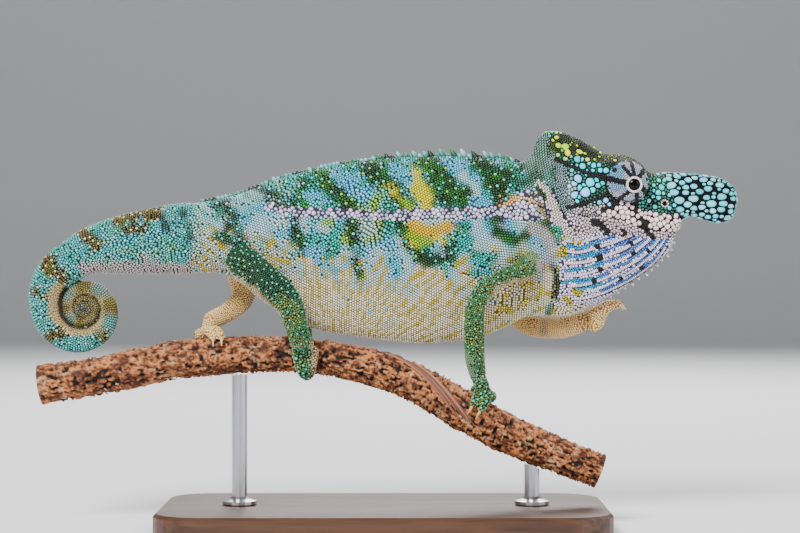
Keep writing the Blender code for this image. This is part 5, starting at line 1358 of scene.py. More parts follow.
def sample_surface(points, triangles, radii, crowd, draw):
    """Random places on a surface, closer together where the scales are smaller."""
    corners = points[triangles]
    normal = np.cross(corners[:, 1] - corners[:, 0], corners[:, 2] - corners[:, 0])
    area = 0.5 * np.linalg.norm(normal, axis=1)
    wanted = area / (3.46 * radii**2) * crowd
    count = int(wanted.sum())
    chosen = draw.choice(len(triangles), size=count, p=wanted / wanted.sum())
    u, v = draw.random(count), draw.random(count)
    flip = u + v > 1.0
    u[flip], v[flip] = 1.0 - u[flip], 1.0 - v[flip]
    weights = np.stack([1.0 - u - v, u, v], axis=-1)
    return chosen, weights, (corners[chosen] * weights[..., None]).sum(axis=1)


def throw_darts(points, radii, kinds, spreads, fixed, draw, close, even=None):
    """Keeps points as far apart as their radii ask: the fixed, the spread, the even rows, then the rest."""
    tree = tree_of(points)
    free = bytearray(b"\x01") * len(points)
    order = draw.permutation(np.arange(fixed, len(points)))
    rank = np.where(spreads[order] > 0.0, 0, 2)
    if even is not None:
        rank = np.minimum(rank, np.where(even[order], 1, 2))
    order = np.concatenate([np.arange(fixed), order[np.argsort(rank, kind="stable")]])
    widest = float(radii[fixed:].max())
    radius = radii.tolist()
    kind = kinds.tolist()
    spread = spreads.tolist()
    places = points.tolist()
    kept = []
    for i in order.tolist():
        if i >= fixed and not free[i]:
            continue
        kept.append(i)
        reach = max(radius[i] + widest, spread[i])
        for _, j, away in tree.find_range(places[i], reach):
            if away < close * (radius[i] + radius[j]) or (away < spread[i] and kind[i] == kind[j]):
                free[j] = 0
    return np.array(kept)


def ring_rows(form, pitch):
    """Places in even rows round a tail or limb, each row half a step off the last."""
    count, sides = form.grid
    rings = form.points[: count * sides].reshape(count, sides, 3)
    middles = rings.mean(axis=1)
    at = np.concatenate([[0.0], np.cumsum(np.linalg.norm(np.diff(middles, axis=0), axis=1))])
    found = []
    for turn, station in enumerate(np.arange(0.5 * pitch, at[-1], 0.866 * pitch)):
        i = min(int(np.searchsorted(at, station)) - 1, count - 2)
        share = (station - at[i]) / max(at[i + 1] - at[i], 1e-6)
        ring = rings[i] * (1.0 - share) + rings[i + 1] * share
        closed = np.vstack([ring, ring[:1]])
        run = np.concatenate([[0.0], np.cumsum(np.linalg.norm(np.diff(closed, axis=0), axis=1))])
        number = max(int(round(run[-1] / pitch)), 5)
        places = (np.arange(number) + 0.5 * (turn % 2)) * run[-1] / number
        found.append(np.stack([np.interp(places, run, closed[:, k]) for k in range(3)], axis=-1))
    return np.concatenate(found)


def flank_rows(form, pitch):
    """Places in even slanting rows over both flanks, measured along the skin from the pale stripe."""
    count, rows = form.grid
    near = form.points[: count * rows].reshape(count, rows, 3)
    xs = near[:, 0, 0]
    steps = np.linalg.norm(np.diff(near, axis=1), axis=2)
    run = np.concatenate([np.zeros((count, 1)), np.cumsum(steps, axis=1)], axis=1)
    stripe = np.interp(xs, *zip(*STRIPE_LINE))
    zero = np.array([np.interp(-level, -ring[:, 2], line) for level, ring, line in zip(stripe, near, run)])
    a, b = np.meshgrid(np.arange(-160, 161), np.arange(-180, 181))
    u = pitch * (a + 0.5 * (b % 2)).ravel()
    v = 0.866 * pitch * b.ravel()
    x = u * math.cos(ROW_SLANT) - v * math.sin(ROW_SLANT)
    s = u * math.sin(ROW_SLANT) + v * math.cos(ROW_SLANT)
    x = x + 1.1 * np.sin(s / 8.0)
    s = s + 1.4 * np.sin(x / 11.0)
    step = xs[1] - xs[0]
    at = (x - xs[0]) / step
    found = []
    for i in range(count - 1):
        inside = (at >= i) & (at < i + 1)
        share = (at[inside] - i)[:, None]
        lines = []
        for k in (i, i + 1):
            arc = s[inside] + zero[k]
            ring = np.stack([np.interp(arc, run[k], near[k][:, axis]) for axis in range(3)], axis=-1)
            lines.append(ring)
            off = (arc < 0.0) | (arc > run[k][-1])
            share[off] = np.nan
        found.append(lines[0] * (1.0 - share) + lines[1] * share)
    found = np.concatenate(found)
    found = found[~np.isnan(found[:, 0])]
    return np.vstack([found, found * (1.0, -1.0, 1.0)])


def neighbours(points, count):
    """The nearest other points of each point."""
    tree = tree_of(points)
    rows = [[hit[1] for hit in tree.find_n(point, count + 1)[1:]] for point in points.tolist()]
    return np.array(rows)


def settle(points, normals, radii, surface, fixed, rounds):
    """Pushes crowded scales apart along the surface."""
    for _ in range(rounds):
        near = neighbours(points, 8)
        offset = points[near] - points[:, None, :]
        away = np.linalg.norm(offset, axis=-1)
        wanted = 1.12 * (radii[:, None] + radii[near])
        push = np.clip(wanted - away, 0.0, None) / np.maximum(away, 1e-6)
        move = -0.22 * (offset * push[..., None]).sum(axis=1)
        move[:fixed] = 0.0
        points = points + move
        for k, point in enumerate(points.tolist()):
            place, normal, _, _ = surface.find_nearest(point)
            points[k] = place
            normals[k] = normal
    return points, normals


def tangent_frames(normals, draw):
    """Two directions along the surface at each scale, turned at random."""
    other = np.where(np.abs(normals[:, 1:2]) < 0.9, (0.0, 1.0, 0.0), (1.0, 0.0, 0.0))
    first = np.cross(normals, other)
    first /= np.linalg.norm(first, axis=1)[:, None]
    second = np.cross(normals, first)
    angle = draw.random(len(normals))[:, None] * 2 * np.pi
    return np.cos(angle) * first + np.sin(angle) * second, np.cos(angle) * second - np.sin(angle) * first


def cell_reaches(points, first, second, radii, gaps, sides, corners=8.0):
    """How far each scale reaches in each direction before it meets its neighbours."""
    near = neighbours(points, 13)
    offset = points[near] - points[:, None, :]
    square = (offset**2).sum(axis=-1) + radii[:, None] ** 2 - radii[near] ** 2
    square = np.maximum(square, 0.02)
    along_first = (offset * first[:, None, :]).sum(axis=-1)
    along_second = (offset * second[:, None, :]).sum(axis=-1)
    angles = np.arange(sides) * 2 * np.pi / sides
    cosine, sine = np.cos(angles)[:, None], np.sin(angles)[:, None]
    towards = along_first[:, None, :] * cosine + along_second[:, None, :] * sine
    reach = square[:, None, :] / (2.0 * np.maximum(towards, 1e-4))
    soft = (reach**-corners).sum(axis=-1) ** (-1.0 / corners)
    soft = np.clip(soft, 0.45 * radii[:, None], 1.42 * radii[:, None])
    return soft - 0.5 * gaps[:, None]


# A dome's rings, as shares of its reach and of its height, and the corners of each ring.
SMALL_SCALE = (((1.0, -0.55), (0.8, 0.66)), 7)
LARGE_SCALE = (((1.0, -0.55), (0.93, 0.42), (0.68, 0.86)), 12)
# Tone of each ring between the seam's colour and the scale's: the dome's side darkens towards its root, as painted
# shade.
RING_SHADE_TONES = (0.0, 0.72, 1.0)
DOME_ON_MAP = 0.00145


def stretched(reach, chosen, first, second):
    """Reaches with the oval kinds of scale drawn out along their lean."""
    sides = reach.shape[1]
    angles = np.arange(sides) * 2 * np.pi / sides
    reach = reach.copy()
    for name, (ratio, lean) in OVAL_SCALES.items():
        rows = chosen == PALETTE[name]
        length = np.array([math.cos(lean), 0.0, math.sin(lean)])
        one, other = (first[rows] @ length)[:, None], (second[rows] @ length)[:, None]
        share = np.clip((one * np.cos(angles) + other * np.sin(angles)) ** 2, 0.0, 1.0)
        reach[rows] /= np.sqrt(share / ratio + (1.0 - share) * ratio)
    return reach


def scale_mesh(name, points, normals, first, second, reach, rises, colours, seams, places, profile):
    """One mesh of domes, each with its own patch of the bake map; their sides darken towards the root as painted
    shade, and their tops are lightened as a painted highlight.
    """
    count, sides = reach.shape
    angles = np.arange(sides) * 2 * np.pi / sides
    across = np.cos(angles)[:, None] * first[:, None, :] + np.sin(angles)[:, None] * second[:, None, :]
    flat = np.stack([np.cos(angles), np.sin(angles)], axis=-1)
    rings, tints, patches = [], [], []
    for level, (share, height) in enumerate(profile):
        lift = height * (rises[:, None] * normals)[:, None, :]
        rings.append(points[:, None, :] + share * reach[..., None] * across + lift)
        # Each ring's colour is mixed from the seam's colour towards the scale's: painted shade on the dome's side.
        tone = RING_SHADE_TONES[level]
        tint = seams * (1.0 - tone) + colours * tone if level else seams
        tints.append(np.repeat(tint[:, None, :], sides, axis=1))
        patches.append(places[:, None, :] + DOME_ON_MAP * share * flat)
    # The top point is a little lighter than the scale's colour: a painted highlight.
    rings.append((points + rises[:, None] * normals)[:, None, :])
    tints.append(np.minimum(colours * 1.06 + 0.01, 1.0)[:, None, :])
    patches.append(places[:, None, :])
    per = sides * len(profile) + 1
    every = np.concatenate(rings, axis=1).reshape(-1, 3)
    tint = np.concatenate(tints, axis=1).reshape(-1, 3)
    patch = np.concatenate(patches, axis=1).reshape(-1, 2)
    base = (np.arange(count) * per)[:, None, None]
    k = np.arange(sides)
    m = (k + 1) % sides
    quads = []
    last = (len(profile) - 1) * sides
    for low in range(0, last, sides):
        high = low + sides
        ring = np.stack([low + k, low + m, high + m, high + k], axis=-1)
        quads.append((base + ring[None]).reshape(-1, 4))
    fan = np.stack([last + k, last + m, np.full(sides, per - 1)], axis=-1)
    triangles = (base + fan[None]).reshape(-1, 3)
    mesh = build_mesh(name, every, [np.concatenate(quads), triangles])
    set_colours(mesh, tint)
    set_bake_map(mesh, np.clip(patch, 0.0, 1.0))
    return mesh


PLAIN_EDGED = (
    "stripe", "flank_dot", "green_dot", "teal_dot", "pale_dot", "tail_dot", "cream_dot", "casque",
    "casque_edge", "plate_blue", "plate_turquoise", "snout", "lip", "black", "blue", "turquoise_blue",
    "throat", "lid", "neck_band",
)


def blended(colours, chosen, points):
    """Scale colours that run softly into their neighbours', but for plates, dots and black marks."""
    near = neighbours(points, 7)
    soft = ~np.isin(chosen, [PALETTE[name] for name in PLAIN_EDGED])
    weight = soft[near][..., None]
    firm = np.where(np.isin(chosen, [PALETTE["belly"], PALETTE["olive"]]), 0.3, 1.0)[:, None]
    for share in (0.5 * firm, 0.4 * firm):
        mean = (colours[near] * weight).sum(axis=1) / np.maximum(weight.sum(axis=1), 1)
        mixed = colours + (mean - colours) * share
        colours = np.where((soft & weight.any(axis=(1, 2)))[:, None], mixed, colours)
    return colours


def scale_colours(chosen, points, draw):
    """A colour from its palette for each scale, drifting slowly from one scale to the next."""
    table = palette_table(False)
    drift = evened(noise(points, 2.0, 61)) + draw.uniform(-0.13, 0.13, len(chosen))
    at = np.clip(drift, 0.0, 0.999) * 5.0
    number = at.astype(int)
    share = (at - number)[:, None]
    tone = draw.normal(1.0, 0.05, len(chosen))[:, None]
    warmth = 1.0 + draw.normal(0.0, 0.02, (len(chosen), 3))
    colour = table[chosen, number] * (1.0 - share) + table[chosen, number + 1] * share
    return np.clip(colour * tone * warmth, 0.0, 1.0)


# Materials


def new_material(name, roughness, metallic=0.0):
    """A plain surface, with its node tree and shader for more."""
    material = bpy.data.materials.new(name)
    material.use_nodes = True
    shader = material.node_tree.nodes["Principled BSDF"]
    shader.inputs["Roughness"].default_value = roughness
    shader.inputs["Metallic"].default_value = metallic
    return material, material.node_tree, shader


def add_bump(tree, shader, height, strength, distance):
    """Relief from a value; distance is the height of the relief in metres."""
    bump = tree.nodes.new("ShaderNodeBump")
    bump.inputs["Strength"].default_value = strength
    bump.inputs["Distance"].default_value = distance
    tree.links.new(height, bump.inputs["Height"])
    tree.links.new(bump.outputs["Normal"], shader.inputs["Normal"])


def noise_node(tree, scale, detail=3.0):
    """Noise in the object's own space, so that it stays on the surface."""
    where = tree.nodes.new("ShaderNodeTexCoord")
    node = tree.nodes.new("ShaderNodeTexNoise")
    node.inputs["Scale"].default_value = scale
    node.inputs["Detail"].default_value = detail
    tree.links.new(where.outputs["Object"], node.inputs["Vector"])
    return node


def drawn_out_noise(tree, scales, detail, distortion=0.0):
    """Noise with its own scale along each axis, as in the grain of wood or brushed steel."""
    where = tree.nodes.new("ShaderNodeTexCoord")
    stretch = tree.nodes.new("ShaderNodeMapping")
    stretch.inputs["Scale"].default_value = scales
    tree.links.new(where.outputs["Object"], stretch.inputs["Vector"])
    node = tree.nodes.new("ShaderNodeTexNoise")
    node.inputs["Scale"].default_value = 1.0
    node.inputs["Detail"].default_value = detail
    node.inputs["Distortion"].default_value = distortion
    tree.links.new(stretch.outputs["Vector"], node.inputs["Vector"])
    return node


def vary_roughness(tree, shader, source, low, high):
    """Roughness that follows a value between two limits."""
    spread = tree.nodes.new("ShaderNodeMapRange")
    spread.inputs["To Min"].default_value = low
    spread.inputs["To Max"].default_value = high
    tree.links.new(source, spread.inputs["Value"])
    tree.links.new(spread.outputs["Result"], shader.inputs["Roughness"])


def scaly_material(name, roughness, shine=0.4):
    """Horny scales or skin, coloured by the markings on the mesh."""
    material, tree, shader = new_material(name, roughness)
    marks = tree.nodes.new("ShaderNodeVertexColor")
    marks.layer_name = "Markings"
    tree.links.new(marks.outputs["Color"], shader.inputs["Base Color"])
    grain = noise_node(tree, 2600.0, 2.0)
    vary_roughness(tree, shader, grain.outputs["Fac"], roughness - 0.1, roughness + 0.12)
    add_bump(tree, shader, grain.outputs["Fac"], 0.25, 0.00005)
    shader.inputs["Specular IOR Level"].default_value = shine
    return material


def colour_by(tree, shader, source, stops):
    """Colours the shader by a value, through a ramp with these stops."""
    node = tree.nodes.new("ShaderNodeValToRGB")
    while len(node.color_ramp.elements) < len(stops):
        node.color_ramp.elements.new(0.5)
    for element, (place, colour) in zip(node.color_ramp.elements, stops):
        element.position = place
        element.color = (*linear(colour), 1.0)
    tree.links.new(source, node.inputs["Fac"])
    tree.links.new(node.outputs["Color"], shader.inputs["Base Color"])


def wood_material(name, colour_dark, colour_light):
    """Stained wood with its grain along the board."""
    material, tree, shader = new_material(name, 0.42)
    grain = drawn_out_noise(tree, (18.0, 260.0, 260.0), 6.0, 0.6)
    bands = ((0.32, colour_dark), (0.5, colour_light), (0.66, colour_dark))
    colour_by(tree, shader, grain.outputs["Fac"], bands)
    vary_roughness(tree, shader, grain.outputs["Fac"], 0.34, 0.5)
    add_bump(tree, shader, grain.outputs["Fac"], 0.2, 0.0002)
    return material


def steel_material(name, colour):
    """Steel brushed round the rods."""
    material, tree, shader = new_material(name, 0.3, 1.0)
    shader.inputs["Base Color"].default_value = (*colour, 1.0)
    brushed = drawn_out_noise(tree, (300.0, 300.0, 6000.0), 2.0)
    vary_roughness(tree, shader, brushed.outputs["Fac"], 0.22, 0.42)
    add_bump(tree, shader, brushed.outputs["Fac"], 0.08, 0.00005)
    return material


def claw_material():
    """Pale, faintly clouded horn."""
    material, tree, shader = new_material("claw_horn", 0.3)
    grain = noise_node(tree, 900.0)
    colour_by(tree, shader, grain.outputs["Fac"], ((0.3, (176, 140, 86)), (0.7, (224, 198, 148))))
    add_bump(tree, shader, grain.outputs["Fac"], 0.2, 0.00005)
    return material


def eyeball_material():
    """The wet, nearly black eye."""
    material, tree, shader = new_material("wet_eye", 0.16)
    grain = noise_node(tree, 1500.0)
    colour_by(tree, shader, grain.outputs["Fac"], ((0.3, (3, 3, 3)), (0.8, (12, 8, 6))))
    shader.inputs["Specular IOR Level"].default_value = 0.16
    return material


# The animal's pieces


# What one piece leaves for the next: "skin", "surface", "claws", "forms" and "scales".
WORK = {}


def left_over(name):
    """What an earlier operator made; the skin and the scales come first."""
    if name not in WORK:
        raise RuntimeError(f"make the skin and the scales first: there is no {name} yet")
    return WORK[name]


FLESH = (
    "torso", "neck", "head", "lower_jaw_and_throat", "tail_base", "tail_curve", "tail_coil_outer",
    "tail_coil_middle", "tail_tip", "hind_leg_right_thigh", "hind_leg_right_shin", "hind_foot_right",
    "hind_leg_left_thigh", "hind_leg_left_shin", "hind_foot_left", "foreleg_right_upper_arm",
    "foreleg_right_forearm", "forefoot_right", "foreleg_left_upper_arm", "foreleg_left_forearm",
    "forefoot_left",
)


def make_skin(settings):
    """One skin over all the flesh, in the place of its nodes."""
    forms, claws = animal_forms()
    mesh = fused_skin(forms, settings.skin_voxel / MM, 3)
    points, triangles, normals = mesh_arrays(mesh)
    places = locate(points, normals, forms)
    set_colours(mesh, skin_colours(places))
    mesh.name = "skin"
    add_piece("skin", mesh, scaly_material("skin_between_scales", 0.8, 0.12), FLESH)
    WORK["skin"] = (points, triangles, places)
    WORK["surface"] = BVHTree.FromPolygons(points.tolist(), triangles.tolist())
    WORK["claws"] = claws
    WORK["forms"] = forms


def on_skin(x, z, side):
    """The place and normal of the skin nearest to this x and z on one side."""
    width = float(half_width((x, z))[0])
    place, normal, _, _ = left_over("surface").find_nearest((x, side * width, z))
    return np.array(place), np.array(normal)


def before_horn(x, z):
    """How far a place lies in front of the horn's root, below 0 behind it."""
    return (x - ROOT_POINT[0]) * ROOT_WEIGHTS[0] + (z - ROOT_POINT[1]) * ROOT_WEIGHTS[1]


def on_map(flat, corner_and_size):
    """Places of an unwrap from x and z, given its corner and its size."""
    corner, size = corner_and_size
    return (flat - corner) / size


def inside_map(unwrap):
    """An unwrap kept a little away from the map's edge."""
    return np.clip(unwrap, MAP_EDGE, 1.0 - MAP_EDGE)


def bare(places):
    """Where no scale grows here: mouth, nostrils, ridges of the throat, and under the eye turrets."""
    flat = places.xyz[:, [0, 2]]
    head = places.part == PART["head"]
    gone = distance_to_path(flat, smooth_path(MOUTH)) < 0.24
    gone |= np.hypot(flat[:, 0] - EYE[0], flat[:, 1] - EYE[1]) < TURRET_RADIUS - 0.3
    gone |= np.hypot(flat[:, 0] - NOSTRIL[0], flat[:, 1] - NOSTRIL[1]) < 0.95
    gone |= before_horn(*flat.T) > 0.55
    for line, breadth in THROAT_RIDGES:
        gone |= distance_to_path(flat, smooth_path(line)) < breadth - 0.06
    return head & gone


# How much the plates of each kind are drawn larger than their table says.
PLATE_GROWTH = {"casque": 1.0, "casque_edge": 1.1, "plate_turquoise": 1.2, "plate_blue": 1.14, "snout": 1.2}
# The stripe's plates: first and last x, step along it, and their places above or below its middle line.
STRIPE_RUN = (-31.0, 37.0, 0.62)
STRIPE_STEPS = (0.85, -0.1, -0.9, 0.3)
STRIPE_SEED = 19


def plate_seeds():
    """The single plates of head and flank stripe on both sides, set on the skin."""
    points, normals, radii, chosen = [], [], [], []

    def set_plate(x, z, radius, name):
        for side in (NEAR, FAR):
            place, normal = on_skin(x, z, side)
            points.append(place)
            normals.append(normal)
            radii.append(radius)
            chosen.append(PALETTE[name])

    bands = [path_of(mark[1]) for mark in HEAD_MARKS if mark[0] == "black" and mark[4] == 1.0]
    plates = [(*plate, name) for name, group in HEAD_PLATES.items() for plate in group]
    for x, z, radius, name in plates:
        room = min(distance_to_path(np.array([(x, z)]), line)[0] for line in bands)
        if room < 0.3:
            continue
        radius = min(radius * PLATE_GROWTH[name], max(room - 0.25, 0.32))
        if before_horn(x, z) <= 0.3:
            set_plate(x, z, radius, name)
    draw = np.random.default_rng(STRIPE_SEED)
    for k, x in enumerate(np.arange(*STRIPE_RUN)):
        x = x + draw.uniform(-0.15, 0.15)
        z = float(np.interp(x, *zip(*STRIPE_LINE))) + STRIPE_STEPS[k % 4] + draw.uniform(-0.25, 0.25)
        set_plate(x, z, 0.43 + 0.1 * math.sin(7.0 * k), "stripe")
    return np.array(points), np.array(normals), np.array(radii), np.array(chosen)


def even_places(forms):
    """Rows of places on flanks, tail and limbs, set on the skin."""
    surface = left_over("surface")
    found, normals, sources = [], [], []
    for form in forms:
        if form.grid is None or form.part not in ROW_PITCH:
            continue
        pitch = ROW_PITCH[form.part]
        rows = flank_rows(form, pitch) if form.part == PART["trunk"] else ring_rows(form, pitch)
        for row in rows.tolist():
            place, normal, _, away = surface.find_nearest(row)
            if away < ROW_REACH:
                found.append(place)
                normals.append(normal)
                sources.append(form.part)
    at = locate(np.array([tuple(place) for place in found]), np.array([tuple(n) for n in normals]), forms)
    return at.pick(at.part == np.array(sources))


# Distance between the scales of a row, by part, and how far a row's place may lie from the skin.
ROW_REACH = 0.45
ROW_PITCH = {
    PART["trunk"]: 0.71, PART["tail"]: 0.63, PART["hind_near"]: 0.53, PART["fore_near"]: 0.53,
    PART["hind_far"]: 0.53, PART["fore_far"]: 0.53,
}


# Radius of a scale as a share of its row's pitch, for dots and for the rest; how close scales may stand,
# as a share of their radii; and how many more tries the head gets, because its scales differ in size.
DOT_SHARE = 0.56
ROW_SHARE = 0.49
SCALE_CLOSENESS = 0.93
HEAD_CROWDING = 2.6


def scatter_on_skin(settings):
    """Every scale of the skin, as places with a radius and a palette."""
    points, triangles, places = left_over("skin")
    draw = np.random.default_rng(settings.seed)
    even = even_places(left_over("forms"))
    even_draw = draw.random((len(even.part), 3))
    even_chosen = Painter(even, even_draw).paint()
    keep = ~bare(even) & (even_chosen != PALETTE["stripe"])
    even, even_chosen = even.pick(keep), even_chosen[keep]
    pitch = np.array([ROW_PITCH[part] for part in even.part])
    of_pitch = np.where(grain_of(even_chosen, SCALE_SPREAD) > 0.0, DOT_SHARE, ROW_SHARE)
    even_radii = of_pitch * pitch * draw.uniform(0.95, 1.01, len(pitch))
    middle = places.pick(triangles[:, 0])
    rough = Painter(middle, np.full((len(triangles), 3), 0.5)).paint()
    radii = 0.5 * (grain_of(rough, RADIUS_LEAST) + grain_of(rough, RADIUS_MOST))
    crowd = np.where(middle.part == PART["head"], HEAD_CROWDING, 1.0) * settings.crowding
    rows, weights, found = sample_surface(points, triangles, radii, crowd, draw)
    corners = triangles[rows]
    nearest = corners[np.arange(len(rows)), weights.argmax(axis=1)]
    at = places.pick(nearest)
    at.xyz = found
    marks = draw.random((len(found), 3))
    marks[np.isin(at.part, list(ROW_PITCH)), 2] = 1.0
    chosen = Painter(at, marks).paint()
    keep = ~bare(at)
    at, chosen = at.pick(keep), chosen[keep]
    low, high = grain_of(chosen, RADIUS_LEAST), grain_of(chosen, RADIUS_MOST)
    radii = low + (high - low) * draw.random(len(low)) ** 1.3
    seeds = plate_seeds()
    fixed = len(seeds[0])
    xyz = np.concatenate([seeds[0], even.xyz, at.xyz])
    normals = np.concatenate([seeds[1], even.normals, at.normals])
    radii = np.concatenate([seeds[2], even_radii, radii])
    chosen = np.concatenate([seeds[3], even_chosen, chosen])
    place = np.concatenate([np.zeros((fixed, 2)), even.place, at.place])
    seed_part = np.where(seeds[0][:, 0] > STRIPE_RUN[1] + 1.0, PART["head"], PART["trunk"])
    part = np.concatenate([seed_part, even.part, at.part])
    form = np.concatenate([np.zeros(fixed, int), even.form, at.form])
    in_rows = np.zeros(len(xyz), bool)
    in_rows[fixed : fixed + len(even.part)] = True
    spreads = grain_of(chosen, SCALE_SPREAD)
    kept = throw_darts(xyz, radii, chosen, spreads, fixed, draw, SCALE_CLOSENESS, in_rows)
    xyz, normals = settle(xyz[kept], normals[kept], radii[kept], left_over("surface"), fixed, 2)
    return Places(xyz, normals, part[kept], place[kept], form[kept]), radii[kept], chosen[kept]


def bake_places(at):
    """Where each scale lies on the unwrap of its piece, from 0 to 1 both ways."""
    part = at.part
    flat = at.xyz[:, [0, 2]]
    found = np.zeros((len(part), 2))
    trunk = part == PART["trunk"]
    found[trunk] = on_map(flat[trunk], TRUNK_MAP)
    head = part == PART["head"]
    found[head] = on_map(flat[head], HEAD_MAP)
    tail = part == PART["tail"]
    found[tail] = on_map(flat[tail], TAIL_MAP)
    legs = part > PART["tail"]
    numbers = np.unique(at.form[legs])
    order = np.searchsorted(numbers, at.form[legs])
    found[legs, 0] = (order + np.clip(at.place[legs, 0], 0.0, 1.0)) / max(len(numbers), 1)
    found[legs, 1] = at.place[legs, 1]
    return inside_map(found)


# Pieces of the coat: name, parts of the body, side, span of x and slot.
COAT_PIECES = (
    ("scales_flank_right_rear", ("trunk",), NEAR, (-99.0, 0.0), "flank_skin"),
    ("scales_flank_right_front", ("trunk",), NEAR, (0.0, 99.0), "flank_skin"),
    ("scales_flank_left_rear", ("trunk",), FAR, (-99.0, 0.0), "flank_skin"),
    ("scales_flank_left_front", ("trunk",), FAR, (0.0, 99.0), "flank_skin"),
    ("scales_head_right", ("head",), NEAR, None, "head_skin"),
    ("scales_head_left", ("head",), FAR, None, "head_skin"),
    ("scales_tail_right", ("tail",), NEAR, None, "tail_skin"),
    ("scales_tail_left", ("tail",), FAR, None, "tail_skin"),
    ("scales_hind_leg_right", ("hind_near",), None, None, "right_leg_skin"),
    ("scales_foreleg_right", ("fore_near",), None, None, "right_leg_skin"),
    ("scales_hind_leg_left", ("hind_far",), None, None, "left_leg_skin"),
    ("scales_foreleg_left", ("fore_far",), None, None, "left_leg_skin"),
    ("scales_feet_right", ("foot_near",), None, None, "right_leg_skin"),
    ("scales_feet_left", ("foot_far",), None, None, "left_leg_skin"),
)
# Scales of this radius and more are made with more corners.
LARGE_FROM = 0.45


def make_scales(settings):
    """The coat, in pieces by part and side, and within each by the size of scale."""
    at, radii, chosen = scatter_on_skin(settings)
    draw = np.random.default_rng(settings.seed + 1)
    first, second = tangent_frames(at.normals, draw)
    gaps = grain_of(chosen, SCALE_GAP)
    rises = grain_of(chosen, SCALE_RISE) * draw.uniform(0.85, 1.12, len(chosen))
    colours = blended(scale_colours(chosen, at.xyz, draw), chosen, at.xyz)
    seams = blended(palette_table(True)[chosen] * 0.9, chosen, at.xyz)
    small = cell_reaches(at.xyz, first, second, radii, gaps, SMALL_SCALE[1])
    small = stretched(small, chosen, first, second)
    large = cell_reaches(at.xyz, first, second, radii, gaps, LARGE_SCALE[1], 14.0)
    large = stretched(large, chosen, first, second)
    material = scaly_material("scales", 0.42)
    WORK["scales"] = material
    for name, parts, side, span, slot in COAT_PIECES:
        inside = np.isin(at.part, [PART[part] for part in parts])
        if side is not None:
            inside &= (at.xyz[:, 1] < 0.0) == (side == NEAR)
        if span is not None:
            inside &= (at.xyz[:, 0] >= span[0]) & (at.xyz[:, 0] < span[1])
        for word, reach, profile, of_size in (
            ("fine", small, SMALL_SCALE[0], radii < LARGE_FROM),
            ("large", large, LARGE_SCALE[0], radii >= LARGE_FROM),
        ):
            rows = np.flatnonzero(inside & of_size)
            if not len(rows):
                continue
            places = bake_places(at.pick(rows))
            mesh = scale_mesh(
                f"{name}_{word}", at.xyz[rows], at.normals[rows], first[rows], second[rows], reach[rows],
                rises[rows], colours[rows], seams[rows], places, profile,
            )
            add_piece(f"{name}_{word}", mesh, material)


# Ridges of the throat


def oval_reach(count, sides, long_half, short_half):
    """Reaches of oval scales, longest along their first direction."""
    angles = np.arange(sides) * 2 * np.pi / sides
    long_half = np.broadcast_to(long_half, count)[:, None]
    return 1.0 / np.sqrt((np.cos(angles) / long_half) ** 2 + (np.sin(angles) / short_half) ** 2)


# The throat's ridge scales: step along a ridge and half their breadth.
RIDGE_STEP = 0.43
RIDGE_SCALE = 0.165


def make_throat(settings):
    """One row of narrow upright scales on each ridge between the throat's grooves."""
    draw = np.random.default_rng(settings.seed + 2)
    for word, side in (("right", NEAR), ("left", FAR)):
        xyz, normals, upright, tall = [], [], [], []
        for line, breadth in THROAT_RIDGES:
            path = smooth_path(line, 20)
            length = np.linalg.norm(np.diff(path, axis=0), axis=1).sum()
            count = int(length / RIDGE_STEP)
            for share in (np.arange(count) + 0.5) / count:
                at = along(path, [share])[0]
                ahead, behind = along(path, [min(share + 0.02, 1.0), max(share - 0.02, 0.0)])
                run = unit(ahead - behind)
                place, normal = on_skin(*at, side)
                cross = np.array([-run[1], 0.0, run[0]]) + draw.normal(0.0, 0.08, 3)
                cross = unit(cross - normal * cross.dot(normal))
                xyz.append(place)
                normals.append(normal)
                upright.append(cross)
                tall.append(breadth * draw.uniform(0.82, 1.02))
        xyz, normals, upright = np.array(xyz), np.array(normals), np.array(upright)
        count = len(xyz)
        at = Places(xyz, normals, np.full(count, PART["head"]), np.zeros((count, 2)), np.zeros(count, int))
        chosen = Painter(at, draw.random((count, 3))).paint()
        groove = np.isin(chosen, [PALETTE["blue"], PALETTE["turquoise_blue"]])
        chosen = np.where(groove, PALETTE["throat"], chosen)
        reach = oval_reach(count, 9, np.array(tall), RIDGE_SCALE)
        mesh = scale_mesh(
            f"throat_{word}", xyz, normals, upright, np.cross(normals, upright), reach,
            draw.uniform(0.2, 0.28, count), scale_colours(chosen, xyz, draw),
            palette_table(True)[chosen] * 0.8, bake_places(at), LARGE_SCALE[0],
        )
        add_piece(f"throat_ridge_scales_{word}", mesh, left_over("scales"))


# A nostril's rim: its radius and how many scales stand round it.
NOSTRIL_RIM = 0.8
NOSTRIL_SCALES = 9


def make_nostrils(settings):
    """A pinkish rim of small scales round each nostril's dark hole."""
    draw = np.random.default_rng(settings.seed + 4)
    for word, side in (("right", NEAR), ("left", FAR)):
        xyz, normals, inward = [], [], []
        for turn in np.arange(NOSTRIL_SCALES) * 2 * np.pi / NOSTRIL_SCALES:
            ring = np.array([math.cos(turn), 0.0, math.sin(turn)])
            x, z = np.array(NOSTRIL) + NOSTRIL_RIM * ring[[0, 2]]
            place, normal = on_skin(x, z, side)
            xyz.append(place)
            normals.append(unit(normal + 0.2 * ring))
            inward.append(unit(ring - normal * ring.dot(normal)))
        xyz, normals, inward = np.array(xyz), np.array(normals), np.array(inward)
        chosen = np.full(NOSTRIL_SCALES, PALETTE["lip"])
        mesh = scale_mesh(
            f"nostril_{word}", xyz, normals, inward, np.cross(normals, inward),
            oval_reach(NOSTRIL_SCALES, 9, 0.3, 0.27), np.full(NOSTRIL_SCALES, 0.26),
            scale_colours(chosen, xyz, draw) * 0.85, palette_table(True)[chosen] * 0.5,
            on_map(xyz[:, [0, 2]], HEAD_MAP), LARGE_SCALE[0],
        )
        add_piece(f"nostril_scales_{word}", mesh, left_over("scales"))


# Eyes


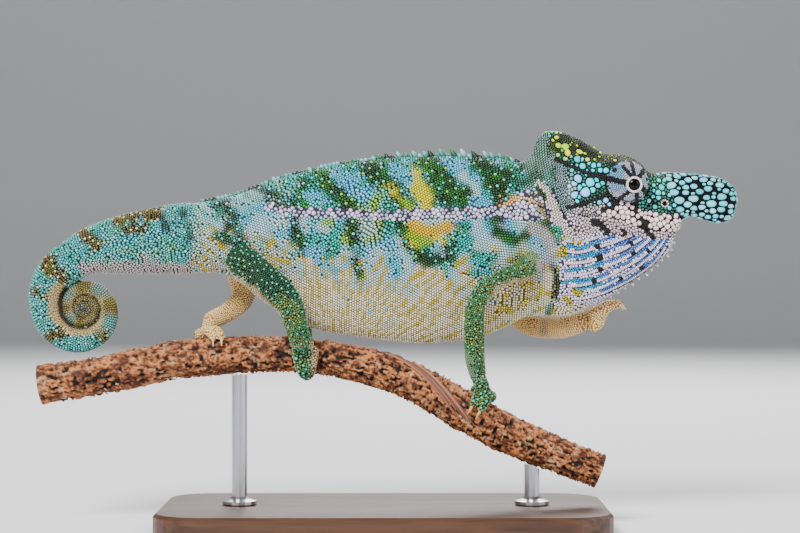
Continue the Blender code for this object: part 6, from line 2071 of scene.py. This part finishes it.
# Dark stripes of the turret: lines from the pupil's centre, and half their breadth.
EYE_STRIPES = (
    (((-0.5, 1.9), (-1.6, 3.3), (-2.6, 4.7)), 0.55),
    (((0.2, 2.0), (0.0, 3.6), (-0.5, 6.1)), 0.46),
    (((1.2, 1.9), (2.2, 2.9), (2.9, 4.2)), 0.6),
    (((-0.8, -0.3), (-3.0, 0.7), (-6.2, 1.5)), 0.75),
    (((1.5, -0.4), (2.4, -1.0), (3.2, -1.9)), 0.58),
    (((0.5, -2.2), (0.9, -3.2), (1.0, -4.4)), 0.55),
    (((-0.9, -1.6), (-2.4, -2.6), (-3.8, -4.0)), 0.5),
)
EYE_DOTS = ((-4.7, 3.9, 0.6), (3.5, 1.4, 0.45))


def turret_place(side, arc, angle, inward=0.0):
    """A point of the eye's turret: arc from its base to its lid in radians, angle round it."""
    centre = np.array(EYE)
    circle = np.stack([np.cos(angle), np.sin(angle)], axis=-1)
    rise = TURRET_RISE * np.sin(arc) - inward
    radius = TURRET_RADIUS * np.cos(arc) - inward * np.cos(arc)
    flat = centre + np.array(EYE_AIM) * (rise / TURRET_RISE)[..., None] + radius[..., None] * circle
    base = half_width(centre + TURRET_RADIUS * circle)
    share = np.clip(rise / TURRET_RISE, 0.0, 1.0)
    out = (1.0 - share) * base + share * float(half_width(EYE)[0]) + rise
    return np.stack([flat[..., 0], side * out, flat[..., 1]], axis=-1)


def turret_frames(side, arc, angle):
    """Round, up and outward directions on the turret."""
    step = 0.01
    rising = turret_place(side, arc + step, angle) - turret_place(side, arc - step, angle)
    turning = turret_place(side, arc, angle + step) - turret_place(side, arc, angle - step)
    rising /= np.linalg.norm(rising, axis=1)[:, None]
    turning /= np.linalg.norm(turning, axis=1)[:, None]
    return turning, rising, np.cross(turning, rising) * -side


def turret_marks(points, draw):
    """The palette of places on the turret: dark stripes and dots round the opening, pale rings between."""
    flat = points[:, [0, 2]] - (np.array(EYE) + np.array(EYE_AIM))
    chosen = np.full(len(points), PALETTE["turret"])
    chosen[noise(points * (1.0, 0.0, 1.0), 1.4, 55) > 0.62] = PALETTE["turret_lilac"]
    chosen[(flat[:, 1] < -1.5) & (draw < 0.8)] = PALETTE["turret_lilac"]
    chosen[(flat[:, 0] < -3.0) & (flat[:, 1] > 1.5) & (draw < 0.8)] = PALETTE["turret_blue"]
    for line, breadth in EYE_STRIPES:
        chosen[distance_to_path(flat, path_of(line)) < breadth] = PALETTE["black"]
    for x, z, radius in EYE_DOTS:
        chosen[np.hypot(flat[:, 0] - x, flat[:, 1] - z) < radius] = PALETTE["black"]
    rim = np.hypot(*(points[:, [0, 2]] - np.array(EYE)).T) > TURRET_RADIUS - 0.45
    chosen[rim & (draw < 0.5)] = PALETTE["black"]
    return chosen


# Points round the turret's skin, rings of it, the step between its scales and how deep their roots lie.
TURRET_SIDES = 72
TURRET_RINGS = 30
TURRET_STEP = 0.5
TURRET_SINK = 0.1


def make_eyes(settings):
    """On each side the turret's skin with rings of scales, the pale lid and the eyeball."""
    scale_finish = scaly_material("eyelid_scales", 0.4)
    skin_finish = scaly_material("eyelid_skin", 0.75, 0.15)
    lid_finish = scaly_material("lid_rim", 0.45)
    eye_finish = eyeball_material()
    last_arc = math.acos(LID_RADIUS / TURRET_RADIUS)
    for word, side in (("right", NEAR), ("left", FAR)):
        draw = np.random.default_rng(settings.seed + 5 + side)
        turns = np.arange(TURRET_SIDES) * 2 * np.pi / TURRET_SIDES
        levels = np.linspace(-0.25, last_arc, TURRET_RINGS)
        rings = [turret_place(side, np.full(TURRET_SIDES, arc), turns, 0.12) for arc in levels]
        form = open_ended(loft(rings))
        mesh = build_mesh("turret_skin", form.points, form_faces(form))
        chosen = turret_marks(form.points, np.ones(len(form.points)))
        set_colours(mesh, palette_table(True)[chosen])
        add_piece(f"eye_turret_skin_{word}", mesh, skin_finish, (f"eye_turret_{word}",))
        arcs, angles = [], []
        arc = 0.02
        while arc < last_arc - 0.02:
            radius = TURRET_RADIUS * math.cos(arc)
            count = int(round(2 * np.pi * radius / TURRET_STEP))
            arcs.append(np.full(count, arc))
            angles.append((np.arange(count) + draw.random()) * 2 * np.pi / count)
            arc += TURRET_STEP / math.hypot(TURRET_RADIUS * math.sin(arc), TURRET_RISE * math.cos(arc))
        arcs, angles = np.concatenate(arcs), np.concatenate(angles)
        count = len(arcs)
        places = turret_place(side, arcs, angles, TURRET_SINK)
        turning, rising, outward = turret_frames(side, arcs, angles)
        chosen = turret_marks(places, draw.random(count))
        unwrap = np.stack([np.mod(angles / (2 * np.pi), 1.0), arcs / last_arc], axis=-1)
        mesh = scale_mesh(
            f"turret_{word}", places, outward, turning, rising * side, oval_reach(count, 7, 0.25, 0.17),
            draw.uniform(0.1, 0.15, count), scale_colours(chosen, places, draw),
            palette_table(True)[chosen] * 0.7, inside_map(unwrap), SMALL_SCALE[0],
        )
        add_piece(f"eye_turret_scales_{word}", mesh, scale_finish)
        add_lid(word, side, lid_finish, draw)
        add_eyeball(word, side, eye_finish)


def open_ended(form):
    """A loft without the two faces that close its ends."""
    form.faces = form.faces[: -2 * form.grid[1]]
    return form


def eye_ring(side, radius, rise, sides=64):
    """A ring round the turret's opening, at this rise above its outer end."""
    angles = np.arange(sides) * 2 * np.pi / sides
    circle = np.stack([np.cos(angles), np.sin(angles)], axis=-1)
    flat = np.array(EYE) + np.array(EYE_AIM) + radius * circle
    out = float(half_width(EYE)[0]) + TURRET_RISE + rise
    return np.stack([flat[:, 0], np.full(sides, side * out), flat[:, 1]], axis=-1)


# The lid's section as radius and rise, its colour, and the scales on it: their number and radius.
LID_PROFILE = (
    (2.14, -0.42), (2.04, -0.2), (1.92, -0.06), (1.8, -0.01), (1.66, -0.07), (1.55, -0.25), (1.53, -1.1),
)
LID_COLOUR = (226, 204, 200)
LID_SCALES = (26, 0.24)


def add_lid(word, side, material, draw):
    """The pale rim of the fused lids, and the small scales on it."""
    form = open_ended(loft([eye_ring(side, radius, rise) for radius, rise in LID_PROFILE]))
    mesh = build_mesh("lid", form.points, form_faces(form))
    set_colours(mesh, np.tile(linear(LID_COLOUR), (len(form.points), 1)))
    add_piece(f"eyelid_rim_{word}", mesh, material)
    count, size = LID_SCALES
    radii = np.full(count, size)
    ring = eye_ring(side, 1.8, -0.06, count)
    normals = np.tile((0.0, float(side), 0.0), (count, 1))
    chosen = np.full(count, PALETTE["lid"])
    unwrap = np.stack([np.arange(count) / count, np.full(count, 0.5)], axis=-1)
    first, second = tangent_frames(normals, draw)
    reach = cell_reaches(ring, first, second, radii, np.full(count, 0.03), SMALL_SCALE[1])
    rises = 0.1 * draw.uniform(0.85, 1.15, count)
    mesh = scale_mesh(
        f"eyelid_scales_{word}", ring, normals, first, second, reach, rises,
        scale_colours(chosen, ring, draw), palette_table(True)[chosen], inside_map(unwrap), SMALL_SCALE[0],
    )
    add_piece(f"eyelid_scales_{word}", mesh, material)


# How far the eyeball swells into its opening.
EYE_SWELL = 0.62


def add_eyeball(word, side, material):
    """The glossy front of the eyeball, swelling into the opening."""
    radius = OPENING_RADIUS + 0.15
    rings = [eye_ring(side, radius, -1.05), eye_ring(side, radius, -EYE_SWELL)]
    for angle in np.radians((12, 28, 44, 60, 76)):
        rings.append(eye_ring(side, radius * math.cos(angle), EYE_SWELL * (math.sin(angle) - 1.0)))
    centre = np.array(EYE) + np.array(EYE_AIM)
    out = float(half_width(EYE)[0]) + TURRET_RISE
    form = loft(rings, tip=np.array([centre[0], side * out, centre[1]]))
    mesh = build_mesh("eyeball", form.points, form_faces(form))
    add_piece(f"eye_{word}", mesh, material, (f"eyeball_{word}",))


# Horn


# The horn's plates are spread over a stretched copy of it, so that they come out longer than high.
HORN_STRETCH = (0.76, 1.0, 1.1)
# Columns and rows of the blade, how deep its root is sunk, and the unwrap of its plates.
HORN_GRID = (70, 46)
HORN_SINK = 0.6
HORN_MAP = ((72.0, 77.0), (21.0, 16.0))
# Radii of the horn's plates: the large ones, the small ones between, and some along its middle.
HORN_PLATES = ((0.62, 0.88), (0.36, 0.56), (0.9, 1.1))
HORN_MIDDLE = ((75.0, 90.0), (86.0, 84.0))


def horn_form():
    """The blade of the horn, its root sunk a little into the snout."""
    root = np.array(HORN_ROOT[-1]) - np.array(HORN_ROOT[0])
    back = np.array([root[1], -root[0]]) / np.linalg.norm(root)
    top, under = smooth_path(HORN_TOP, 14), smooth_path(HORN_UNDER, 14)
    top[0] += back * HORN_SINK
    under[0] += back * HORN_SINK
    share = np.sin(0.5 * np.pi * np.linspace(0.0, 1.0, HORN_GRID[0]))
    first, second = along(top, share), along(under, share)
    across = 0.5 - 0.5 * np.cos(np.pi * np.linspace(0.0, 1.0, HORN_GRID[1]))
    grid = first[:, None, :] + (second - first)[:, None, :] * across[None, :, None]
    widths = np.maximum(half_width(grid) - COAT, 0.05).reshape(HORN_GRID)
    near = np.stack([grid[..., 0], -widths, grid[..., 1]], axis=-1)
    rings = [np.concatenate([row, (row * (1.0, -1.0, 1.0))[::-1]]) for row in near]
    return loft(rings)


def make_horn(settings):
    """The horn's dark skin and the plates on it, large ones with small ones between."""
    draw = np.random.default_rng(settings.seed + 9)
    form = horn_form()
    skin = fused_skin([form], 0.28, 4)
    points, triangles, normals = mesh_arrays(skin)
    set_colours(skin, np.tile(linear(PALETTES["horn"][0]), (len(points), 1)))
    add_piece("horn_skin", skin, scaly_material("horn_skin", 0.75, 0.15), ("horn",))
    stretch = np.array(HORN_STRETCH)
    drawn = points * stretch
    rows, _, found = sample_surface(drawn, triangles, np.full(len(triangles), 0.5), 9.0, draw)
    normal = normals[triangles[rows][:, 0]] / stretch
    normal /= np.linalg.norm(normal, axis=1)[:, None]
    front = found[:, 0] / stretch[0]
    height = found[:, 2] / stretch[2]
    count = len(found)
    is_large = draw.random(count) < 0.5
    radii = np.where(is_large, draw.uniform(*HORN_PLATES[0], count), draw.uniform(*HORN_PLATES[1], count))
    middle = np.abs(height - np.interp(front, *HORN_MIDDLE)) < 2.6
    middle &= draw.random(count) < 0.25
    radii = np.where(middle, draw.uniform(*HORN_PLATES[2], count), radii)
    outside = before_horn(front, height) > 0.1
    found, normal, radii = found[outside], normal[outside], radii[outside]
    order = np.argsort(-np.round(radii * 5.0) + draw.random(len(radii)) * 0.9)
    found, normal, radii = found[order], normal[order], radii[order]
    kinds = np.zeros(len(radii), int)
    kept = throw_darts(found, radii, kinds, np.where(radii > 0.6, 0.01, 0.0), 0, draw, 1.02)
    found, normal, radii = found[kept], normal[kept], radii[kept]
    first, second = tangent_frames(normal, draw)
    reach = cell_reaches(found, first, second, radii, np.full(len(radii), 0.24), LARGE_SCALE[1])
    reach = np.minimum(reach, radii[:, None] * 1.08)
    chosen = np.full(len(radii), PALETTE["horn"])
    unwrap = on_map(found[:, [0, 2]] / stretch[[0, 2]], HORN_MAP)
    mesh = scale_mesh(
        "horn_plates", found, normal, first, second, reach, draw.uniform(0.22, 0.34, len(radii)),
        scale_colours(chosen, found, draw), palette_table(True)[chosen], inside_map(unwrap), LARGE_SCALE[0],
    )
    unwarped = np.empty(len(mesh.vertices) * 3, np.float32)
    mesh.vertices.foreach_get("co", unwarped)
    mesh.vertices.foreach_set("co", (unwarped.reshape(-1, 3) / stretch).ravel())
    mesh.update()
    add_piece("horn_plates", mesh, scaly_material("horn_plates", 0.36))


# Spines and claws


SPINE_SIDES = 9


def cone_rings(root, lean, height, radius, bend):
    """Rings of a bent cone from its sunk root to its tip."""
    lean = unit(np.array(lean, float))
    side = np.array([0.0, 1.0, 0.0])
    rings = []
    for share in (-0.5, 0.0, 0.25, 0.5, 0.75, 0.93):
        middle = root + lean * share * height + np.array(bend) * max(share, 0.0) ** 2 * height
        size = radius * (1.0 - max(share, 0.0) ** 2.0) ** 0.8 + 0.05
        rings.append(ring_points(middle, (lean, side, np.cross(lean, side)), size, SPINE_SIDES))
    return rings, root + lean * height + np.array(bend) * height


def spine_piece(name, spines, material):
    """All cones of one crest in one mesh, each coloured from its palette."""
    forms, colours = [], []
    draw = np.random.default_rng(len(name))
    for root, lean, height, radius, bend, palette in spines:
        rings, tip = cone_rings(root, lean, height, radius, bend)
        form = loft(rings, tip=tip)
        seam = linear(PALETTES[palette][0])
        tone = linear(PALETTES[palette][1][draw.integers(0, len(PALETTES[palette][1]))])
        shares = np.clip(np.linspace(-0.2, 1.1, len(rings)), 0.0, 1.0)
        rows = seam + (tone - seam) * np.repeat(shares, SPINE_SIDES)[:, None]
        forms.append(form)
        colours.append(np.vstack([rows, seam, tone]))
    coloured_piece(name, forms, colours, material)


def back_height(x):
    """The height of the back's line, up to the neck."""
    back = smooth_path(BACK)
    back = back[back[:, 0] < 37.0]
    return float(np.interp(x, back[:, 0], back[:, 1]))


# Spines of the back: lean and bend, and the palettes of those that don't stand in a dark band.
SPINE_LEAN = (-0.28, 0.0, 1.0)
SPINE_BEND = (-0.22, 0.0, 0.0)
SPINE_PALETTES = ("turquoise", "flank_dot", "turquoise")


def make_spines(settings):
    """The crest along the back and the pairs of spines under the chin."""
    material = scaly_material("spines", 0.4)
    rows = []
    draw = np.random.default_rng(settings.seed + 3)
    first, last, count, low = BACK_TUBERCLES
    small = [(x, low * draw.uniform(0.7, 1.2)) for x in np.linspace(first, last, count)]
    between = [(x + 1.3, 0.6) for x, _ in BACK_SPINES[:-3]]
    for x, height in small + between + list(BACK_SPINES):
        dark = 0.5 * (1.0 + math.sin(x * 0.55 + 1.0)) > 0.86
        palette = "dark_green" if dark else SPINE_PALETTES[draw.integers(0, 3)]
        root = np.array([x, draw.uniform(-0.1, 0.1), back_height(x) - 0.35])
        tall, thick = height * 1.25 + 0.35, SPINE_ROOT * (1.05 + 0.3 * height)
        rows.append((root, SPINE_LEAN, tall, thick, SPINE_BEND, palette))
    spine_piece("back_spines", rows, material)
    rows = []
    throat = smooth_path(THROAT)
    for share, height in CHIN_SPINES:
        at, ahead = along(throat, [share])[0], along(throat, [share + 0.02])[0]
        run = unit(ahead - at)
        for y in (-0.45, 0.45):
            root = np.array([at[0] + 0.3 * run[1] * 0.5, y, at[1] - 0.3 * run[0] * 0.5])
            lean = (-run[1], 0.35 * y, run[0])
            tall = height * draw.uniform(0.75, 1.05)
            rows.append((root, lean, tall, 0.42, (0.1, 0.0, -0.1), "throat"))
    spine_piece("chin_spines", rows, material)


def make_claws(settings):
    """Every claw, from the toe that carries it to its tip."""
    forms = []
    for line in left_over("claws"):
        radii = np.interp(np.linspace(0.0, 1.0, len(line)), (0.0, 0.5, 1.0), (0.48, 0.36, 0.1))
        forms.append(tube(line, radii, 0, 12))
    add_piece("claws", joined_mesh("claws", forms), claw_material())


# Perch


# Rings of the branch's cut faces, from the bark inwards: share of the radius and tone of the wood.
CUT_FACE = (
    (0.95, 0.12), (0.92, 0.25), (0.9, 0.9), (0.78, 1.0), (0.74, 0.7), (0.7, 1.0), (0.55, 0.95), (0.5, 0.66),
    (0.45, 0.95), (0.3, 0.9), (0.25, 0.6), (0.2, 0.85), (0.06, 0.7),
)
# Colours of the bark: the near black of the painted shade in its pits and hollows, its red, tan and ashy tones, and
# the wood of the cut ends.
BARK_COLOURS = ((18, 9, 6), (72, 34, 16), (188, 118, 68), (186, 140, 102), (186, 150, 108))
BRANCH_SIDES = 120
# Torn fibres on the near side: how many, first and last x, first and last angle from the top.
SPLIT_FIBRES = 8
SPLIT_RUN = ((-3.0, 21.0), (0.3, 2.1))
FLAKES = 260
# Grain of the stand's board, dark and light.
BOARD_DARK = (44, 26, 16)
BOARD_LIGHT = (84, 52, 32)


def make_perch(settings):
    """The cut branch: rough bark with pits and ridges, its ridges painted lighter and its pits and hollows painted
    darker as shade, pale loose flakes under it and a split strip.
    """
    draw = np.random.default_rng(settings.seed + 17)
    rows = smooth_path(BRANCH, 60)
    path = np.stack([rows[:, 0], np.zeros(len(rows)), rows[:, 1]], axis=-1)
    frames = carried_frames(path, (0.0, 1.0, 0.0))
    sides = BRANCH_SIDES
    rings = np.array([ring_points(p, f, r, sides) for p, f, r in zip(path, frames, rows[:, 2])])
    count = len(rings)
    out = rings - path[:, None, :]
    out /= np.linalg.norm(out, axis=-1, keepdims=True)
    at = np.concatenate([[0.0], np.cumsum(np.linalg.norm(np.diff(path, axis=0), axis=1))])
    angle = np.arange(sides) * 2 * np.pi / sides
    s, a = np.meshgrid(at, angle, indexing="ij")
    drawn = np.stack([s * 0.45, np.cos(a) * 5.0, np.sin(a) * 5.0], axis=-1).reshape(-1, 3)
    spot = np.stack([s, np.cos(a) * 5.0, np.sin(a) * 5.0], axis=-1).reshape(-1, 3)
    ridges = 0.6 * (noise(drawn, 0.75, 21) - 0.5) + 0.5 * (noise(drawn, 0.4, 20) - 0.5)
    bumps = 0.5 * (noise(spot, 0.8, 22) - 0.5) + 0.6 * (noise(spot, 0.42, 26) - 0.5)
    broad = noise(spot, 5.0, 23) - 0.5
    pits = np.clip((noise(spot * (0.7, 1.0, 1.0), 0.7, 24) - 0.62) * 7.0, 0.0, 1.0)
    warts = np.clip((noise(spot, 0.8, 25) - 0.66) * 6.0, 0.0, 1.0)
    height = 0.75 * ridges + 0.55 * bumps + 0.6 * broad - 0.75 * pits + 0.5 * warts - 0.3
    fade = np.clip(np.minimum(at, at[-1] - at) / 1.2, 0.0, 1.0)[:, None]
    rings = rings + out * (np.minimum(height.reshape(count, sides), 0.14) * (0.4 + 0.6 * fade))[..., None]
    fine = noise(spot, 0.36, 31)
    patch = noise(spot, 3.6, 32)
    hue = noise(spot, 1.5, 33)[:, None]
    dark, red, tan, ash, wood = (linear(colour) for colour in BARK_COLOURS)
    # Ridges and bumps are painted lighter than the hollows: partly the bark's own paler tones, partly a painted
    # highlight.
    tone = 0.5 + 1.9 * ridges + 1.2 * bumps + 1.1 * (fine - 0.5) + 0.7 * (patch - 0.5)
    tone = np.clip(tone, 0.0, 1.0)[:, None]
    bright = tan + (ash - tan) * np.clip((hue - 0.55) * 4.0, 0.0, 1.0)
    colour = red + (bright - red) * tone**1.5
    # The pits and the deepest hollows are darkened: painted shade.
    colour = colour + (dark - colour) * np.clip(1.2 * pits, 0.0, 1.0)[:, None]
    colour = colour + (dark - colour) * (np.clip(-height - 0.45, 0.0, 1.0) * 0.9)[:, None]
    faces = []
    for ring in (rings[0], rings[-1]):
        middle = ring.mean(axis=0)
        faces.append([middle + (ring - middle) * share for share, _ in CUT_FACE])
    tints = np.concatenate([np.tile(wood * tone, (sides, 1)) for _, tone in CUT_FACE])
    form = loft(faces[0][::-1] + list(rings) + faces[1])
    colour = np.vstack([tints[::-1], colour, tints, wood * 0.6, wood * 0.6])
    mesh = build_mesh("branch", form.points, form_faces(form))
    set_colours(mesh, np.clip(colour, 0.0, 1.0))
    bark = scaly_material("bark", 0.82)
    add_piece("branch_bark", mesh, bark, ("perch_branch",))
    add_flakes(draw, bark)
    add_split(draw, bark)


def add_split(draw, material):
    """Torn fibres of bark that run slantwise over the near side."""
    forms, colours = [], []
    for k in range(SPLIT_FIBRES):
        start, end = draw.uniform(0.0, 0.25), draw.uniform(0.75, 1.0)
        shares = np.linspace(start, end, 16)
        xs = SPLIT_RUN[0][0] + (SPLIT_RUN[0][1] - SPLIT_RUN[0][0]) * shares + 0.75 * k
        angles = SPLIT_RUN[1][0] + (SPLIT_RUN[1][1] - SPLIT_RUN[1][0]) * shares**1.3
        wave = 0.12 * np.sin(shares * 9.0 + k)
        lifts = 0.05 + 0.45 * np.sin(np.pi * np.linspace(0.0, 1.0, 16)) * draw.uniform(0.3, 1.0)
        path = [around_branch(x, angle, lift) for x, angle, lift in zip(xs + wave, angles, lifts - 0.1)]
        radii = draw.uniform(0.22, 0.38) * (1.0 - 0.6 * np.linspace(0.0, 1.0, 16) ** 2)
        form = tube(path, radii, 0, 8)
        forms.append(form)
        tone = linear((124, 76, 58) if k % 3 else (172, 122, 100)) * draw.uniform(0.6, 1.05)
        colours.append(np.tile(tone, (len(form.points), 1)))
    coloured_piece("bark_split_fibres", forms, colours, material)


def add_flakes(draw, material):
    """Small curled scraps of pale bark along the branch's underside and sides."""
    forms, colours = [], []
    for _ in range(FLAKES):
        x = draw.uniform(-88.0, 54.5)
        angle = draw.normal(math.pi, 0.8)
        length, breadth = draw.uniform(0.5, 1.4), draw.uniform(0.35, 0.8)
        turn = draw.normal(0.0, 0.5)
        lift = draw.uniform(0.05, 0.3)
        corners = []
        for u, v in ((-1, -1), (1, -1), (1, 1), (-1, 1)):
            along_it = 0.5 * (u * length * math.cos(turn) - v * breadth * math.sin(turn))
            round_it = 0.5 * (u * length * math.sin(turn) + v * breadth * math.cos(turn))
            corners.append(around_branch(x, angle + round_it / 5.0, -0.45 + lift * (u + 1.0), along_it))
        base = np.array(corners)
        up = unit(around_branch(x, angle, 1.0) - around_branch(x, angle, 0.0)) * 0.09
        points = np.concatenate([base - up, base + up])
        faces = [(0, 1, 2, 3), (7, 6, 5, 4), (0, 4, 5, 1), (1, 5, 6, 2), (2, 6, 7, 3), (3, 7, 4, 0)]
        forms.append(Form(points, faces, 0, np.zeros((8, 2))))
        tone = linear((172, 132, 102)) if draw.random() < 0.4 else linear((112, 70, 48))
        colours.append(np.tile(tone * draw.uniform(0.75, 1.15), (8, 1)))
    coloured_piece("bark_flakes", forms, colours, material)


def make_stand(settings):
    """New finishes for the stand's own solids."""
    board = wood_material("stained_board", BOARD_DARK, BOARD_LIGHT)
    steel = steel_material("brushed_rod", settings.rod_colour)
    for name, material in (("stand_base", board), ("stand_rod_left", steel), ("stand_rod_right", steel)):
        node = frame["nodes"][name]
        node.data.materials.clear()
        node.data.materials.append(material)


# Stage


# The sweep of paper in metres: front edge, height, where it bends up, radius of the bend, top, half width.
PAPER = (-3.0, -0.0002, 1.4, 0.8, 3.0, 3.0)
# The soft lights: place and width in metres, and power as a share of the key light's.
LIGHTS = (
    ("key", (-0.35, -0.75, 0.7), 0.35, 1.0),
    ("fill", (0.7, -0.5, 0.35), 0.6, 0.22),
    ("back", (0.1, 0.7, 0.7), 0.6, 0.7),
)
LIT_POINT = (0.0, 0.0, 0.07)


def make_backdrop(settings):
    """A pale floor that rises behind the model."""
    front, floor, bend, radius, top, half = PAPER
    profile = [(front, floor), (bend, floor)]
    for angle in np.radians(np.arange(10.0, 91.0, 10.0)):
        profile.append((bend + radius * math.sin(angle), radius * (1.0 - math.cos(angle))))
    profile.append((bend + radius, top))
    corners = [(x, y, z) for y, z in profile for x in (-half, half)]
    faces = [(2 * k, 2 * k + 1, 2 * k + 3, 2 * k + 2) for k in range(len(profile) - 1)]
    sweep = bpy.data.meshes.new("backdrop")
    sweep.from_pydata(corners, [], faces)
    sweep.polygons.foreach_set("use_smooth", [True] * len(faces))
    material, _, shader = new_material("pale_paper", 0.9)
    shader.inputs["Base Color"].default_value = (*settings.floor_colour, 1.0)
    sweep.materials.append(material)
    thing = bpy.data.objects.new("backdrop", sweep)
    bpy.context.scene.collection.objects.link(thing)


def make_stage(settings):
    """Pale floor, soft lights and the camera at the photograph's angle."""
    make_backdrop(settings)
    world = bpy.data.worlds.new("studio")
    world.use_nodes = True
    sky = world.node_tree.nodes["Background"]
    sky.inputs["Color"].default_value = (*settings.ambient_colour, 1.0)
    sky.inputs["Strength"].default_value = settings.ambient
    bpy.context.scene.world = world
    for name, place, width, share in LIGHTS:
        light = bpy.data.lights.new(name, "AREA")
        light.size = width
        light.energy = settings.key_power * share
        lamp = bpy.data.objects.new(name, light)
        lamp.location = place
        aim = Vector(LIT_POINT) - Vector(place)
        lamp.rotation_euler = aim.to_track_quat("-Z", "Y").to_euler()
        bpy.context.scene.collection.objects.link(lamp)
    camera = bpy.data.cameras.new("camera")
    camera.lens = CAMERA_LENS
    camera.clip_start = 0.01
    view = bpy.data.objects.new("camera", camera)
    view.location = Vector(CAMERA_PLACE) * MM
    view.rotation_euler = (math.radians(90.0), 0.0, 0.0)
    bpy.context.scene.collection.objects.link(view)
    bpy.context.scene.camera = view


# Settings, operators and panel


class ChameleonSettings(bpy.types.PropertyGroup):
    """What a user of the model would change."""

    skin_voxel: FloatProperty(
        name="Skin grain", description="Width of the skin mesh's faces", default=0.00045, min=0.0002,
        max=0.002, subtype="DISTANCE", unit="LENGTH", precision=5,
    )
    crowding: FloatProperty(
        name="Crowding", description="Places tried for each scale that is kept", default=5.0, min=1.0,
        max=12.0,
    )
    seed: IntProperty(
        name="Seed", description="Start of every random choice", default=11, min=0, subtype="UNSIGNED",
    )
    rod_colour: FloatVectorProperty(
        name="Rod colour", description="Colour of the stand's steel rods", default=(0.52, 0.52, 0.54),
        min=0.0, max=1.0, subtype="COLOR",
    )
    floor_colour: FloatVectorProperty(
        name="Floor colour", description="Colour of the paper sweep", default=(0.78, 0.78, 0.79),
        min=0.0, max=1.0, subtype="COLOR",
    )
    key_power: FloatProperty(
        name="Key light", description="Power of the main soft light in watts", default=19.0, min=0.0,
        unit="POWER",
    )
    ambient: FloatProperty(
        name="Ambient", description="Strength of the light from all round", default=0.22, min=0.0,
    )
    ambient_colour: FloatVectorProperty(
        name="Ambient colour", description="Colour of the light from all round",
        default=(0.86, 0.9, 0.95), min=0.0, max=1.0, subtype="COLOR",
    )


class CHAMELEON_OT_skin(bpy.types.Operator):
    """Make the one skin of trunk, head, tail and legs"""

    bl_idname = "chameleon.skin"
    bl_label = "Skin"

    def execute(self, context):
        make_skin(context.scene.chameleon)
        return {"FINISHED"}


class CHAMELEON_OT_scales(bpy.types.Operator):
    """Grow the scales on the skin"""

    bl_idname = "chameleon.scales"
    bl_label = "Scales"

    def execute(self, context):
        make_scales(context.scene.chameleon)
        return {"FINISHED"}


class CHAMELEON_OT_throat(bpy.types.Operator):
    """Set the upright scales on the throat's ridges"""

    bl_idname = "chameleon.throat"
    bl_label = "Throat"

    def execute(self, context):
        make_throat(context.scene.chameleon)
        return {"FINISHED"}


class CHAMELEON_OT_nostrils(bpy.types.Operator):
    """Make the rims of the nostrils"""

    bl_idname = "chameleon.nostrils"
    bl_label = "Nostrils"

    def execute(self, context):
        make_nostrils(context.scene.chameleon)
        return {"FINISHED"}


class CHAMELEON_OT_eyes(bpy.types.Operator):
    """Make the eye turrets, lids and eyeballs"""

    bl_idname = "chameleon.eyes"
    bl_label = "Eyes"

    def execute(self, context):
        make_eyes(context.scene.chameleon)
        return {"FINISHED"}


class CHAMELEON_OT_horn(bpy.types.Operator):
    """Make the horn and its plates"""

    bl_idname = "chameleon.horn"
    bl_label = "Horn"

    def execute(self, context):
        make_horn(context.scene.chameleon)
        return {"FINISHED"}


class CHAMELEON_OT_spines(bpy.types.Operator):
    """Make the crests of the back and chin"""

    bl_idname = "chameleon.spines"
    bl_label = "Spines"

    def execute(self, context):
        make_spines(context.scene.chameleon)
        return {"FINISHED"}


class CHAMELEON_OT_claws(bpy.types.Operator):
    """Make the claws"""

    bl_idname = "chameleon.claws"
    bl_label = "Claws"

    def execute(self, context):
        make_claws(context.scene.chameleon)
        return {"FINISHED"}


class CHAMELEON_OT_perch(bpy.types.Operator):
    """Make the branch with its bark, flakes and torn fibres"""

    bl_idname = "chameleon.perch"
    bl_label = "Perch"

    def execute(self, context):
        make_perch(context.scene.chameleon)
        return {"FINISHED"}


class CHAMELEON_OT_stand(bpy.types.Operator):
    """Finish the stand"""

    bl_idname = "chameleon.stand"
    bl_label = "Stand"

    def execute(self, context):
        make_stand(context.scene.chameleon)
        return {"FINISHED"}


class CHAMELEON_OT_stage(bpy.types.Operator):
    """Make floor, lights and camera"""

    bl_idname = "chameleon.stage"
    bl_label = "Stage"

    def execute(self, context):
        make_stage(context.scene.chameleon)
        return {"FINISHED"}


OPERATORS = (
    CHAMELEON_OT_skin, CHAMELEON_OT_scales, CHAMELEON_OT_throat, CHAMELEON_OT_nostrils,
    CHAMELEON_OT_eyes, CHAMELEON_OT_horn, CHAMELEON_OT_spines, CHAMELEON_OT_claws, CHAMELEON_OT_perch,
    CHAMELEON_OT_stand, CHAMELEON_OT_stage,
)


class CHAMELEON_PT_panel(bpy.types.Panel):
    """Lists the settings and the pieces in the 3D view's sidebar."""

    bl_label = "Chameleon"
    bl_space_type = "VIEW_3D"
    bl_region_type = "UI"
    bl_category = "Chameleon"

    def draw(self, context):
        for name in (
            "skin_voxel", "crowding", "seed", "rod_colour", "floor_colour", "key_power", "ambient", "ambient_colour",
        ):
            self.layout.prop(context.scene.chameleon, name)
        for kind in OPERATORS:
            self.layout.operator(kind.bl_idname)


CLASSES = (ChameleonSettings,) + OPERATORS + (CHAMELEON_PT_panel,)


def register():
    """Adds the settings, the operators and the panel."""
    for kind in CLASSES:
        bpy.utils.register_class(kind)
    bpy.types.Scene.chameleon = PointerProperty(type=ChameleonSettings)


def unregister():
    """Takes them away again."""
    del bpy.types.Scene.chameleon
    for kind in reversed(CLASSES):
        bpy.utils.unregister_class(kind)


def main():
    """Makes every piece in turn."""
    register()
    bpy.ops.chameleon.skin()
    bpy.ops.chameleon.scales()
    bpy.ops.chameleon.throat()
    bpy.ops.chameleon.nostrils()
    bpy.ops.chameleon.eyes()
    bpy.ops.chameleon.horn()
    bpy.ops.chameleon.spines()
    bpy.ops.chameleon.claws()
    bpy.ops.chameleon.perch()
    bpy.ops.chameleon.stand()
    bpy.ops.chameleon.stage()


if __name__ == "__main__":
    main()
